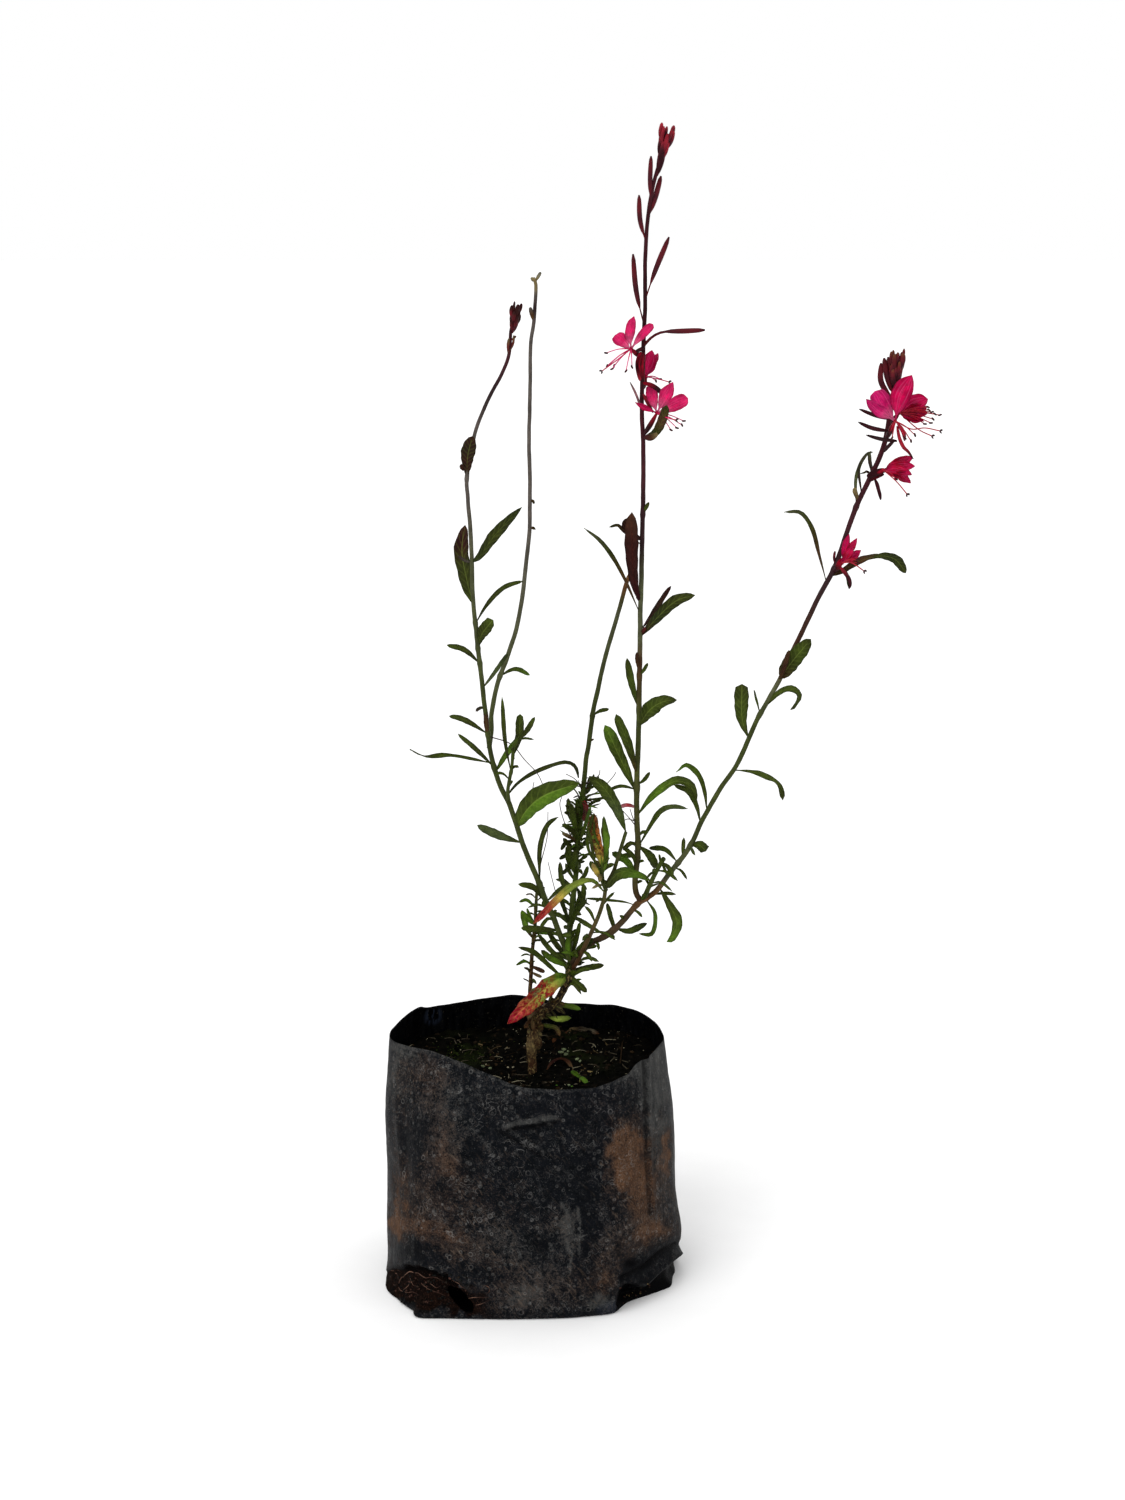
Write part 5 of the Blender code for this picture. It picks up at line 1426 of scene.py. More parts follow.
def stem_colour(name, point):
    """The colour of a stem at a point of it."""
    rows = STEM_COLOURS[name]
    down = min(max(shown(*point)[1], rows[-1][0]), rows[0][0])
    for (low, under), (high, over) in zip(rows, rows[1:]):
        if high <= down:
            return PALETTE[under].lerp(PALETTE[over], (low - down) / (low - high))
    return PALETTE[rows[-1][1]]


# %% [markdown]
# ## Small leaves that grow with the stems
# Many leaves are joined to their stem in the CAD, so they are part of its finer piece too. They could
# be left out at this size, but the tuft round the middle of the plant is made of them. The larger of
# them follow the photograph one by one; the tiny ones round the middle stem wind up it in a spiral, as
# leaves do on a real shoot.

# %% The small leaves by stem
SMALL_LEAVES = {  # stem: (picture points, width in mm, reach in mm, roll in degrees)
    "woody_base": (
        (((571, 966), (553, 952), (538, 934)), 3.0, 9, 15),
        (((567, 982), (550, 966), (534, 952), (518, 947)), 3.0, -6, 15),
        (((570, 974), (577, 983), (587, 992)), 3.4, -4, 10), (((571, 970), (586, 968), (604, 965)), 3.4, 8, 15),
        (((548, 1007), (562, 1005), (581, 1009)), 3.0, 8, 15),
        (((542, 1013), (556, 1019), (571, 1018)), 3.8, -4, 10),
    ),
    "right_stem": (
        (((614, 931), (611, 918), (607, 903)), 2.6, 9, 10), (((606, 936), (590, 926), (575, 917)), 2.6, 7, 10),
        (((616, 929), (630, 931), (647, 923)), 3.6, 9, 10), (((636, 905), (620, 901), (585, 898)), 1.8, 10, 25),
        (((646, 899), (655, 914), (652, 933), (639, 934)), 2.6, 12, 20),
        (((678, 863), (665, 849), (649, 848)), 3.0, 12, 15),
        (((691, 845), (699, 845), (706, 851)), 5.0, -6, 20), (((760, 714), (757, 702), (754, 690)), 2.0, 4, 10),
        (((857, 507), (856, 478), (863, 459), (871, 451)), 1.8, 5, 20),
        (((834, 569), (846, 573), (849, 588)), 1.8, -5, 10),
    ),
    "centre_stem": (
        (((638, 785), (644, 780), (650, 772)), 2.2, -4, 10),
        (((637, 790), (622, 786), (608, 790)), 1.8, -9, 10), (((638, 845), (650, 856), (656, 868)), 4.6, 7, 10),
        (((637, 858), (628, 855), (617, 860)), 3.6, 9, 15), (((639, 710), (632, 684), (627, 658)), 2.6, 6, 10),
        (((640, 676), (644, 670), (648, 663)), 2.0, -3, 10),
        (((643, 514), (646, 508), (649, 502)), 2.0, -3, 10),
    ),
    "left_stem": (
        (((474, 624), (486, 606), (503, 588), (523, 581)), 1.8, 8, 15),
        (((477, 648), (482, 634), (493, 620)), 4.8, -5, 10),
        (((479, 664), (465, 650), (447, 645)), 2.8, -6, 10), (((487, 734), (465, 720), (449, 716)), 2.2, 6, 10),
        (((492, 768), (477, 750), (458, 734)), 2.6, 7, 10),
        (((539, 884), (540, 848), (547, 826), (558, 817)), 2.8, -9, 15),
        (((547, 905), (535, 888), (518, 884)), 3.4, -5, 10),
        (((468, 478), (468, 455), (473, 436)), 5.0, -5, 10),
    ),
    "whip_stem": ((((500, 676), (515, 669), (530, 675)), 2.4, 6, 10),),
    "middle_stem": (
        (((578, 850), (571, 856), (576, 870)), 3.4, 6, 10), (((574, 884), (580, 898), (571, 914)), 3.4, 8, 10),
        (((583, 796), (588, 790), (591, 776)), 3.0, 5, 10), (((592, 716), (600, 711), (609, 709)), 2.2, 4, 10),
        (((571, 926), (560, 915), (548, 914)), 2.8, 8, 10), (((573, 900), (562, 880), (560, 862)), 2.8, 9, 10),
        (((579, 832), (570, 815), (568, 798)), 2.8, 9, 10),
    ),
    "brown_stem": (
        (((536, 908), (527, 900), (519, 902)), 1.9, -4, 10), (((533, 940), (526, 926), (522, 910)), 3.2, 6, 10),
        (((534, 934), (544, 932), (553, 933)), 3.0, 8, 10), (((532, 964), (524, 961), (516, 965)), 1.9, -3, 10),
    ),
    "old_leaf_shoot": (
        (((602, 868), (607, 842), (604, 816)), 3.8, -10, 10),
        (((602, 878), (596, 870), (590, 861)), 3.6, -4, 10),
    ),
    "stub_shoot": ((((662, 862), (669, 868), (673, 876)), 2.6, -4, 10),),
    "left_side_shoot": (
        (((511, 772), (505, 740), (502, 697)), 2.6, -7, 10), (((513, 756), (519, 736), (520, 714)), 3.6, 5, 10),
        (((516, 742), (526, 732), (535, 717)), 2.8, -4, 10),
    ),
}
SMALL_LOOKS = {
    "woody_base": ("olive", "mid", "olive"), "right_stem": ("olive", "mid", "deep"),
    "centre_stem": ("olive", "mid", "olive"), "left_stem": ("deep", "olive", "mid"),
    "whip_stem": ("olive", "mid", "bright"), "middle_stem": ("deep", "mid", "olive"),
    "brown_stem": ("olive", "bright", "mid"), "old_leaf_shoot": ("mid", "bright", "olive"),
    "stub_shoot": ("olive", "mid"), "left_side_shoot": ("deep", "olive", "mid"), "short_stem": ("olive", "mid"),
}
print(sum(map(len, SMALL_LEAVES.values())), "small leaves")

# %% The tiny leaves that wind up a stem
Tuft = namedtuple("Tuft", "stem low high count long wide names")
TUFTS = (
    Tuft("middle_stem", 0.02, 0.27, 20, 13.0, 2.6, ("mid", "olive", "bright")),
    Tuft("middle_stem", 0.24, 0.32, 22, 7.5, 1.8, ("olive", "mid", "bright")),
    Tuft("middle_stem", 0.3, 0.41, 60, 10.5, 1.0, ("mid", "bright", "olive", "grey_olive")),
    Tuft("middle_stem", 0.34, 0.46, 40, 5.5, 0.8, ("brown", "grey_olive", "deep")),
    Tuft("woody_base", 0.76, 0.98, 16, 12.0, 2.8, ("mid", "olive", "bright")),
    Tuft("woody_base", 0.38, 0.66, 40, 6.5, 2.6, ("dark_bark", "brown", "tan")),
    Tuft("brown_stem", 0.5, 1.0, 30, 6.0, 1.2, ("olive", "brown", "mid")),
    Tuft("left_stem", 0.02, 0.13, 9, 10.0, 2.4, ("mid", "olive")),
    Tuft("right_stem", 0.03, 0.27, 13, 10.0, 2.4, ("mid", "olive", "bright")),
    Tuft("centre_stem", 0.02, 0.1, 6, 9.0, 2.2, ("olive", "mid")),
    Tuft("short_stem", 0.05, 0.6, 10, 10.0, 2.2, ("mid", "olive", "bright")),
    Tuft("stub_shoot", 0.2, 1.0, 8, 9.0, 2.2, ("mid", "olive")),
    Tuft("old_leaf_shoot", 0.0, 0.7, 8, 9.0, 2.0, ("olive", "straw", "mid")),
    Tuft("left_side_shoot", 0.2, 1.0, 6, 8.0, 1.8, ("olive", "mid")),
)
GOLDEN_ANGLE = 2.4
grow = random.Random(5)


def tuft(body, plan, finish_index):
    """Tiny leaves that wind up a stretch of a stem."""
    path = ROUTES[plan.stem]
    ways = directions(path)
    for index in range(plan.count):
        share = plan.low + (plan.high - plan.low) * (index + 0.5) / plan.count
        nearest = round(share * (len(path) - 1))
        at, up = path[nearest], ways[nearest]
        side = up.orthogonal().normalized()
        angle = index * GOLDEN_ANGLE + grow.uniform(-0.5, 0.5)
        out = side * math.cos(angle) + up.cross(side) * math.sin(angle)
        long = plan.long * MM * grow.uniform(0.5, 1.3)
        rise = grow.uniform(0.3, 1.3)
        middle = at + (out * 0.5 + up * rise * 0.6).normalized() * long * 0.5
        tip = middle + (out + up * rise * grow.uniform(0.2, 1.4)).normalized() * long * 0.5
        tip.z -= long * grow.uniform(0.0, 0.35)
        first = grow.randrange(len(plan.names))
        looks = Looks((plan.names[0], plan.names[first]), fold=0.3, wave=0.1, full=1.3)
        width = plan.wide * MM * grow.uniform(0.6, 1.2)
        blade(body, smooth([at, middle, tip], 3), width, grow.uniform(-0.9, 0.9), looks, finish_index,
              stalk=0.25 * MM, mesh=TINY)


print(sum(plan.count for plan in TUFTS), "tiny leaves")

# %% [markdown]
# ## Buds and flower stalks
# Gaura opens a few flowers at a time on a long wand. Above them sit the closed buds: slim spindles, each
# on a short stalk, crowded at the tip like an ear of wheat. They could be copies of one bud, but each
# leans and swells differently. A tube along a line, thin for its stalk and then swelling, makes each.

# %% The bud spindle


def bud(body, line, width, stalk_share, names, finish_index, stalk=0.4 * MM):
    """A stalk that swells into a blunt bud."""
    shares = np.linspace(0, 1, 13)
    radii = []
    for share in shares:
        inside = max(share - stalk_share, 0) / (1 - stalk_share)
        swell = max(breadth(inside, 0.5, 0.55), 0.3 * (share > 0.95)) if inside > 0 else 0
        radii.append(max(width / 2 * swell, stalk * (1 - share * 0.4)))
    tube(body, at_shares(line, shares), radii, 7, through(*names), finish_index)


WINE_BUD = ("maroon", "garnet", "burgundy", "garnet", "wine")
LONG_BUDS = {  # stem: (picture points, width in mm, share that is stalk, reach in mm)
    "centre_stem": (
        (((652, 200), (650, 180), (651, 156)), 2.1, 0.15, -3),
        (((649, 218), (655, 198), (661, 176)), 2.4, 0.15, 4),
        (((646, 242), (640, 220), (639, 195)), 2.2, 0.2, -4),
        (((646, 300), (655, 271), (669, 237)), 2.4, 0.3, -6),
        (((644, 326), (636, 290), (633, 254)), 2.4, 0.25, 4),
        (((644, 346), (652, 337), (663, 332), (684, 331), (705, 330)), 2.3, 0.42, -6),
    ),
    "right_stem": (
        (((885, 399), (881, 382), (881, 363)), 2.5, 0.1, -2),
        (((889, 394), (887, 376), (884, 358)), 2.7, 0.1, 3),
        (((893, 386), (891, 372), (888, 357)), 2.4, 0.1, 5),
        (((835, 566), (834, 558), (835, 551)), 1.2, 0.3, -2),
    ),
    "left_stem": (
        (((511, 341), (514, 338), (516, 336)), 1.0, 0.3, -2),
        (((513, 330), (515, 327), (515, 322)), 1.4, 0.1, -3),
    ),
}
print(sum(map(len, LONG_BUDS.values())), "long buds")

# %% The ears of crowded buds
Ear = namedtuple("Ear", "foot tip half_width count width names flare")  # flare 1: widest at the top
EARS = {  # the crowded buds at a stem's tip, as picture points
    "centre_stem": Ear((657, 176), (669, 121), 7.0, 19, 2.3, ("burgundy", "wine", "burgundy", "crimson"), 1.0),
    "right_stem": Ear(
        (895, 392), (898, 347), 7.0, 22, 2.7, ("wine", "garnet", "wine", "burgundy", "garnet", "rust"), 0.5,
    ),
    "left_stem": Ear(
        (512, 333), (518, 301), 5.4, 15, 2.1, ("garnet", "burgundy", "garnet", "maroon", "wine"), 0.5,
    ),
}


def ear(body, stem, plan, finish_index):
    """Buds that crowd round the tip of a stem."""
    depth = STEMS[stem].points[-1][2]
    foot, tip = seen(*plan.foot, depth), seen(*plan.tip, depth)
    axis = tip - foot
    side = axis.cross(TOWARDS_EYE).normalized()
    face = side.cross(axis).normalized()
    for index in range(plan.count):
        share = index / plan.count
        angle = index * GOLDEN_ANGLE
        swell = math.sin(math.pi * (0.25 + 0.6 * share)) * (1 - plan.flare) + (0.3 + 0.85 * share) * plan.flare
        spread_out = plan.half_width * 0.46 * MM * swell * grow.uniform(0.7, 1.2)
        out = side * math.cos(angle) + face * math.sin(angle)
        start = foot + axis * share * 0.62
        end = start + axis * (0.5 - 0.12 * share) * grow.uniform(0.85, 1.1) + out * spread_out
        end = end if (end - foot).length < axis.length * 1.02 else tip + out * spread_out * 0.7
        bend = (start + end) / 2 + out * spread_out * 0.35
        width = plan.width * MM * grow.uniform(0.6, 1.1)
        bud(body, smooth([start, bend, end], 4), width, 0.06, plan.names[index % 3:], finish_index)


print(sum(plan.count for plan in EARS.values()), "crowded buds")

# %% [markdown]
# ## Flowers
# A gaura flower has four clawed petals that spread upwards like a butterfly, eight long stamens and a
# four-lobed style that hang below, and four dark sepals bent back. The petals could be flat shapes;
# here each is the same blade as a leaf, broadest near its tip and cupped, because that catches light
# along its folds as real petals do. The stamens are hair-thin tubes with a spindle for each anther.

# %% The flower finishes
petal_skin, tree, shader, _, skin, flecks = own_skin("silky_pink_petal", 0.04, 260.0, 1500.0)
rays = stretched(tree, on_surface(tree), (15.0, 1.2, 1.0))
ray_lines = spread(tree, grain(tree, rays, 1.0, 1.0, 0.4, 0.4), 0.52, 0.62)
skin = blend(tree, spread(tree, ray_lines, 0.0, 1.0, 0.0, 0.3), skin, colour(222, 84, 140))
# painted shade: darker streaks along the petal's folds
fold_shade = spread(tree, grain(tree, rays, 0.7, 2.0, 0.5, 0.3), 0.55, 0.72, 0.0, 0.6)
skin = blend(tree, fold_shade, skin, colour(104, 0, 34))
covered_with(tree, shader, skin, flecks, 0.42, 0.62)
relief(tree, shader, plus(tree, ray_lines, flecks), 0.00008)

filament_skin, tree, shader, _, skin, flecks = own_skin("pale_filament", 0.12, 400.0, 2200.0)
covered_with(tree, shader, skin, flecks, 0.45, 0.65)
relief(tree, shader, flecks, 0.00005)
print("petal and filament finishes")

# %% The flowers' places
Flower = namedtuple("Flower", "stem root throat back petals stamens styles sepals")
PINK, HOT = ("pale_pink", "pink", "pink"), ("pink", "hot_pink", "hot_pink")
DEEP = ("hot_pink", "deep_pink", "hot_pink")
MAUVE = ("pale_pink", "mauve", "mauve")
SEPAL = ("wine", "burgundy", "wine")
THREADS = {"centre_stem": ("hot_pink", "pink", "pale_pink", "pink"),
           "right_stem": ("crimson", "crimson", "deep_pink", "crimson")}
ROUND, KITE, LONG = (0.66, 1.1), (0.52, 1.95), (0.42, 1.3)
# petals: (points after the throat, width mm, reach mm, roll in degrees, colours, outline); stamens: tips;
# styles: points after the throat; sepals: (points, width mm, colours) with no need to start at the throat
FLOWERS = {
    "flower_1": Flower("centre_stem", (643, 357), (631, 349), -7, (
        (((624, 344), (615, 335)), 6.9, 2, -12, PINK, ROUND),
        (((630, 334), (634, 316)), 5.4, 4, 10, PINK, KITE), (((641, 336), (653, 324)), 4.5, 1, -15, PINK, ROUND),
    ), ((606, 353), (607, 366), (609, 365), (612, 369), (614, 366), (626, 371), (632, 367)),
        (((617, 360), (602, 371)),), (
        (((641, 352), (638, 364), (640, 381)), 3.0, ("deep_pink", "wine", "crimson")),
        (((644, 352), (641, 364), (643, 380)), 2.8, ("wine", "deep_pink", "wine")),
        (((636, 351), (640, 350), (644, 347)), 2.2, SEPAL),
    )),
    "flower_2": Flower("centre_stem", (642, 390), (646, 377), 7, (
        (((649, 364), (652, 350)), 6.2, 3, -10, HOT, KITE), (((652, 366), (658, 353)), 5.4, 5, 25, HOT, LONG),
        (((643, 366), (641, 352)), 4.0, 5, 20, DEEP, LONG),
    ), ((656, 381), (660, 379)), (((658, 379), (669, 382)),), (
        (((643, 374), (640, 364), (641, 354)), 2.2, SEPAL),
    )),
    "flower_3": Flower("centre_stem", (643, 436), (657, 413), -9, (
        (((653, 400), (651, 385)), 6.2, 5, 5, PINK, ROUND), (((665, 398), (673, 382)), 6.8, 2, 8, PINK, KITE),
        (((672, 406), (688, 398)), 7.4, -2, -8, PINK, ROUND),
        (((646, 408), (635, 402)), 3.2, -4, 30, HOT, KITE),
    ), ((682, 425), (677, 428), (671, 430), (684, 421)), (((668, 418), (676, 420)),), (
        (((643, 383), (652, 386), (659, 391), (665, 398)), 2.8, ("deep_pink", "wine", "plum")),
        (((643, 394), (648, 404), (653, 413)), 2.2, ("crimson", "wine")),
        (((644, 437), (651, 438), (658, 433)), 3.2, ("burgundy", "brown", "straw")),
        (((641, 408), (636, 394), (630, 382)), 1.4, ("plum", "blush", "grey")),
    )),
    "flower_4": Flower("right_stem", (884, 440), (895, 421), -9, (
        (((884, 407), (875, 391)), 9.4, 2, -10, MAUVE, ROUND),
        (((879, 410), (866, 399)), 6.4, -3, 30, MAUVE, KITE), (((900, 398), (912, 375)), 10.2, 2, 6, HOT, KITE),
    ), ((905, 438), (892, 438), (890, 433), (911, 441), (915, 435)), (((911, 429), (925, 428), (940, 431)),), (
        (((888, 419), (874, 415), (859, 409)), 2.1, SEPAL), (((888, 431), (872, 428), (858, 422)), 2.3, SEPAL),
        (((897, 441), (881, 439), (866, 435)), 2.1, ("wine", "plum", "wine")),
        (((897, 426), (899, 438), (903, 447), (908, 452), (913, 459)), 2.1, ("crimson", "crimson", "wine")),
        (((884, 452), (888, 447), (895, 440)), 2.0, ("plum", "wine")),
        (((898, 424), (903, 432), (905, 441)), 2.0, ("hot_pink", "crimson", "wine")),
    )),
    "flower_5": Flower("right_stem", (888, 424), (899, 413), 6, (
        (((914, 404), (928, 399)), 9.2, 3, 12, HOT, KITE), (((914, 411), (927, 407)), 7.4, 0, -20, DEEP, KITE),
        (((912, 415), (928, 413)), 6.4, -3, 10, DEEP, LONG),
        (((910, 419), (924, 421)), 5.2, -4, 25, DEEP, KITE),
    ), ((929, 410), (932, 412), (935, 414), (931, 423), (933, 419), (940, 415), (928, 407), (925, 424)),
        (((918, 429), (932, 436)),), ()),
    "flower_6": Flower("right_stem", (871, 478), (883, 470), -6, (
        (((897, 464), (913, 457)), 6.0, 2, -20, DEEP, LONG), (((899, 467), (915, 466)), 6.0, -2, 5, DEEP, LONG),
        (((897, 474), (911, 483)), 6.4, 1, 18, DEEP, LONG), (((898, 470), (912, 475)), 5.4, -3, 0, DEEP, LONG),
    ), ((896, 479),), (((896, 481), (907, 494)),), (
        (((875, 479), (878, 488), (881, 500)), 1.9, SEPAL),
        (((867, 477), (876, 473), (886, 470)), 3.6, ("wine", "wine", "garnet")),
        (((869, 481), (876, 477), (884, 474)), 2.2, ("wine", "garnet", "wine")),
    )),
    "flower_7": Flower("right_stem", (834, 572), (842, 563), -6, (
        (((845, 548), (849, 534)), 3.6, 2, 0, HOT, KITE), (((850, 550), (857, 538)), 3.8, 0, 10, DEEP, KITE),
        (((852, 557), (861, 550)), 3.8, 3, -10, HOT, KITE), (((847, 556), (853, 547)), 4.4, -2, 0, DEEP, KITE),
    ), ((857, 560), (859, 558), (858, 563)), (((852, 563), (864, 571)),), (
        (((840, 567), (843, 571), (848, 578), (850, 584), (849, 589)), 2.4, ("crimson", "burgundy", "wine")),
        (((836, 568), (841, 562), (846, 557)), 3.0, ("wine", "deep_pink", "wine")),
    )),
}
print(len(FLOWERS), "flowers with", sum(len(f.petals) for f in FLOWERS.values()), "petals")

# %% Petals, sepals and the floral tube


FIRST, SECOND = 0, 1  # the places of a flower piece's two finishes


def depth_of(flower):
    return depth_on(flower.stem, *flower.root) + flower.back


def throat_of(flower):
    return seen(*flower.throat, depth_of(flower))


def bloom(body, flower):
    """The petals and sepals of a flower, with the tube that holds them."""
    depth = depth_of(flower)
    throat = throat_of(flower)
    for points, width, reach, roll, names, (broad, full) in flower.petals:
        last = len(points)
        line = [throat] + [seen(*point, depth + reach * (step + 1) / last) for step, point in enumerate(points)]
        line[1] = line[1] + TOWARDS_EYE * 0.8 * MM
        looks = Looks(names, fold=0.35, wave=0.2, twist=0.3, broad=broad, full=full, teeth=0.02, claw=0.12)
        blade(body, smooth(line, 6), width * MM, math.radians(roll), looks, FIRST, 0.16 * MM, 0.6 * MM)
    for points, width, names in flower.sepals:
        line = smooth([seen(*point, depth + 1.5) for point in points], 6)
        looks = Looks(names, fold=0.5, wave=0.1, broad=0.45, full=0.8, teeth=0.0)
        blade(body, line, width * MM, 0.2, looks, SECOND, 0.3 * MM, 0.5 * MM)
    swelling = [throat - TOWARDS_EYE * 0.9 * MM, throat, throat + TOWARDS_EYE * 0.8 * MM]
    tube(body, swelling, [0.5 * MM, 1.0 * MM, 0.6 * MM], 8, through("wine", "deep_pink"), SECOND)


# %% Stamens and style
LOBE = ((0.5, 0.55), (0.8, 1.1))  # how far a lobe of the style leans ahead, and its length in mm


def stamen(body, start, tip, index, names):
    """One filament with its anther across its end."""
    bend = (start + tip) / 2 + TOWARDS_EYE * 1.2 * MM + Vector((0, 0, 0.6 * MM))
    line = smooth([start, bend, tip], 6)
    tube(body, line, [0.33 * MM - 0.006 * MM * i for i in range(len(line))], 5, through(*names))
    way = (line[-1] - line[-3]).normalized()
    lean = (way + way.orthogonal() * (index % 2 - 0.5)).normalized()
    anther = [tip + lean * MM * s for s in (-1.0, -0.6, 0, 0.6, 1.0)]
    radii = [r * MM for r in (0.2, 0.46, 0.5, 0.46, 0.2)]
    tube(body, anther, radii, 6, through("wine", "burgundy", "brown"), SECOND)


def style(body, line, names):
    """The longer style, with its cross of four lobes."""
    tube(body, line, [0.3 * MM] * len(line), 5, through(*names[:2], "crimson"))
    way = (line[-1] - line[-3]).normalized()
    side = way.orthogonal().normalized()
    for quarter in range(4):
        angle = math.pi / 2 * quarter
        out = side * math.cos(angle) + way.cross(side) * math.sin(angle)
        lobe = [line[-1], *(line[-1] + (out + way * ahead) * length * MM for ahead, length in LOBE)]
        tube(body, lobe, [0.3 * MM, 0.42 * MM, 0.3 * MM], 5, through("burgundy", "wine"), SECOND)


def stamens(body, flower):
    """All the stamens of a flower that show, and its style."""
    depth = depth_of(flower)
    start = throat_of(flower) + TOWARDS_EYE * 0.6 * MM
    for index, tip in enumerate(flower.stamens):
        stamen(body, start, seen(*tip, depth - 6 + index % 3), index, THREADS[flower.stem])
    for points in flower.styles:
        style(body, smooth([start] + [seen(*point, depth - 7) for point in points], 6), THREADS[flower.stem])


# %% Two pieces for each flower
for name, flower in FLOWERS.items():
    body = new_body()
    bloom(body, flower)
    finished(body, f"{name}_bloom", f"{name}_petals", "pink_petal", petal_skin, bud_skin)
    body = new_body()
    stamens(body, flower)
    finished(body, f"{name}_filaments", f"{name}_stamens", "stamen", filament_skin, bud_skin)
print(2 * len(FLOWERS), "pieces for", len(FLOWERS), "flowers")

# %% [markdown]
# ## Growing the stems
# With leaves, buds and stalks ready, each stem is skinned in one go: a tube that swells a little at
# every node where a leaf sits, its small leaves, the stalks of its flowers and its buds. They could be
# separate objects, but on the real plant they are one growth, and the CAD holds them as one piece.

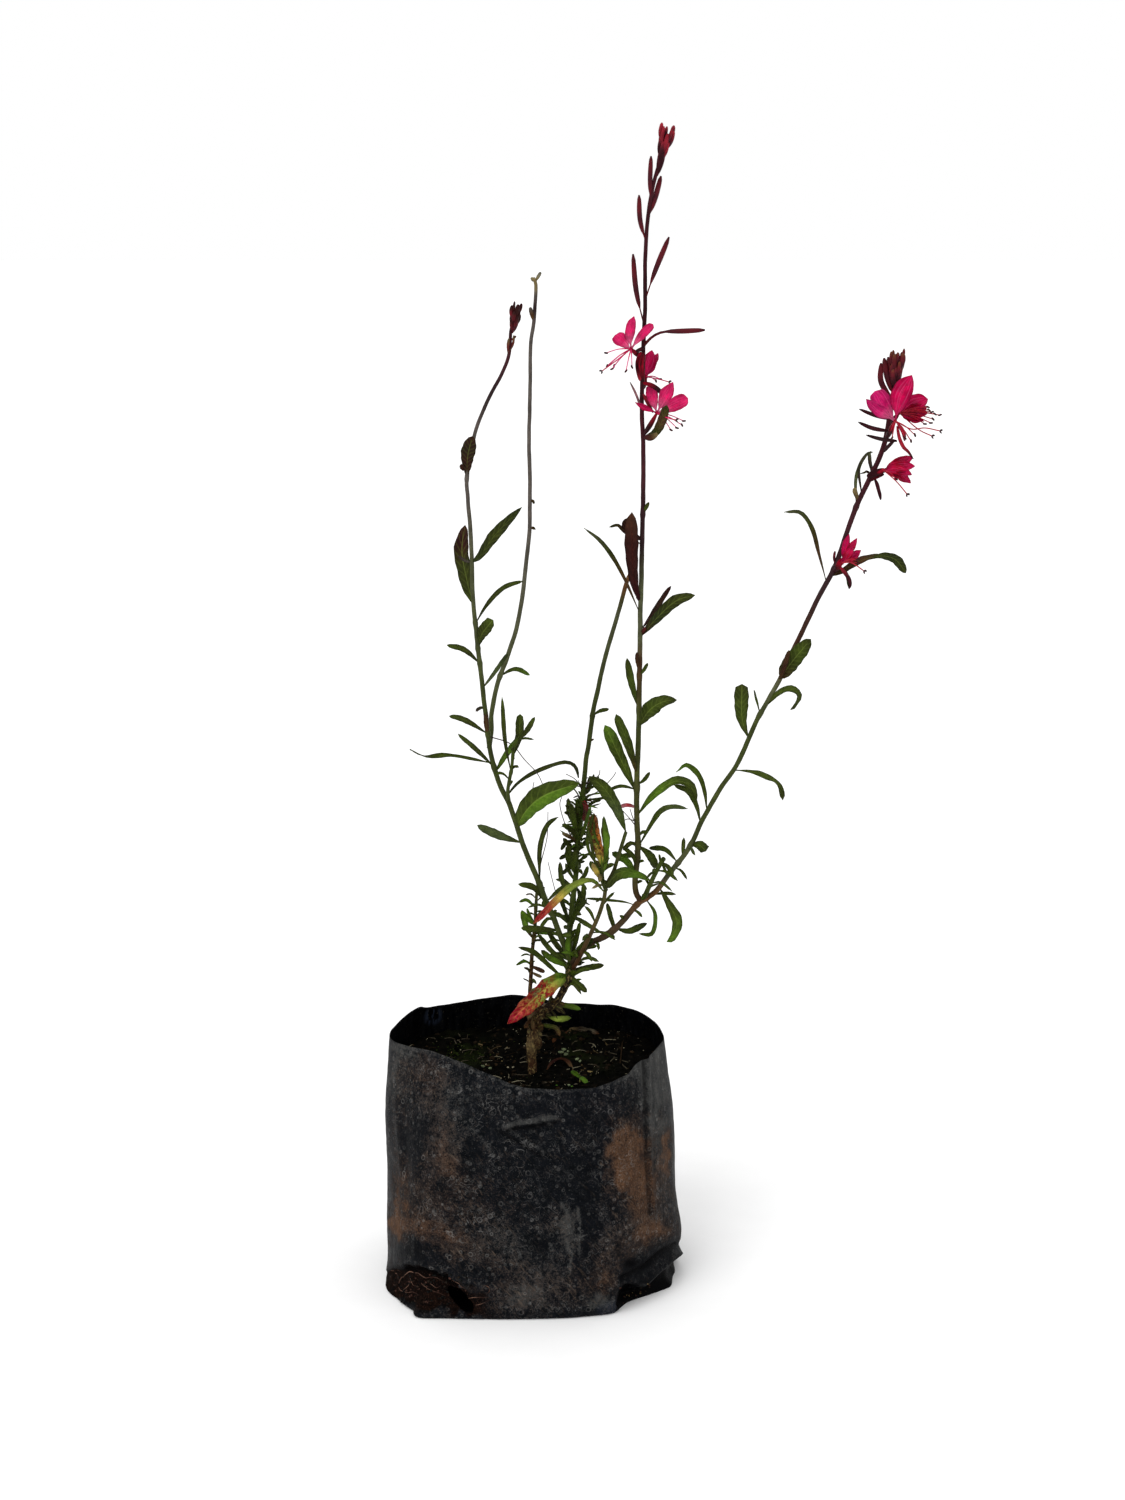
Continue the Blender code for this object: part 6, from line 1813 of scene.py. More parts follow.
# %% More leaves, dry bits and wisps by stem
STEM_EXTRAS = {  # dry bits and leaves of the tuft: (picture points, width mm, reach mm, colours, roll degrees)
    "woody_base": (
        (((567, 966), (568, 948), (570, 931)), 3.0, -7, ("mid", "bright", "mid"), 10),
        (((569, 966), (580, 950), (593, 938)), 4.4, -9, ("olive", "mid", "deep"), 0),
        (((566, 962), (556, 944), (548, 930)), 3.0, -5, ("deep", "olive"), 0),
        (((568, 960), (576, 940), (580, 922)), 2.6, -4, ("olive", "mid"), 0),
        (((567, 967), (552, 959), (541, 950)), 3.4, -10, ("mid", "bright", "olive"), 0),
        (((545, 1006), (536, 1010), (527, 1018)), 3.0, -4, ("brown", "maroon", "tan"), 0),
        (((540, 1014), (531, 1020), (524, 1028)), 2.6, -3, ("maroon", "brown"), 20),
        (((536, 1024), (548, 1026), (556, 1028), (560, 1036)), 2.4, -6, ("olive", "olive", "brown"), 20),
        (((543, 1010), (534, 1018), (533, 1030)), 2.4, -5, ("tan", "brown"), 0),
    ),
    "whip_stem": (
        (((533, 282), (532.5, 279.5), (532, 277)), 1.6, 1, ("grey", "pale_speck", "pale_speck"), 0),
        (((534, 282), (538, 277), (541, 272)), 1.8, -1, ("grey", "straw", "pale_speck", "grey"), 0),
        (((535, 322), (532, 315), (530, 307)), 2.2, -1, ("rust", "brown", "grey"), 0),
        (((531, 500), (533, 501), (534, 504)), 1.4, -2, ("brown", "dark_bark"), 0),
        (((530, 527), (533, 528), (535, 529)), 1.4, -2, ("brown", "dark_bark"), 0),
    ),
    "left_stem": (
        (((553, 932), (540, 929), (521, 928)), 3.6, -4, ("deep", "olive", "mid"), 0),
        (((551, 900), (560, 889), (571, 884)), 2.2, 3, ("olive", "mid"), 0),
        (((467, 470), (463, 468), (461, 464)), 2.6, -2, ("wine", "maroon"), 0),
        (((507, 356), (508, 346), (509, 338)), 1.4, -2, ("wine", "garnet", "tan"), 0),
        (((509, 352), (513, 344), (514, 335)), 1.2, -2, ("wine", "garnet", "tan"), 0),
        (((471, 562), (466, 561), (458, 556)), 1.4, -2, ("grey", "plum"), 0),
        (((484, 708), (480, 708), (476, 711)), 1.6, -2, ("deep", "plum"), 0),
        (((485, 688), (495, 672), (508, 653)), 2.2, -2, ("grey_olive", "bluish", "deep"), 0),
        (((485, 708), (486, 720), (487, 732)), 2.4, -3, ("maroon", "brown"), 0),
        (((495, 772), (508, 752), (524, 733)), 3.2, -6, ("mid", "bright", "mid"), 0),
    ),
    "centre_stem": (
        (((637, 874), (626, 860), (612, 852)), 4.2, -6, ("mid", "bright", "mid"), 20),
        (((644, 438), (655, 433), (661, 423), (667, 405)), 4.7, -18, ("brown", "olive", "brown", "olive"), 0),
        (((638, 868), (633, 856), (622, 846)), 2.4, -5, ("olive", "mid"), 0),
        (((639, 672), (637, 660), (637, 652)), 2.0, -2, ("brown", "maroon"), 0),
        (((637, 808), (628, 805), (619, 807)), 2.0, -4, ("blush", "crimson", "blush"), 0),
        (((640, 603), (638, 599), (636, 596)), 1.2, -1, ("plum", "grey"), 0),
        (((641, 596), (639, 594), (634, 590)), 1.0, -1, ("grey", "grey_olive"), 0),
        (((642, 635), (644, 630), (645, 627)), 1.8, -2, ("wine", "garnet"), 0),
        (((643, 512), (645, 507), (648, 503)), 1.0, -2, ("burgundy", "plum"), 0),
        (((630, 540), (627, 530), (627, 518)), 4.4, -3, ("wine", "wine", "maroon"), 10),
        (((628, 545), (624, 531), (618, 525), (609, 527)), 1.8, -4, ("maroon", "brown", "deep"), 30),
    ),
    "right_stem": (
        (((856, 500), (855, 492), (855, 487)), 2.4, -2, ("brown", "straw"), 0),
        (((781, 683), (784, 668), (789, 650)), 2.6, -9, ("brown", "maroon", "brown"), 0),
        (((871, 473), (870, 462), (869, 452)), 1.8, 3, ("wine", "plum", "grey_olive"), 0),
        (((856, 492), (859, 470), (866, 455), (873, 452)), 1.4, 5, ("plum", "plum", "grey_olive"), 0),
        (((862, 470), (866, 471), (870, 473)), 1.0, 2, ("wine",), 0),
    ),
    "middle_stem": (
        (((590, 742), (592, 740), (594, 739)), 1.0, -1, ("brown",), 0),
        (((571, 930), (576, 912), (587, 899)), 3.2, -4, ("olive", "mid", "deep"), 0),
        (((571, 925), (563, 905), (558, 892)), 2.4, -3, ("deep", "olive"), 0),
        (((572, 915), (582, 900), (584, 884)), 2.8, 3, ("mid", "olive", "mid"), 0),
        (((584, 799), (586, 808), (584, 821)), 3.0, -8, ("crimson", "garnet", "wine", "garnet"), 20),
        (((577, 846), (583, 832), (591, 806)), 2.0, -9, ("olive", "mid", "seed_green"), 0),
        (((580, 836), (574, 822), (571, 803)), 3.4, -6, ("olive", "mid", "olive"), 0),
        (((579, 838), (570, 829), (562, 824)), 2.8, -4, ("olive", "olive", "mid"), 0),
        (((580, 832), (577, 815), (578, 799)), 3.0, 3, ("deep", "olive", "mid"), 0),
        (((579, 842), (572, 838), (562, 833)), 2.2, -3, ("olive", "brown", "straw"), 0),
        (((581, 826), (574, 812), (565, 805)), 2.0, -5, ("deep", "olive"), 0),
        (((577, 872), (570, 862), (568, 845)), 4.0, -5, ("deep", "mid", "olive"), 0),
        (((577, 875), (573, 866), (576, 850)), 3.2, -7, ("olive", "mid", "olive"), 0),
        (((578, 852), (570, 846), (563, 838)), 2.6, -5, ("deep", "olive"), 0),
        (((577, 858), (567, 855), (559, 859)), 2.4, -4, ("deep", "olive", "deep"), 20),
        (((578, 848), (587, 840), (590, 828)), 2.4, 3, ("deep", "olive"), 0),
        (((577, 866), (569, 868), (562, 874)), 2.4, -5, ("olive", "deep"), 10),
        (((580, 824), (571, 815), (564, 812)), 2.2, -3, ("deep", "deep", "olive"), 0),
        (((583, 812), (592, 803), (601, 800)), 1.5, 2, ("deep", "olive"), 0),
        (((585, 800), (596, 799), (610, 797)), 1.4, 1, ("deep", "olive"), 0),
        (((579, 840), (566, 843), (561, 850)), 2.2, -4, ("olive", "deep"), 0),
        (((575, 884), (584, 876), (588, 866)), 2.4, -3, ("olive", "mid"), 0),
        (((588, 792), (594, 786), (599, 776)), 1.4, -4, ("deep", "olive"), 0),
        (((586, 796), (592, 780), (594, 774)), 1.4, 3, ("deep", "olive"), 0),
    ),
    "old_leaf_shoot": (
        (((603, 872), (589, 851), (588, 834), (594, 813)), 1.9, -9, ("olive", "mid", "olive"), 0),
        (((603, 874), (595, 862), (591, 842), (587, 826)), 1.7, -10, ("mid", "olive", "mid"), 0),
        (((603, 870), (601, 850), (595, 836), (594, 820)), 1.2, -10, ("bright", "olive"), 0),
        (((602, 880), (597, 873), (592, 863)), 2.8, -5, ("olive", "yellow", "straw"), 0),
        (((604, 876), (607, 856), (602, 826)), 2.6, -6, ("mid", "bright", "brown"), 10),
    ),
    "brown_stem": (
        (((533, 925), (527, 918), (521, 911)), 3.2, -3, ("bright", "bright"), 0),
        (((533, 925), (529, 914), (527, 908)), 1.6, -3, ("mid", "bright"), 0),
        (((532, 966), (538, 969), (545, 972)), 2.4, -3, ("brown", "maroon", "brown"), 0),
        (((532, 972), (537, 975), (542, 977)), 1.8, -3, ("brown", "tan"), 0),
    ),
}
WISPS = {  # thread-thin dry twigs: (picture points, reach mm)
    "left_stem": (
        (((499, 735), (511, 744), (524, 759), (537, 773), (543, 785)), 4),
        (((535, 890), (540, 868), (547, 838), (548, 812)), 6), (((517, 830), (530, 800), (534, 782)), 8),
    ),
    "centre_stem": (
        (((637, 828), (631, 820), (623, 811)), -3), (((637, 826), (633, 818), (630, 809)), -4),
        (((637, 822), (628, 819), (622, 822)), -3),
    ),
    "middle_stem": (
        (((571, 912), (560, 902), (555, 890), (548, 862)), -5),
        (((578, 846), (566, 826), (560, 806), (562, 796)), -6),
        (((585, 800), (600, 790), (612, 778), (616, 772)), -4), (((586, 792), (576, 780), (566, 774)), -5),
        (((588, 786), (598, 776), (600, 770)), -3),
    ),
}
print(sum(map(len, STEM_EXTRAS.values())), "more leaves and bits,", sum(map(len, WISPS.values())), "wisps")

# %% Small leaves that differ from the rest of their stem, by the picture point of their tip
OWN_NAMES = {
    (473, 436): ("dark_bark", "maroon", "dark_bark", "maroon"),
    (871, 451): ("brown", "grey_olive", "olive", "grey_olive"), (571, 1018): ("olive", "lime", "mid"),
    (581, 1009): ("olive", "mid", "bright"), (604, 816): ("mid", "bright", "mid"),
    (655, 914): ("mid", "bright"), (639, 934): ("olive", "bright", "mid"),
}
OWN_SHAPES = {  # broadest share, fullness
    (493, 620): (0.77, 1.3), (571, 1018): (0.72, 2.2), (706, 851): (0.84, 0.9), (520, 714): (0.7, 1.0),
}
OWN_WIDTHS = {  # times the width of the list
    (473, 436): 1.4, (571, 1018): 0.85, (627, 658): 1.5, (502, 697): 0.9, (520, 714): 1.15, (493, 620): 1.35,
    (523, 581): 1.4, (449, 716): 1.3, (754, 690): 0.55, (706, 851): 1.1,
}
SKIN, GREEN, BUDS = 0, 1, 2  # the places of a stem's three finishes


def small_leaf(body, name, points, width, reach, roll):
    """A small leaf in the colours of its stem, unless it has its own."""
    tip = points[-1]
    looks = Looks(OWN_NAMES.get(tip, SMALL_LOOKS[name]), twist=noise.noise(seen(*tip, 0) * 800) * 1.2)
    looks = looks._replace(**dict(zip(("broad", "full"), OWN_SHAPES.get(tip, ()))))
    own_width = width * OWN_WIDTHS.get(tip, 1.0) * MM
    blade(body, shoot_line(name, points, reach), own_width, math.radians(roll), looks, GREEN)


print(len(OWN_NAMES), "leaves with their own colours,", len(OWN_WIDTHS), "with their own width")

# %% How thick a stem is, from point to point
SLIMMER = {  # stem: (shares of the way up, times the plain radius)
    "middle_stem": ((0.0, 0.45, 1.0), (1.0, 1.1, 1.25)),
    "right_stem": ((0.0, 0.15, 0.26, 0.5, 0.7, 1.0), (0.84, 0.76, 0.66, 0.7, 0.86, 1.1)),
}
KNUCKLE = 1.3 * MM  # how long the swelling at a leaf's foot is
KNOB_SHOWS_AT = 1045


def radii_of(name):
    """The radii of a stem, which swells at every leaf's foot and is rougher where it is woody."""
    stem, route = STEMS[name], ROUTES[name]
    woody = name == "woody_base"
    long = length_of(route)
    feet = [foot_on(name, seen(*points[0], depth_on(name, *points[0])))[1]
            for points, *_ in SMALL_LEAVES.get(name, ())]
    radii = []
    for index, point in enumerate(route):
        share = index / (len(route) - 1)
        knuckle = sum(math.exp(-(((share - foot) * long / KNUCKLE) ** 2)) for foot in feet)
        rough = noise.noise(point * 330) * (0.24 if woody else 0.06)
        knob = 0.5 * math.exp(-(((shown(*point)[1] - KNOB_SHOWS_AT) / 7) ** 2)) if woody else 0
        slimness = np.interp(share, *SLIMMER.get(name, ((0, 1), (1, 1))))
        plain = (stem.thick + (stem.thin - stem.thick) * share) * slimness * MM + 0.2 * MM * (not woody)
        radii.append(plain * (1 + 0.28 * min(knuckle, 1) + rough + knob))
    return radii


foot_and_tip = [round(radii_of("right_stem")[end] / MM, 2) for end in (0, -1)]
print("radii of the right stem at its foot and tip:", foot_and_tip, "mm")

# %% Stem, swelling and flower stalks
SWELLING_RADII = (0.8, 1.3, 1.8, 2.1, 2.3, 2.4, 2.4, 2.3, 2.1, 1.7, 1.3, 0.9, 0.6)


def stem_tube(body, name):
    """The stem itself, in its own colours."""
    route = ROUTES[name]

    def tint(share):
        return stem_colour(name, route[min(int(share * len(route)), len(route) - 1)])

    tube(body, route, radii_of(name), 12 if STEMS[name].thick > 1.5 else 9, tint, SKIN)


def base_swelling(body):
    """The swelling at the front of the woody base."""
    line = smooth([seen(537.6, down, -5) for down in (1050, 1046, 1042, 1038, 1033)], 3)
    tube(body, line, [r * MM for r in SWELLING_RADII], 10, through("tan", "brown", "tan"), SKIN)


def flower_stalk(body, name, flower):
    """The stalk from the stem to a flower's throat, thickest halfway."""
    root = foot_on(name, seen(*flower.root, depth_on(name, *flower.root)))[0]
    throat = throat_of(flower)
    line = smooth([root, (root + throat) / 2 + Vector((0, 0, -0.5 * MM)), throat], 5)
    radii = [(0.55 + 0.75 * math.sin(math.pi * i / (len(line) - 1))) * MM for i in range(len(line))]
    tube(body, line, radii, 9, through("burgundy", "wine", "deep_pink"), BUDS)


# %% Each stem with what grows on it
BUD_WIDENING = 1.12
FINISH_OF = {"woody_base": (bark_skin, "bark"), "brown_stem": (bark_skin, "bark"),
             "right_stem": (stem_skin, "burgundy_stem"), "centre_stem": (stem_skin, "burgundy_stem")}
for name in STEMS:
    body = new_body()
    stem_tube(body, name)
    for leaf in SMALL_LEAVES.get(name, ()):
        small_leaf(body, name, *leaf)
    if name == "woody_base":
        base_swelling(body)
    for points, width, reach, names, roll in STEM_EXTRAS.get(name, ()):
        line = shoot_line(name, points, reach)
        blade(body, line, width * MM, math.radians(roll), Looks(names, full=1.0), GREEN)
    for points, reach in WISPS.get(name, ()):
        wisp = shoot_line(name, points, reach)
        radii = [(0.32 - 0.14 * i / len(wisp)) * MM for i in range(len(wisp))]
        tube(body, wisp, radii, 5, through("plum", "grey", "plum"), SKIN)
    for plan in TUFTS:
        if plan.stem == name:
            tuft(body, plan, GREEN)
    for points, width, stalk_share, reach in LONG_BUDS.get(name, ()):
        stalk = (0.75 if stalk_share > 0.4 else 0.4) * MM
        line = shoot_line(name, points, reach)
        bud(body, line, width * BUD_WIDENING * MM, stalk_share, WINE_BUD, BUDS, stalk)
    if name in EARS:
        ear(body, name, EARS[name], BUDS)
    for flower in FLOWERS.values():
        if flower.stem == name:
            flower_stalk(body, name, flower)
    skin, slot = FINISH_OF.get(name, (stem_skin, "green_stem"))
    finished(body, f"{name}_grown", name, slot, skin, leaf_skin, bud_skin)
print(len(STEMS), "stems grown")

# %% [markdown]
# ## The separate leaves
# The leaves that stand clear of the tuft are pieces of their own. Each gets its own colours, fold and
# twist after the photograph: one large bright leaf, blue-green ones, maroon ones near the flowers, and
# old ones that turn yellow and red before they drop.

# %% The separate leaves by stem
Leaf = namedtuple("Leaf", "stem points width reach roll")
SEPARATE_LEAVES = {
    "large_green_leaf": Leaf("left_stem", ((517, 826), (528, 809), (546, 795), (580, 783)), 10.5, -14, 15),
    "grey_green_leaf": Leaf("left_stem", ((522, 843), (499, 835), (477, 825)), 4.2, -7, 10),
    "left_wavy_leaf": Leaf(
        "left_stem", ((491, 764), (473, 759), (448, 754), (426, 756), (410, 749)), 2.4, -12, 20,
    ),
    "left_arching_leaf": Leaf(
        "left_stem", ((506, 797), (518, 783), (538, 771), (562, 763), (574, 766), (579, 778)), 2.4, 14, 30,
    ),
    "left_upper_leaf": Leaf("left_stem", ((471, 562), (480, 556), (496, 534), (522, 507)), 5.0, -8, 10),
    "left_broad_leaf": Leaf("left_stem", ((474, 604), (468, 585), (462, 552), (465, 525)), 7.0, 9, 20),
    "red_tip_leaf": Leaf(
        "short_stem", ((605, 893), (592, 880), (573, 885), (555, 901), (533, 924)), 4.6, -14, 10,
    ),
    "blue_green_leaf": Leaf("short_stem", ((626, 829), (616, 806), (604, 788), (589, 776)), 6.0, -9, 15),
    "orange_leaf": Leaf("old_leaf_shoot", ((603, 866), (599, 850), (594, 832), (594, 813)), 6.2, -8, 10),
    "speckled_red_leaf": Leaf(
        "woody_base", ((568, 976), (556, 980), (541, 992), (525, 1007), (507, 1024)), 7.5, -16, 10,
    ),
    "olive_leaf": Leaf("stub_shoot", ((651, 881), (638, 874), (620, 872), (604, 888)), 5.6, -10, 30),
    "arched_leaf_upper": Leaf(
        "centre_stem", ((638, 816), (649, 800), (664, 787), (677, 781), (690, 786), (697, 801)), 4.6, -14, 15,
    ),
    "arched_leaf_lower": Leaf(
        "centre_stem", ((638, 848), (651, 825), (661, 811), (673, 807), (688, 809)), 2.8, -24, 20,
    ),
    "paired_leaf_near": Leaf("centre_stem", ((637, 776), (629, 746), (616, 714)), 5.6, -8, 12),
    "paired_leaf_far": Leaf("centre_stem", ((637, 793), (622, 762), (605, 725)), 6.0, 8, -15),
    "centre_upper_leaf": Leaf("centre_stem", ((639, 726), (650, 710), (663, 702), (677, 700)), 5.4, -8, 15),
    "centre_green_leaf": Leaf("centre_stem", ((641, 637), (658, 617), (676, 601), (695, 595)), 5.4, -9, 15),
    "folded_brown_leaf": Leaf("centre_stem", ((641, 631), (654, 612), (663, 598), (671, 586)), 2.6, 9, 20),
    "maroon_leaf": Leaf("centre_stem", ((640, 604), (634, 580), (632, 545), (632, 512)), 5.2, -8, 15),
    "left_reaching_leaf": Leaf(
        "centre_stem", ((640, 614), (626, 581), (614, 558), (600, 540), (584, 528)), 2.4, -14, 20,
    ),
    "right_inner_leaf": Leaf("right_stem", ((701, 824), (697, 806), (689, 791), (674, 785)), 3.2, 12, 20),
    "right_hooked_leaf": Leaf(
        "right_stem", ((707, 812), (705, 792), (699, 774), (686, 764), (676, 772)), 3.0, -9, 20,
    ),
    "right_hanging_leaf": Leaf(
        "right_stem", ((660, 888), (670, 906), (677, 922), (673, 936), (667, 942)), 5.0, -8, 15,
    ),
    "right_wavy_leaf": Leaf(
        "right_stem", ((733, 770), (748, 771), (762, 775), (777, 783), (783, 800)), 3.2, -16, 20,
    ),
    "right_ovate_leaf": Leaf("right_stem", ((749, 739), (742, 718), (742, 684)), 6.6, 9, 15),
    "right_curled_leaf": Leaf(
        "right_stem", ((764, 707), (777, 694), (790, 689), (799, 696), (791, 710)), 3.6, -12, 25,
    ),
    "right_big_leaf": Leaf("right_stem", ((781, 678), (792, 662), (811, 639)), 7.0, -9, 12),
    "right_long_leaf": Leaf(
        "right_stem", ((827, 583), (820, 556), (813, 529), (801, 512), (784, 512)), 2.6, 12, 30,
    ),
    "right_outer_leaf": Leaf(
        "right_stem", ((833, 577), (843, 571), (854, 564), (865, 559), (876, 557), (883, 557)), 3.6, -8, 25,
    ),
}
SECOND_HALVES = {  # the far half of a leaf that bends out of sight: (points with depths, width in mm)
    "right_outer_leaf": (((874, 557, -8), (884, 556, -9), (896, 560, -10), (906, 573, -11)), 4.7),
}
print(len(SEPARATE_LEAVES), "separate leaves to make")

# %% Their colours, shapes and skins
OLIVE, MID, DEEP_GREEN = ("olive", "mid", "olive"), ("olive", "mid", "bright"), ("deep", "olive", "deep")
LOOKS_OF = {
    "large_green_leaf": Looks(
        ("mid", "bright", "bright", "bright", "mid"), fold=0.4, wave=0.12, broad=0.5, full=1.25,
        other=("mid", "mid", "mid", "mid"),
    ),
    "grey_green_leaf": Looks(("olive", "bluish", "bluish"), fold=0.3),
    "left_wavy_leaf": Looks(OLIVE, wave=0.5, twist=1.6),
    "left_arching_leaf": Looks(DEEP_GREEN, fold=0.4, twist=0.6, full=0.9),
    "left_upper_leaf": Looks(DEEP_GREEN, broad=0.5),
    "left_broad_leaf": Looks(("mid", "olive", "olive", "maroon", "maroon"), broad=0.55, full=1.2),
    "red_tip_leaf": Looks(
        ("mid", "bright", "lime", "lime", "lime", "yellow", "salmon", "crimson", "salmon"), fold=0.5,
        broad=0.66, full=1.2,
    ),
    "blue_green_leaf": Looks(("mid", "bluish", "mid", "olive"), fold=0.3, full=1.3),
    "orange_leaf": Looks(
        ("lime", "yellow", "orange", "orange", "salmon", "brown"), fold=0.5, full=1.1,
        other=("lime", "yellow", "lime", "mid", "olive"),
    ),
    "speckled_red_leaf": Looks(
        ("mid", "bright", "lime", "tan", "salmon", "crimson", "crimson"), fold=0.35, broad=0.45, full=1.25,
        teeth=0.1, other=("mid", "lime", "yellow", "lime", "salmon", "crimson", "crimson"),
    ),
    "olive_leaf": Looks(("mid", "bright", "mid", "olive"), fold=0.35, wave=0.2, twist=0.5),
    "arched_leaf_upper": Looks(("olive", "bright", "mid", "olive"), fold=0.5, twist=0.5),
    "arched_leaf_lower": Looks(("olive", "mid", "bluish"), fold=0.4),
    "paired_leaf_near": Looks(("brown", "olive", "mid", "mid"), fold=0.3, broad=0.7),
    "paired_leaf_far": Looks(("olive", "mid", "mid", "bright"), fold=0.25, broad=0.7),
    "centre_upper_leaf": Looks(("olive", "mid", "olive"), wave=0.3, broad=0.52, full=1.7),
    "centre_green_leaf": Looks(("maroon", "deep", "olive", "olive"), broad=0.62),
    "folded_brown_leaf": Looks(("wine", "dark_bark", "maroon"), fold=0.45),
    "maroon_leaf": Looks(("wine", "maroon", "maroon", "brown"), broad=0.68, full=1.2),
    "left_reaching_leaf": Looks(("maroon", "brown", "olive", "grey_olive"), fold=0.6),
    "right_inner_leaf": Looks(OLIVE, fold=0.4), "right_hooked_leaf": Looks(MID, fold=0.5, twist=0.6),
    "right_hanging_leaf": Looks(MID, fold=0.3, twist=0.4),
    "right_wavy_leaf": Looks(OLIVE, wave=0.4, twist=0.8, broad=0.75),
    "right_ovate_leaf": Looks(("olive", "mid", "olive"), fold=0.25, broad=0.76, full=1.35),
    "right_curled_leaf": Looks(OLIVE, fold=0.3, twist=0.9, broad=0.72, full=0.9),
    "right_big_leaf": Looks(("brown", "olive", "mid", "olive"), fold=0.3, broad=0.5, full=1.0),
    "right_long_leaf": Looks(("plum", "brown", "olive", "grey_olive"), fold=0.6),
    "right_outer_leaf": Looks(("maroon", "brown", "brown", "olive"), fold=0.35, twist=0.6, full=0.9),
}
SKIN_OF = {"speckled_red_leaf": (turning_skin, "red_leaf"), "red_tip_leaf": (blush_skin, "red_leaf"),
           "orange_leaf": (old_leaf_skin, "yellow_leaf"), "maroon_leaf": (dark_leaf_skin, "dark_leaf"),
           "folded_brown_leaf": (dark_leaf_skin, "dark_leaf")}
USUAL_WIDENING = 1.12
WIDER = {  # times the width of the list
    "red_tip_leaf": 0.95, "olive_leaf": 1.3, "speckled_red_leaf": 1.3, "centre_upper_leaf": 1.5,
    "maroon_leaf": 1.35, "paired_leaf_near": 0.92, "right_big_leaf": 1.2,
}
print(len(SKIN_OF), "of them aren't plain green")

# %% One piece for each leaf
for name, leaf in SEPARATE_LEAVES.items():
    body = new_body()
    line = shoot_line(leaf.stem, leaf.points, leaf.reach)
    width = leaf.width * WIDER.get(name, USUAL_WIDENING) * MM
    blade(body, line, width, math.radians(leaf.roll), LOOKS_OF[name], 0)
    if name in SECOND_HALVES:
        points, width = SECOND_HALVES[name]
        depth = depth_on(leaf.stem, *leaf.points[0])
        rest = smooth([seen(across, down, depth + back) for across, down, back in points], 6)
        looks = Looks(("olive", "deep", "olive"), fold=0.3, broad=0.62, full=1.2)
        blade(body, rest, width * MM, 0.2, looks, 0, stalk=0.8 * MM)
    skin, slot = SKIN_OF.get(name, (leaf_skin, "green_leaf"))
    finished(body, f"{name}_blade", name, slot, skin)
print(len(SEPARATE_LEAVES), "separate leaves")

# %% [markdown]
# ## What lies on the mix
# A dry curled leaf, a chip of bark, a twig and a two-leaved seedling lie or grow by the stem. They could
# be flat decals, but from above their shadows show, so each is a small solid in the CAD and here too.

# %% The dry finish
dry_skin = stem_finish("dry_litter", 0.75, 5.0, 0.0004)
print("one more stem finish, for dry litter")

# %% The dry leaf and the bark chip
ARCH = ((547, 1070), (553, 1064), (560, 1061.5), (567, 1064), (573, 1071))
ARCH_RISE = (0.3, 0.9, 1.2, 0.9, 0.3)
body = new_body()
arch = [p + Vector((0, 0, rise * MM)) for p, rise in zip(laid_on(mix_surface, ARCH, 0), ARCH_RISE)]
looks = Looks(("brown", "maroon", "brown", "tan"), fold=0.8, wave=0.3, full=0.9)
blade(body, smooth(arch, 5), 2.6 * MM, math.radians(50), looks, 0)
finished(body, "curled_dry_leaf", "curled_dead_leaf", "dry_litter", dry_skin)

CHIP = ((565, 1033), (573, 1029), (583, 1029), (592, 1031), (600, 1034))
SPLINTER = ((578, 1028), (588, 1027), (597, 1032), (604, 1040))
body = new_body()
looks = Looks(("brown", "tan", "dark_bark", "dust_grey", "brown"), fold=0.4, wave=0.7, full=0.6)
chip = smooth(laid_on(mix_surface, CHIP, 1.0 * MM), 4)
blade(body, chip, 3.4 * MM, math.radians(35), looks, 0, thick=1.1 * MM)
tube(body, smooth(laid_on(mix_surface, SPLINTER, 1.2 * MM), 3), [0.45 * MM] * 10, 6, through("tan", "brown"))
finished(body, "split_bark_chip", "bark_chip", "dry_litter", dry_skin)
print("dry leaf and bark chip placed")

# %% The twig
body = new_body()
twig = smooth(laid_on(mix_surface, ((478, 1043), (487, 1047), (494, 1053), (503, 1062)), 0.5 * MM), 4)
radii = [0.42 * MM + 0.08 * MM * math.sin(i) for i in range(len(twig))]
tube(body, twig, radii, 7, through("tan", "dark_bark", "straw"))
side_twig = smooth([twig[6], twig[6] + Vector((3, 1.5, 1.2)) * MM, twig[6] + Vector((5.5, 3.5, 1.0)) * MM], 3)
tube(body, side_twig, [0.25 * MM] * len(side_twig), 5, through("dark_bark", "tan"))
finished(body, "fallen_twig", "dry_twig", "dry_litter", dry_skin)
print("twig of", len(twig), "points placed")

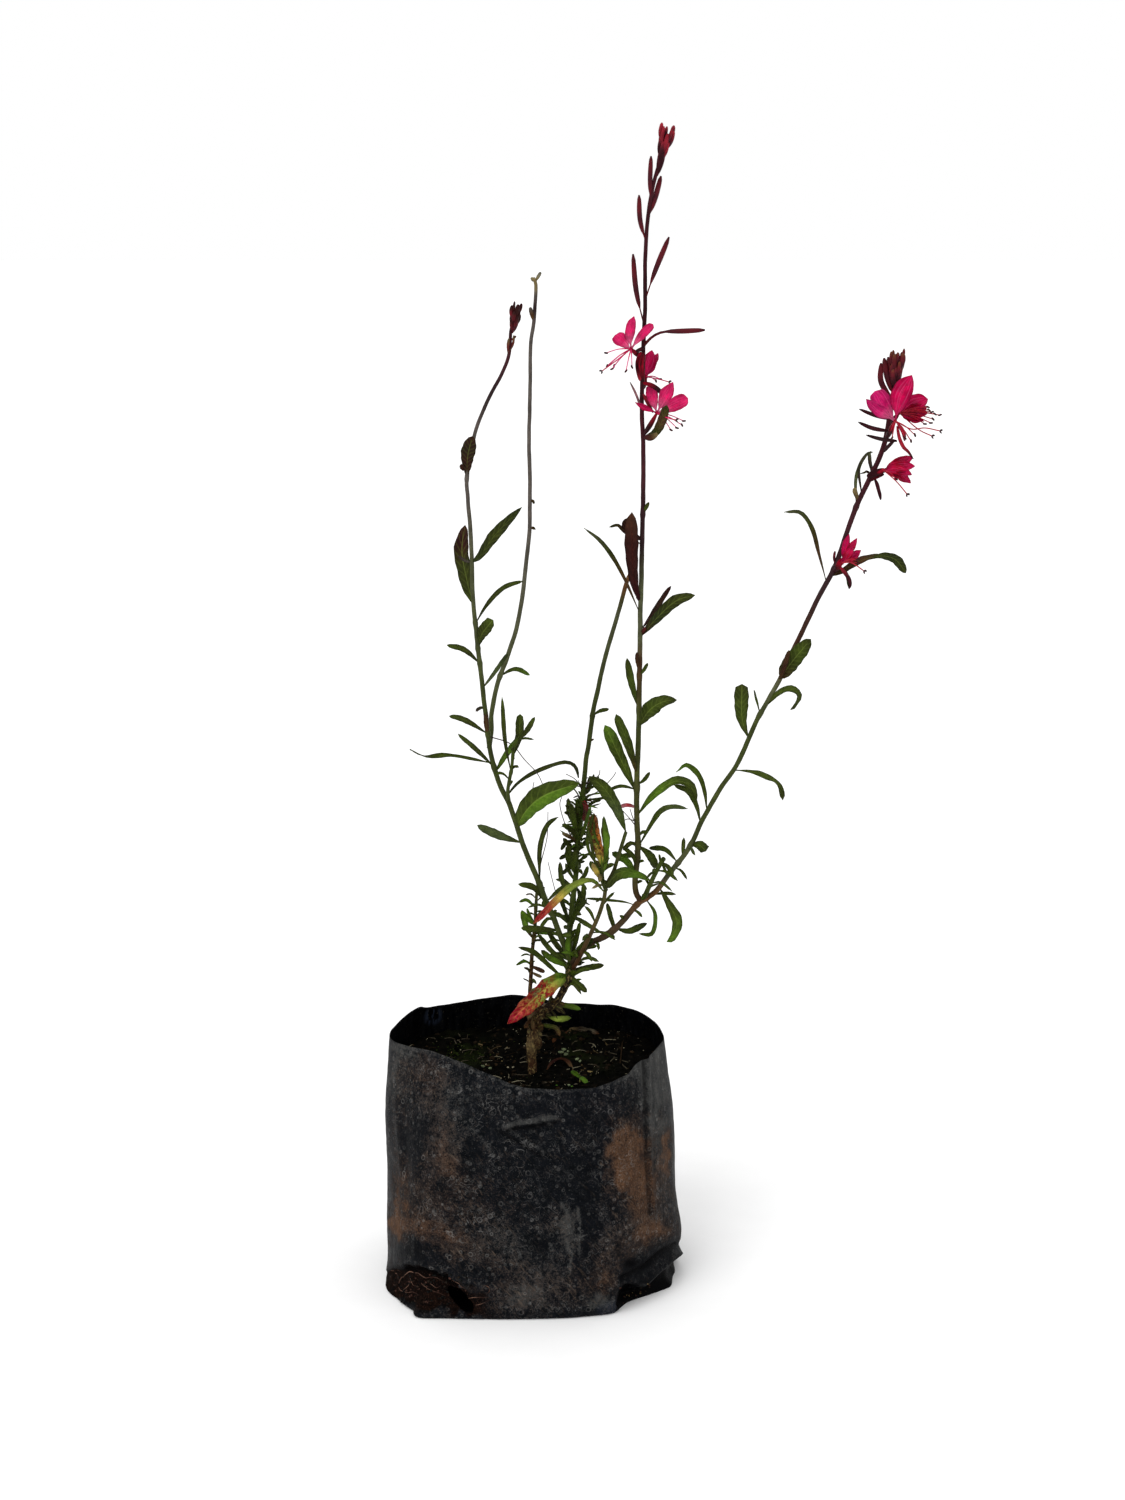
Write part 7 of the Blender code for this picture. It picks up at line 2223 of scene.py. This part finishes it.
# %% The seedling
body = new_body()
root = landed(mix_surface, 580, 1082)[0]
crown = seen(580, 1077, root.y / MM - 0.5)
tube(body, smooth([root, (root + crown) / 2, crown], 4), [0.4 * MM] * 9, 7, through("straw", "seed_green"))
looks = Looks(("seed_green", "bright", "seed_green"), fold=0.2, broad=0.55, full=0.8)
for tip_point in ((571, 1071), (587.5, 1083.5)):
    tip = seen(*tip_point, root.y / MM - 1.5)
    line = smooth([crown, (crown + tip) / 2 + Vector((0, 0, 0.3 * MM)), tip], 4)
    blade(body, line, 2.5 * MM, math.radians(15), looks, 1, stalk=0.3 * MM)
finished(body, "two_leaved_seedling", "seedling", "green_leaf", leaf_skin, leaf_skin)
print("litter and seedling placed")

# %% [markdown]
# ## The studio
# The plant stands on a plain white floor in soft daylight from the left, which leaves a faint shadow to
# the right of the bag. Lamps could light it from many sides. A bright white surrounding and one broad,
# soft sun are enough, and keep the shadows as gentle as on an overcast day.

# %% Floor
pale_floor, tree, shader = new_finish("matt_white_floor", Roughness=0.9, Specular_IOR_Level=0.1)
floor_grain = grain(tree, in_space(tree), 40.0, 2.0)
floor_colour = blend(tree, floor_grain, colour(250, 250, 250), colour(246, 246, 246))
tree.links.new(floor_colour, shader.inputs["Base Color"])
relief(tree, shader, floor_grain, 0.00002)
floor_body = new_body()
bmesh.ops.create_grid(floor_body, x_segments=2, y_segments=2, size=15.0)
floor_mesh = bpy.data.meshes.new("pale_floor")
floor_body.to_mesh(floor_mesh)
floor_body.free()
floor_mesh.materials.append(pale_floor)
floor = bpy.data.objects.new("pale_floor", floor_mesh)
bpy.context.scene.collection.objects.link(floor)
print("floor placed")

# %% Light
world = bpy.data.worlds.new("white_surrounding")
world.use_nodes = True
background = world.node_tree.nodes["Background"]
background.inputs["Color"].default_value = (1.0, 1.0, 1.0, 1.0)
background.inputs["Strength"].default_value = 1.0
bpy.context.scene.world = world
sun = bpy.data.objects.new("soft_sun", bpy.data.lights.new("soft_sun", "SUN"))
sun.data.energy = 1.3
sun.data.angle = math.radians(40)
sun.rotation_euler = (math.radians(38), math.radians(-32), 0)
bpy.context.scene.collection.objects.link(sun)
bpy.context.scene.view_settings.view_transform = "Standard"
print("light placed")
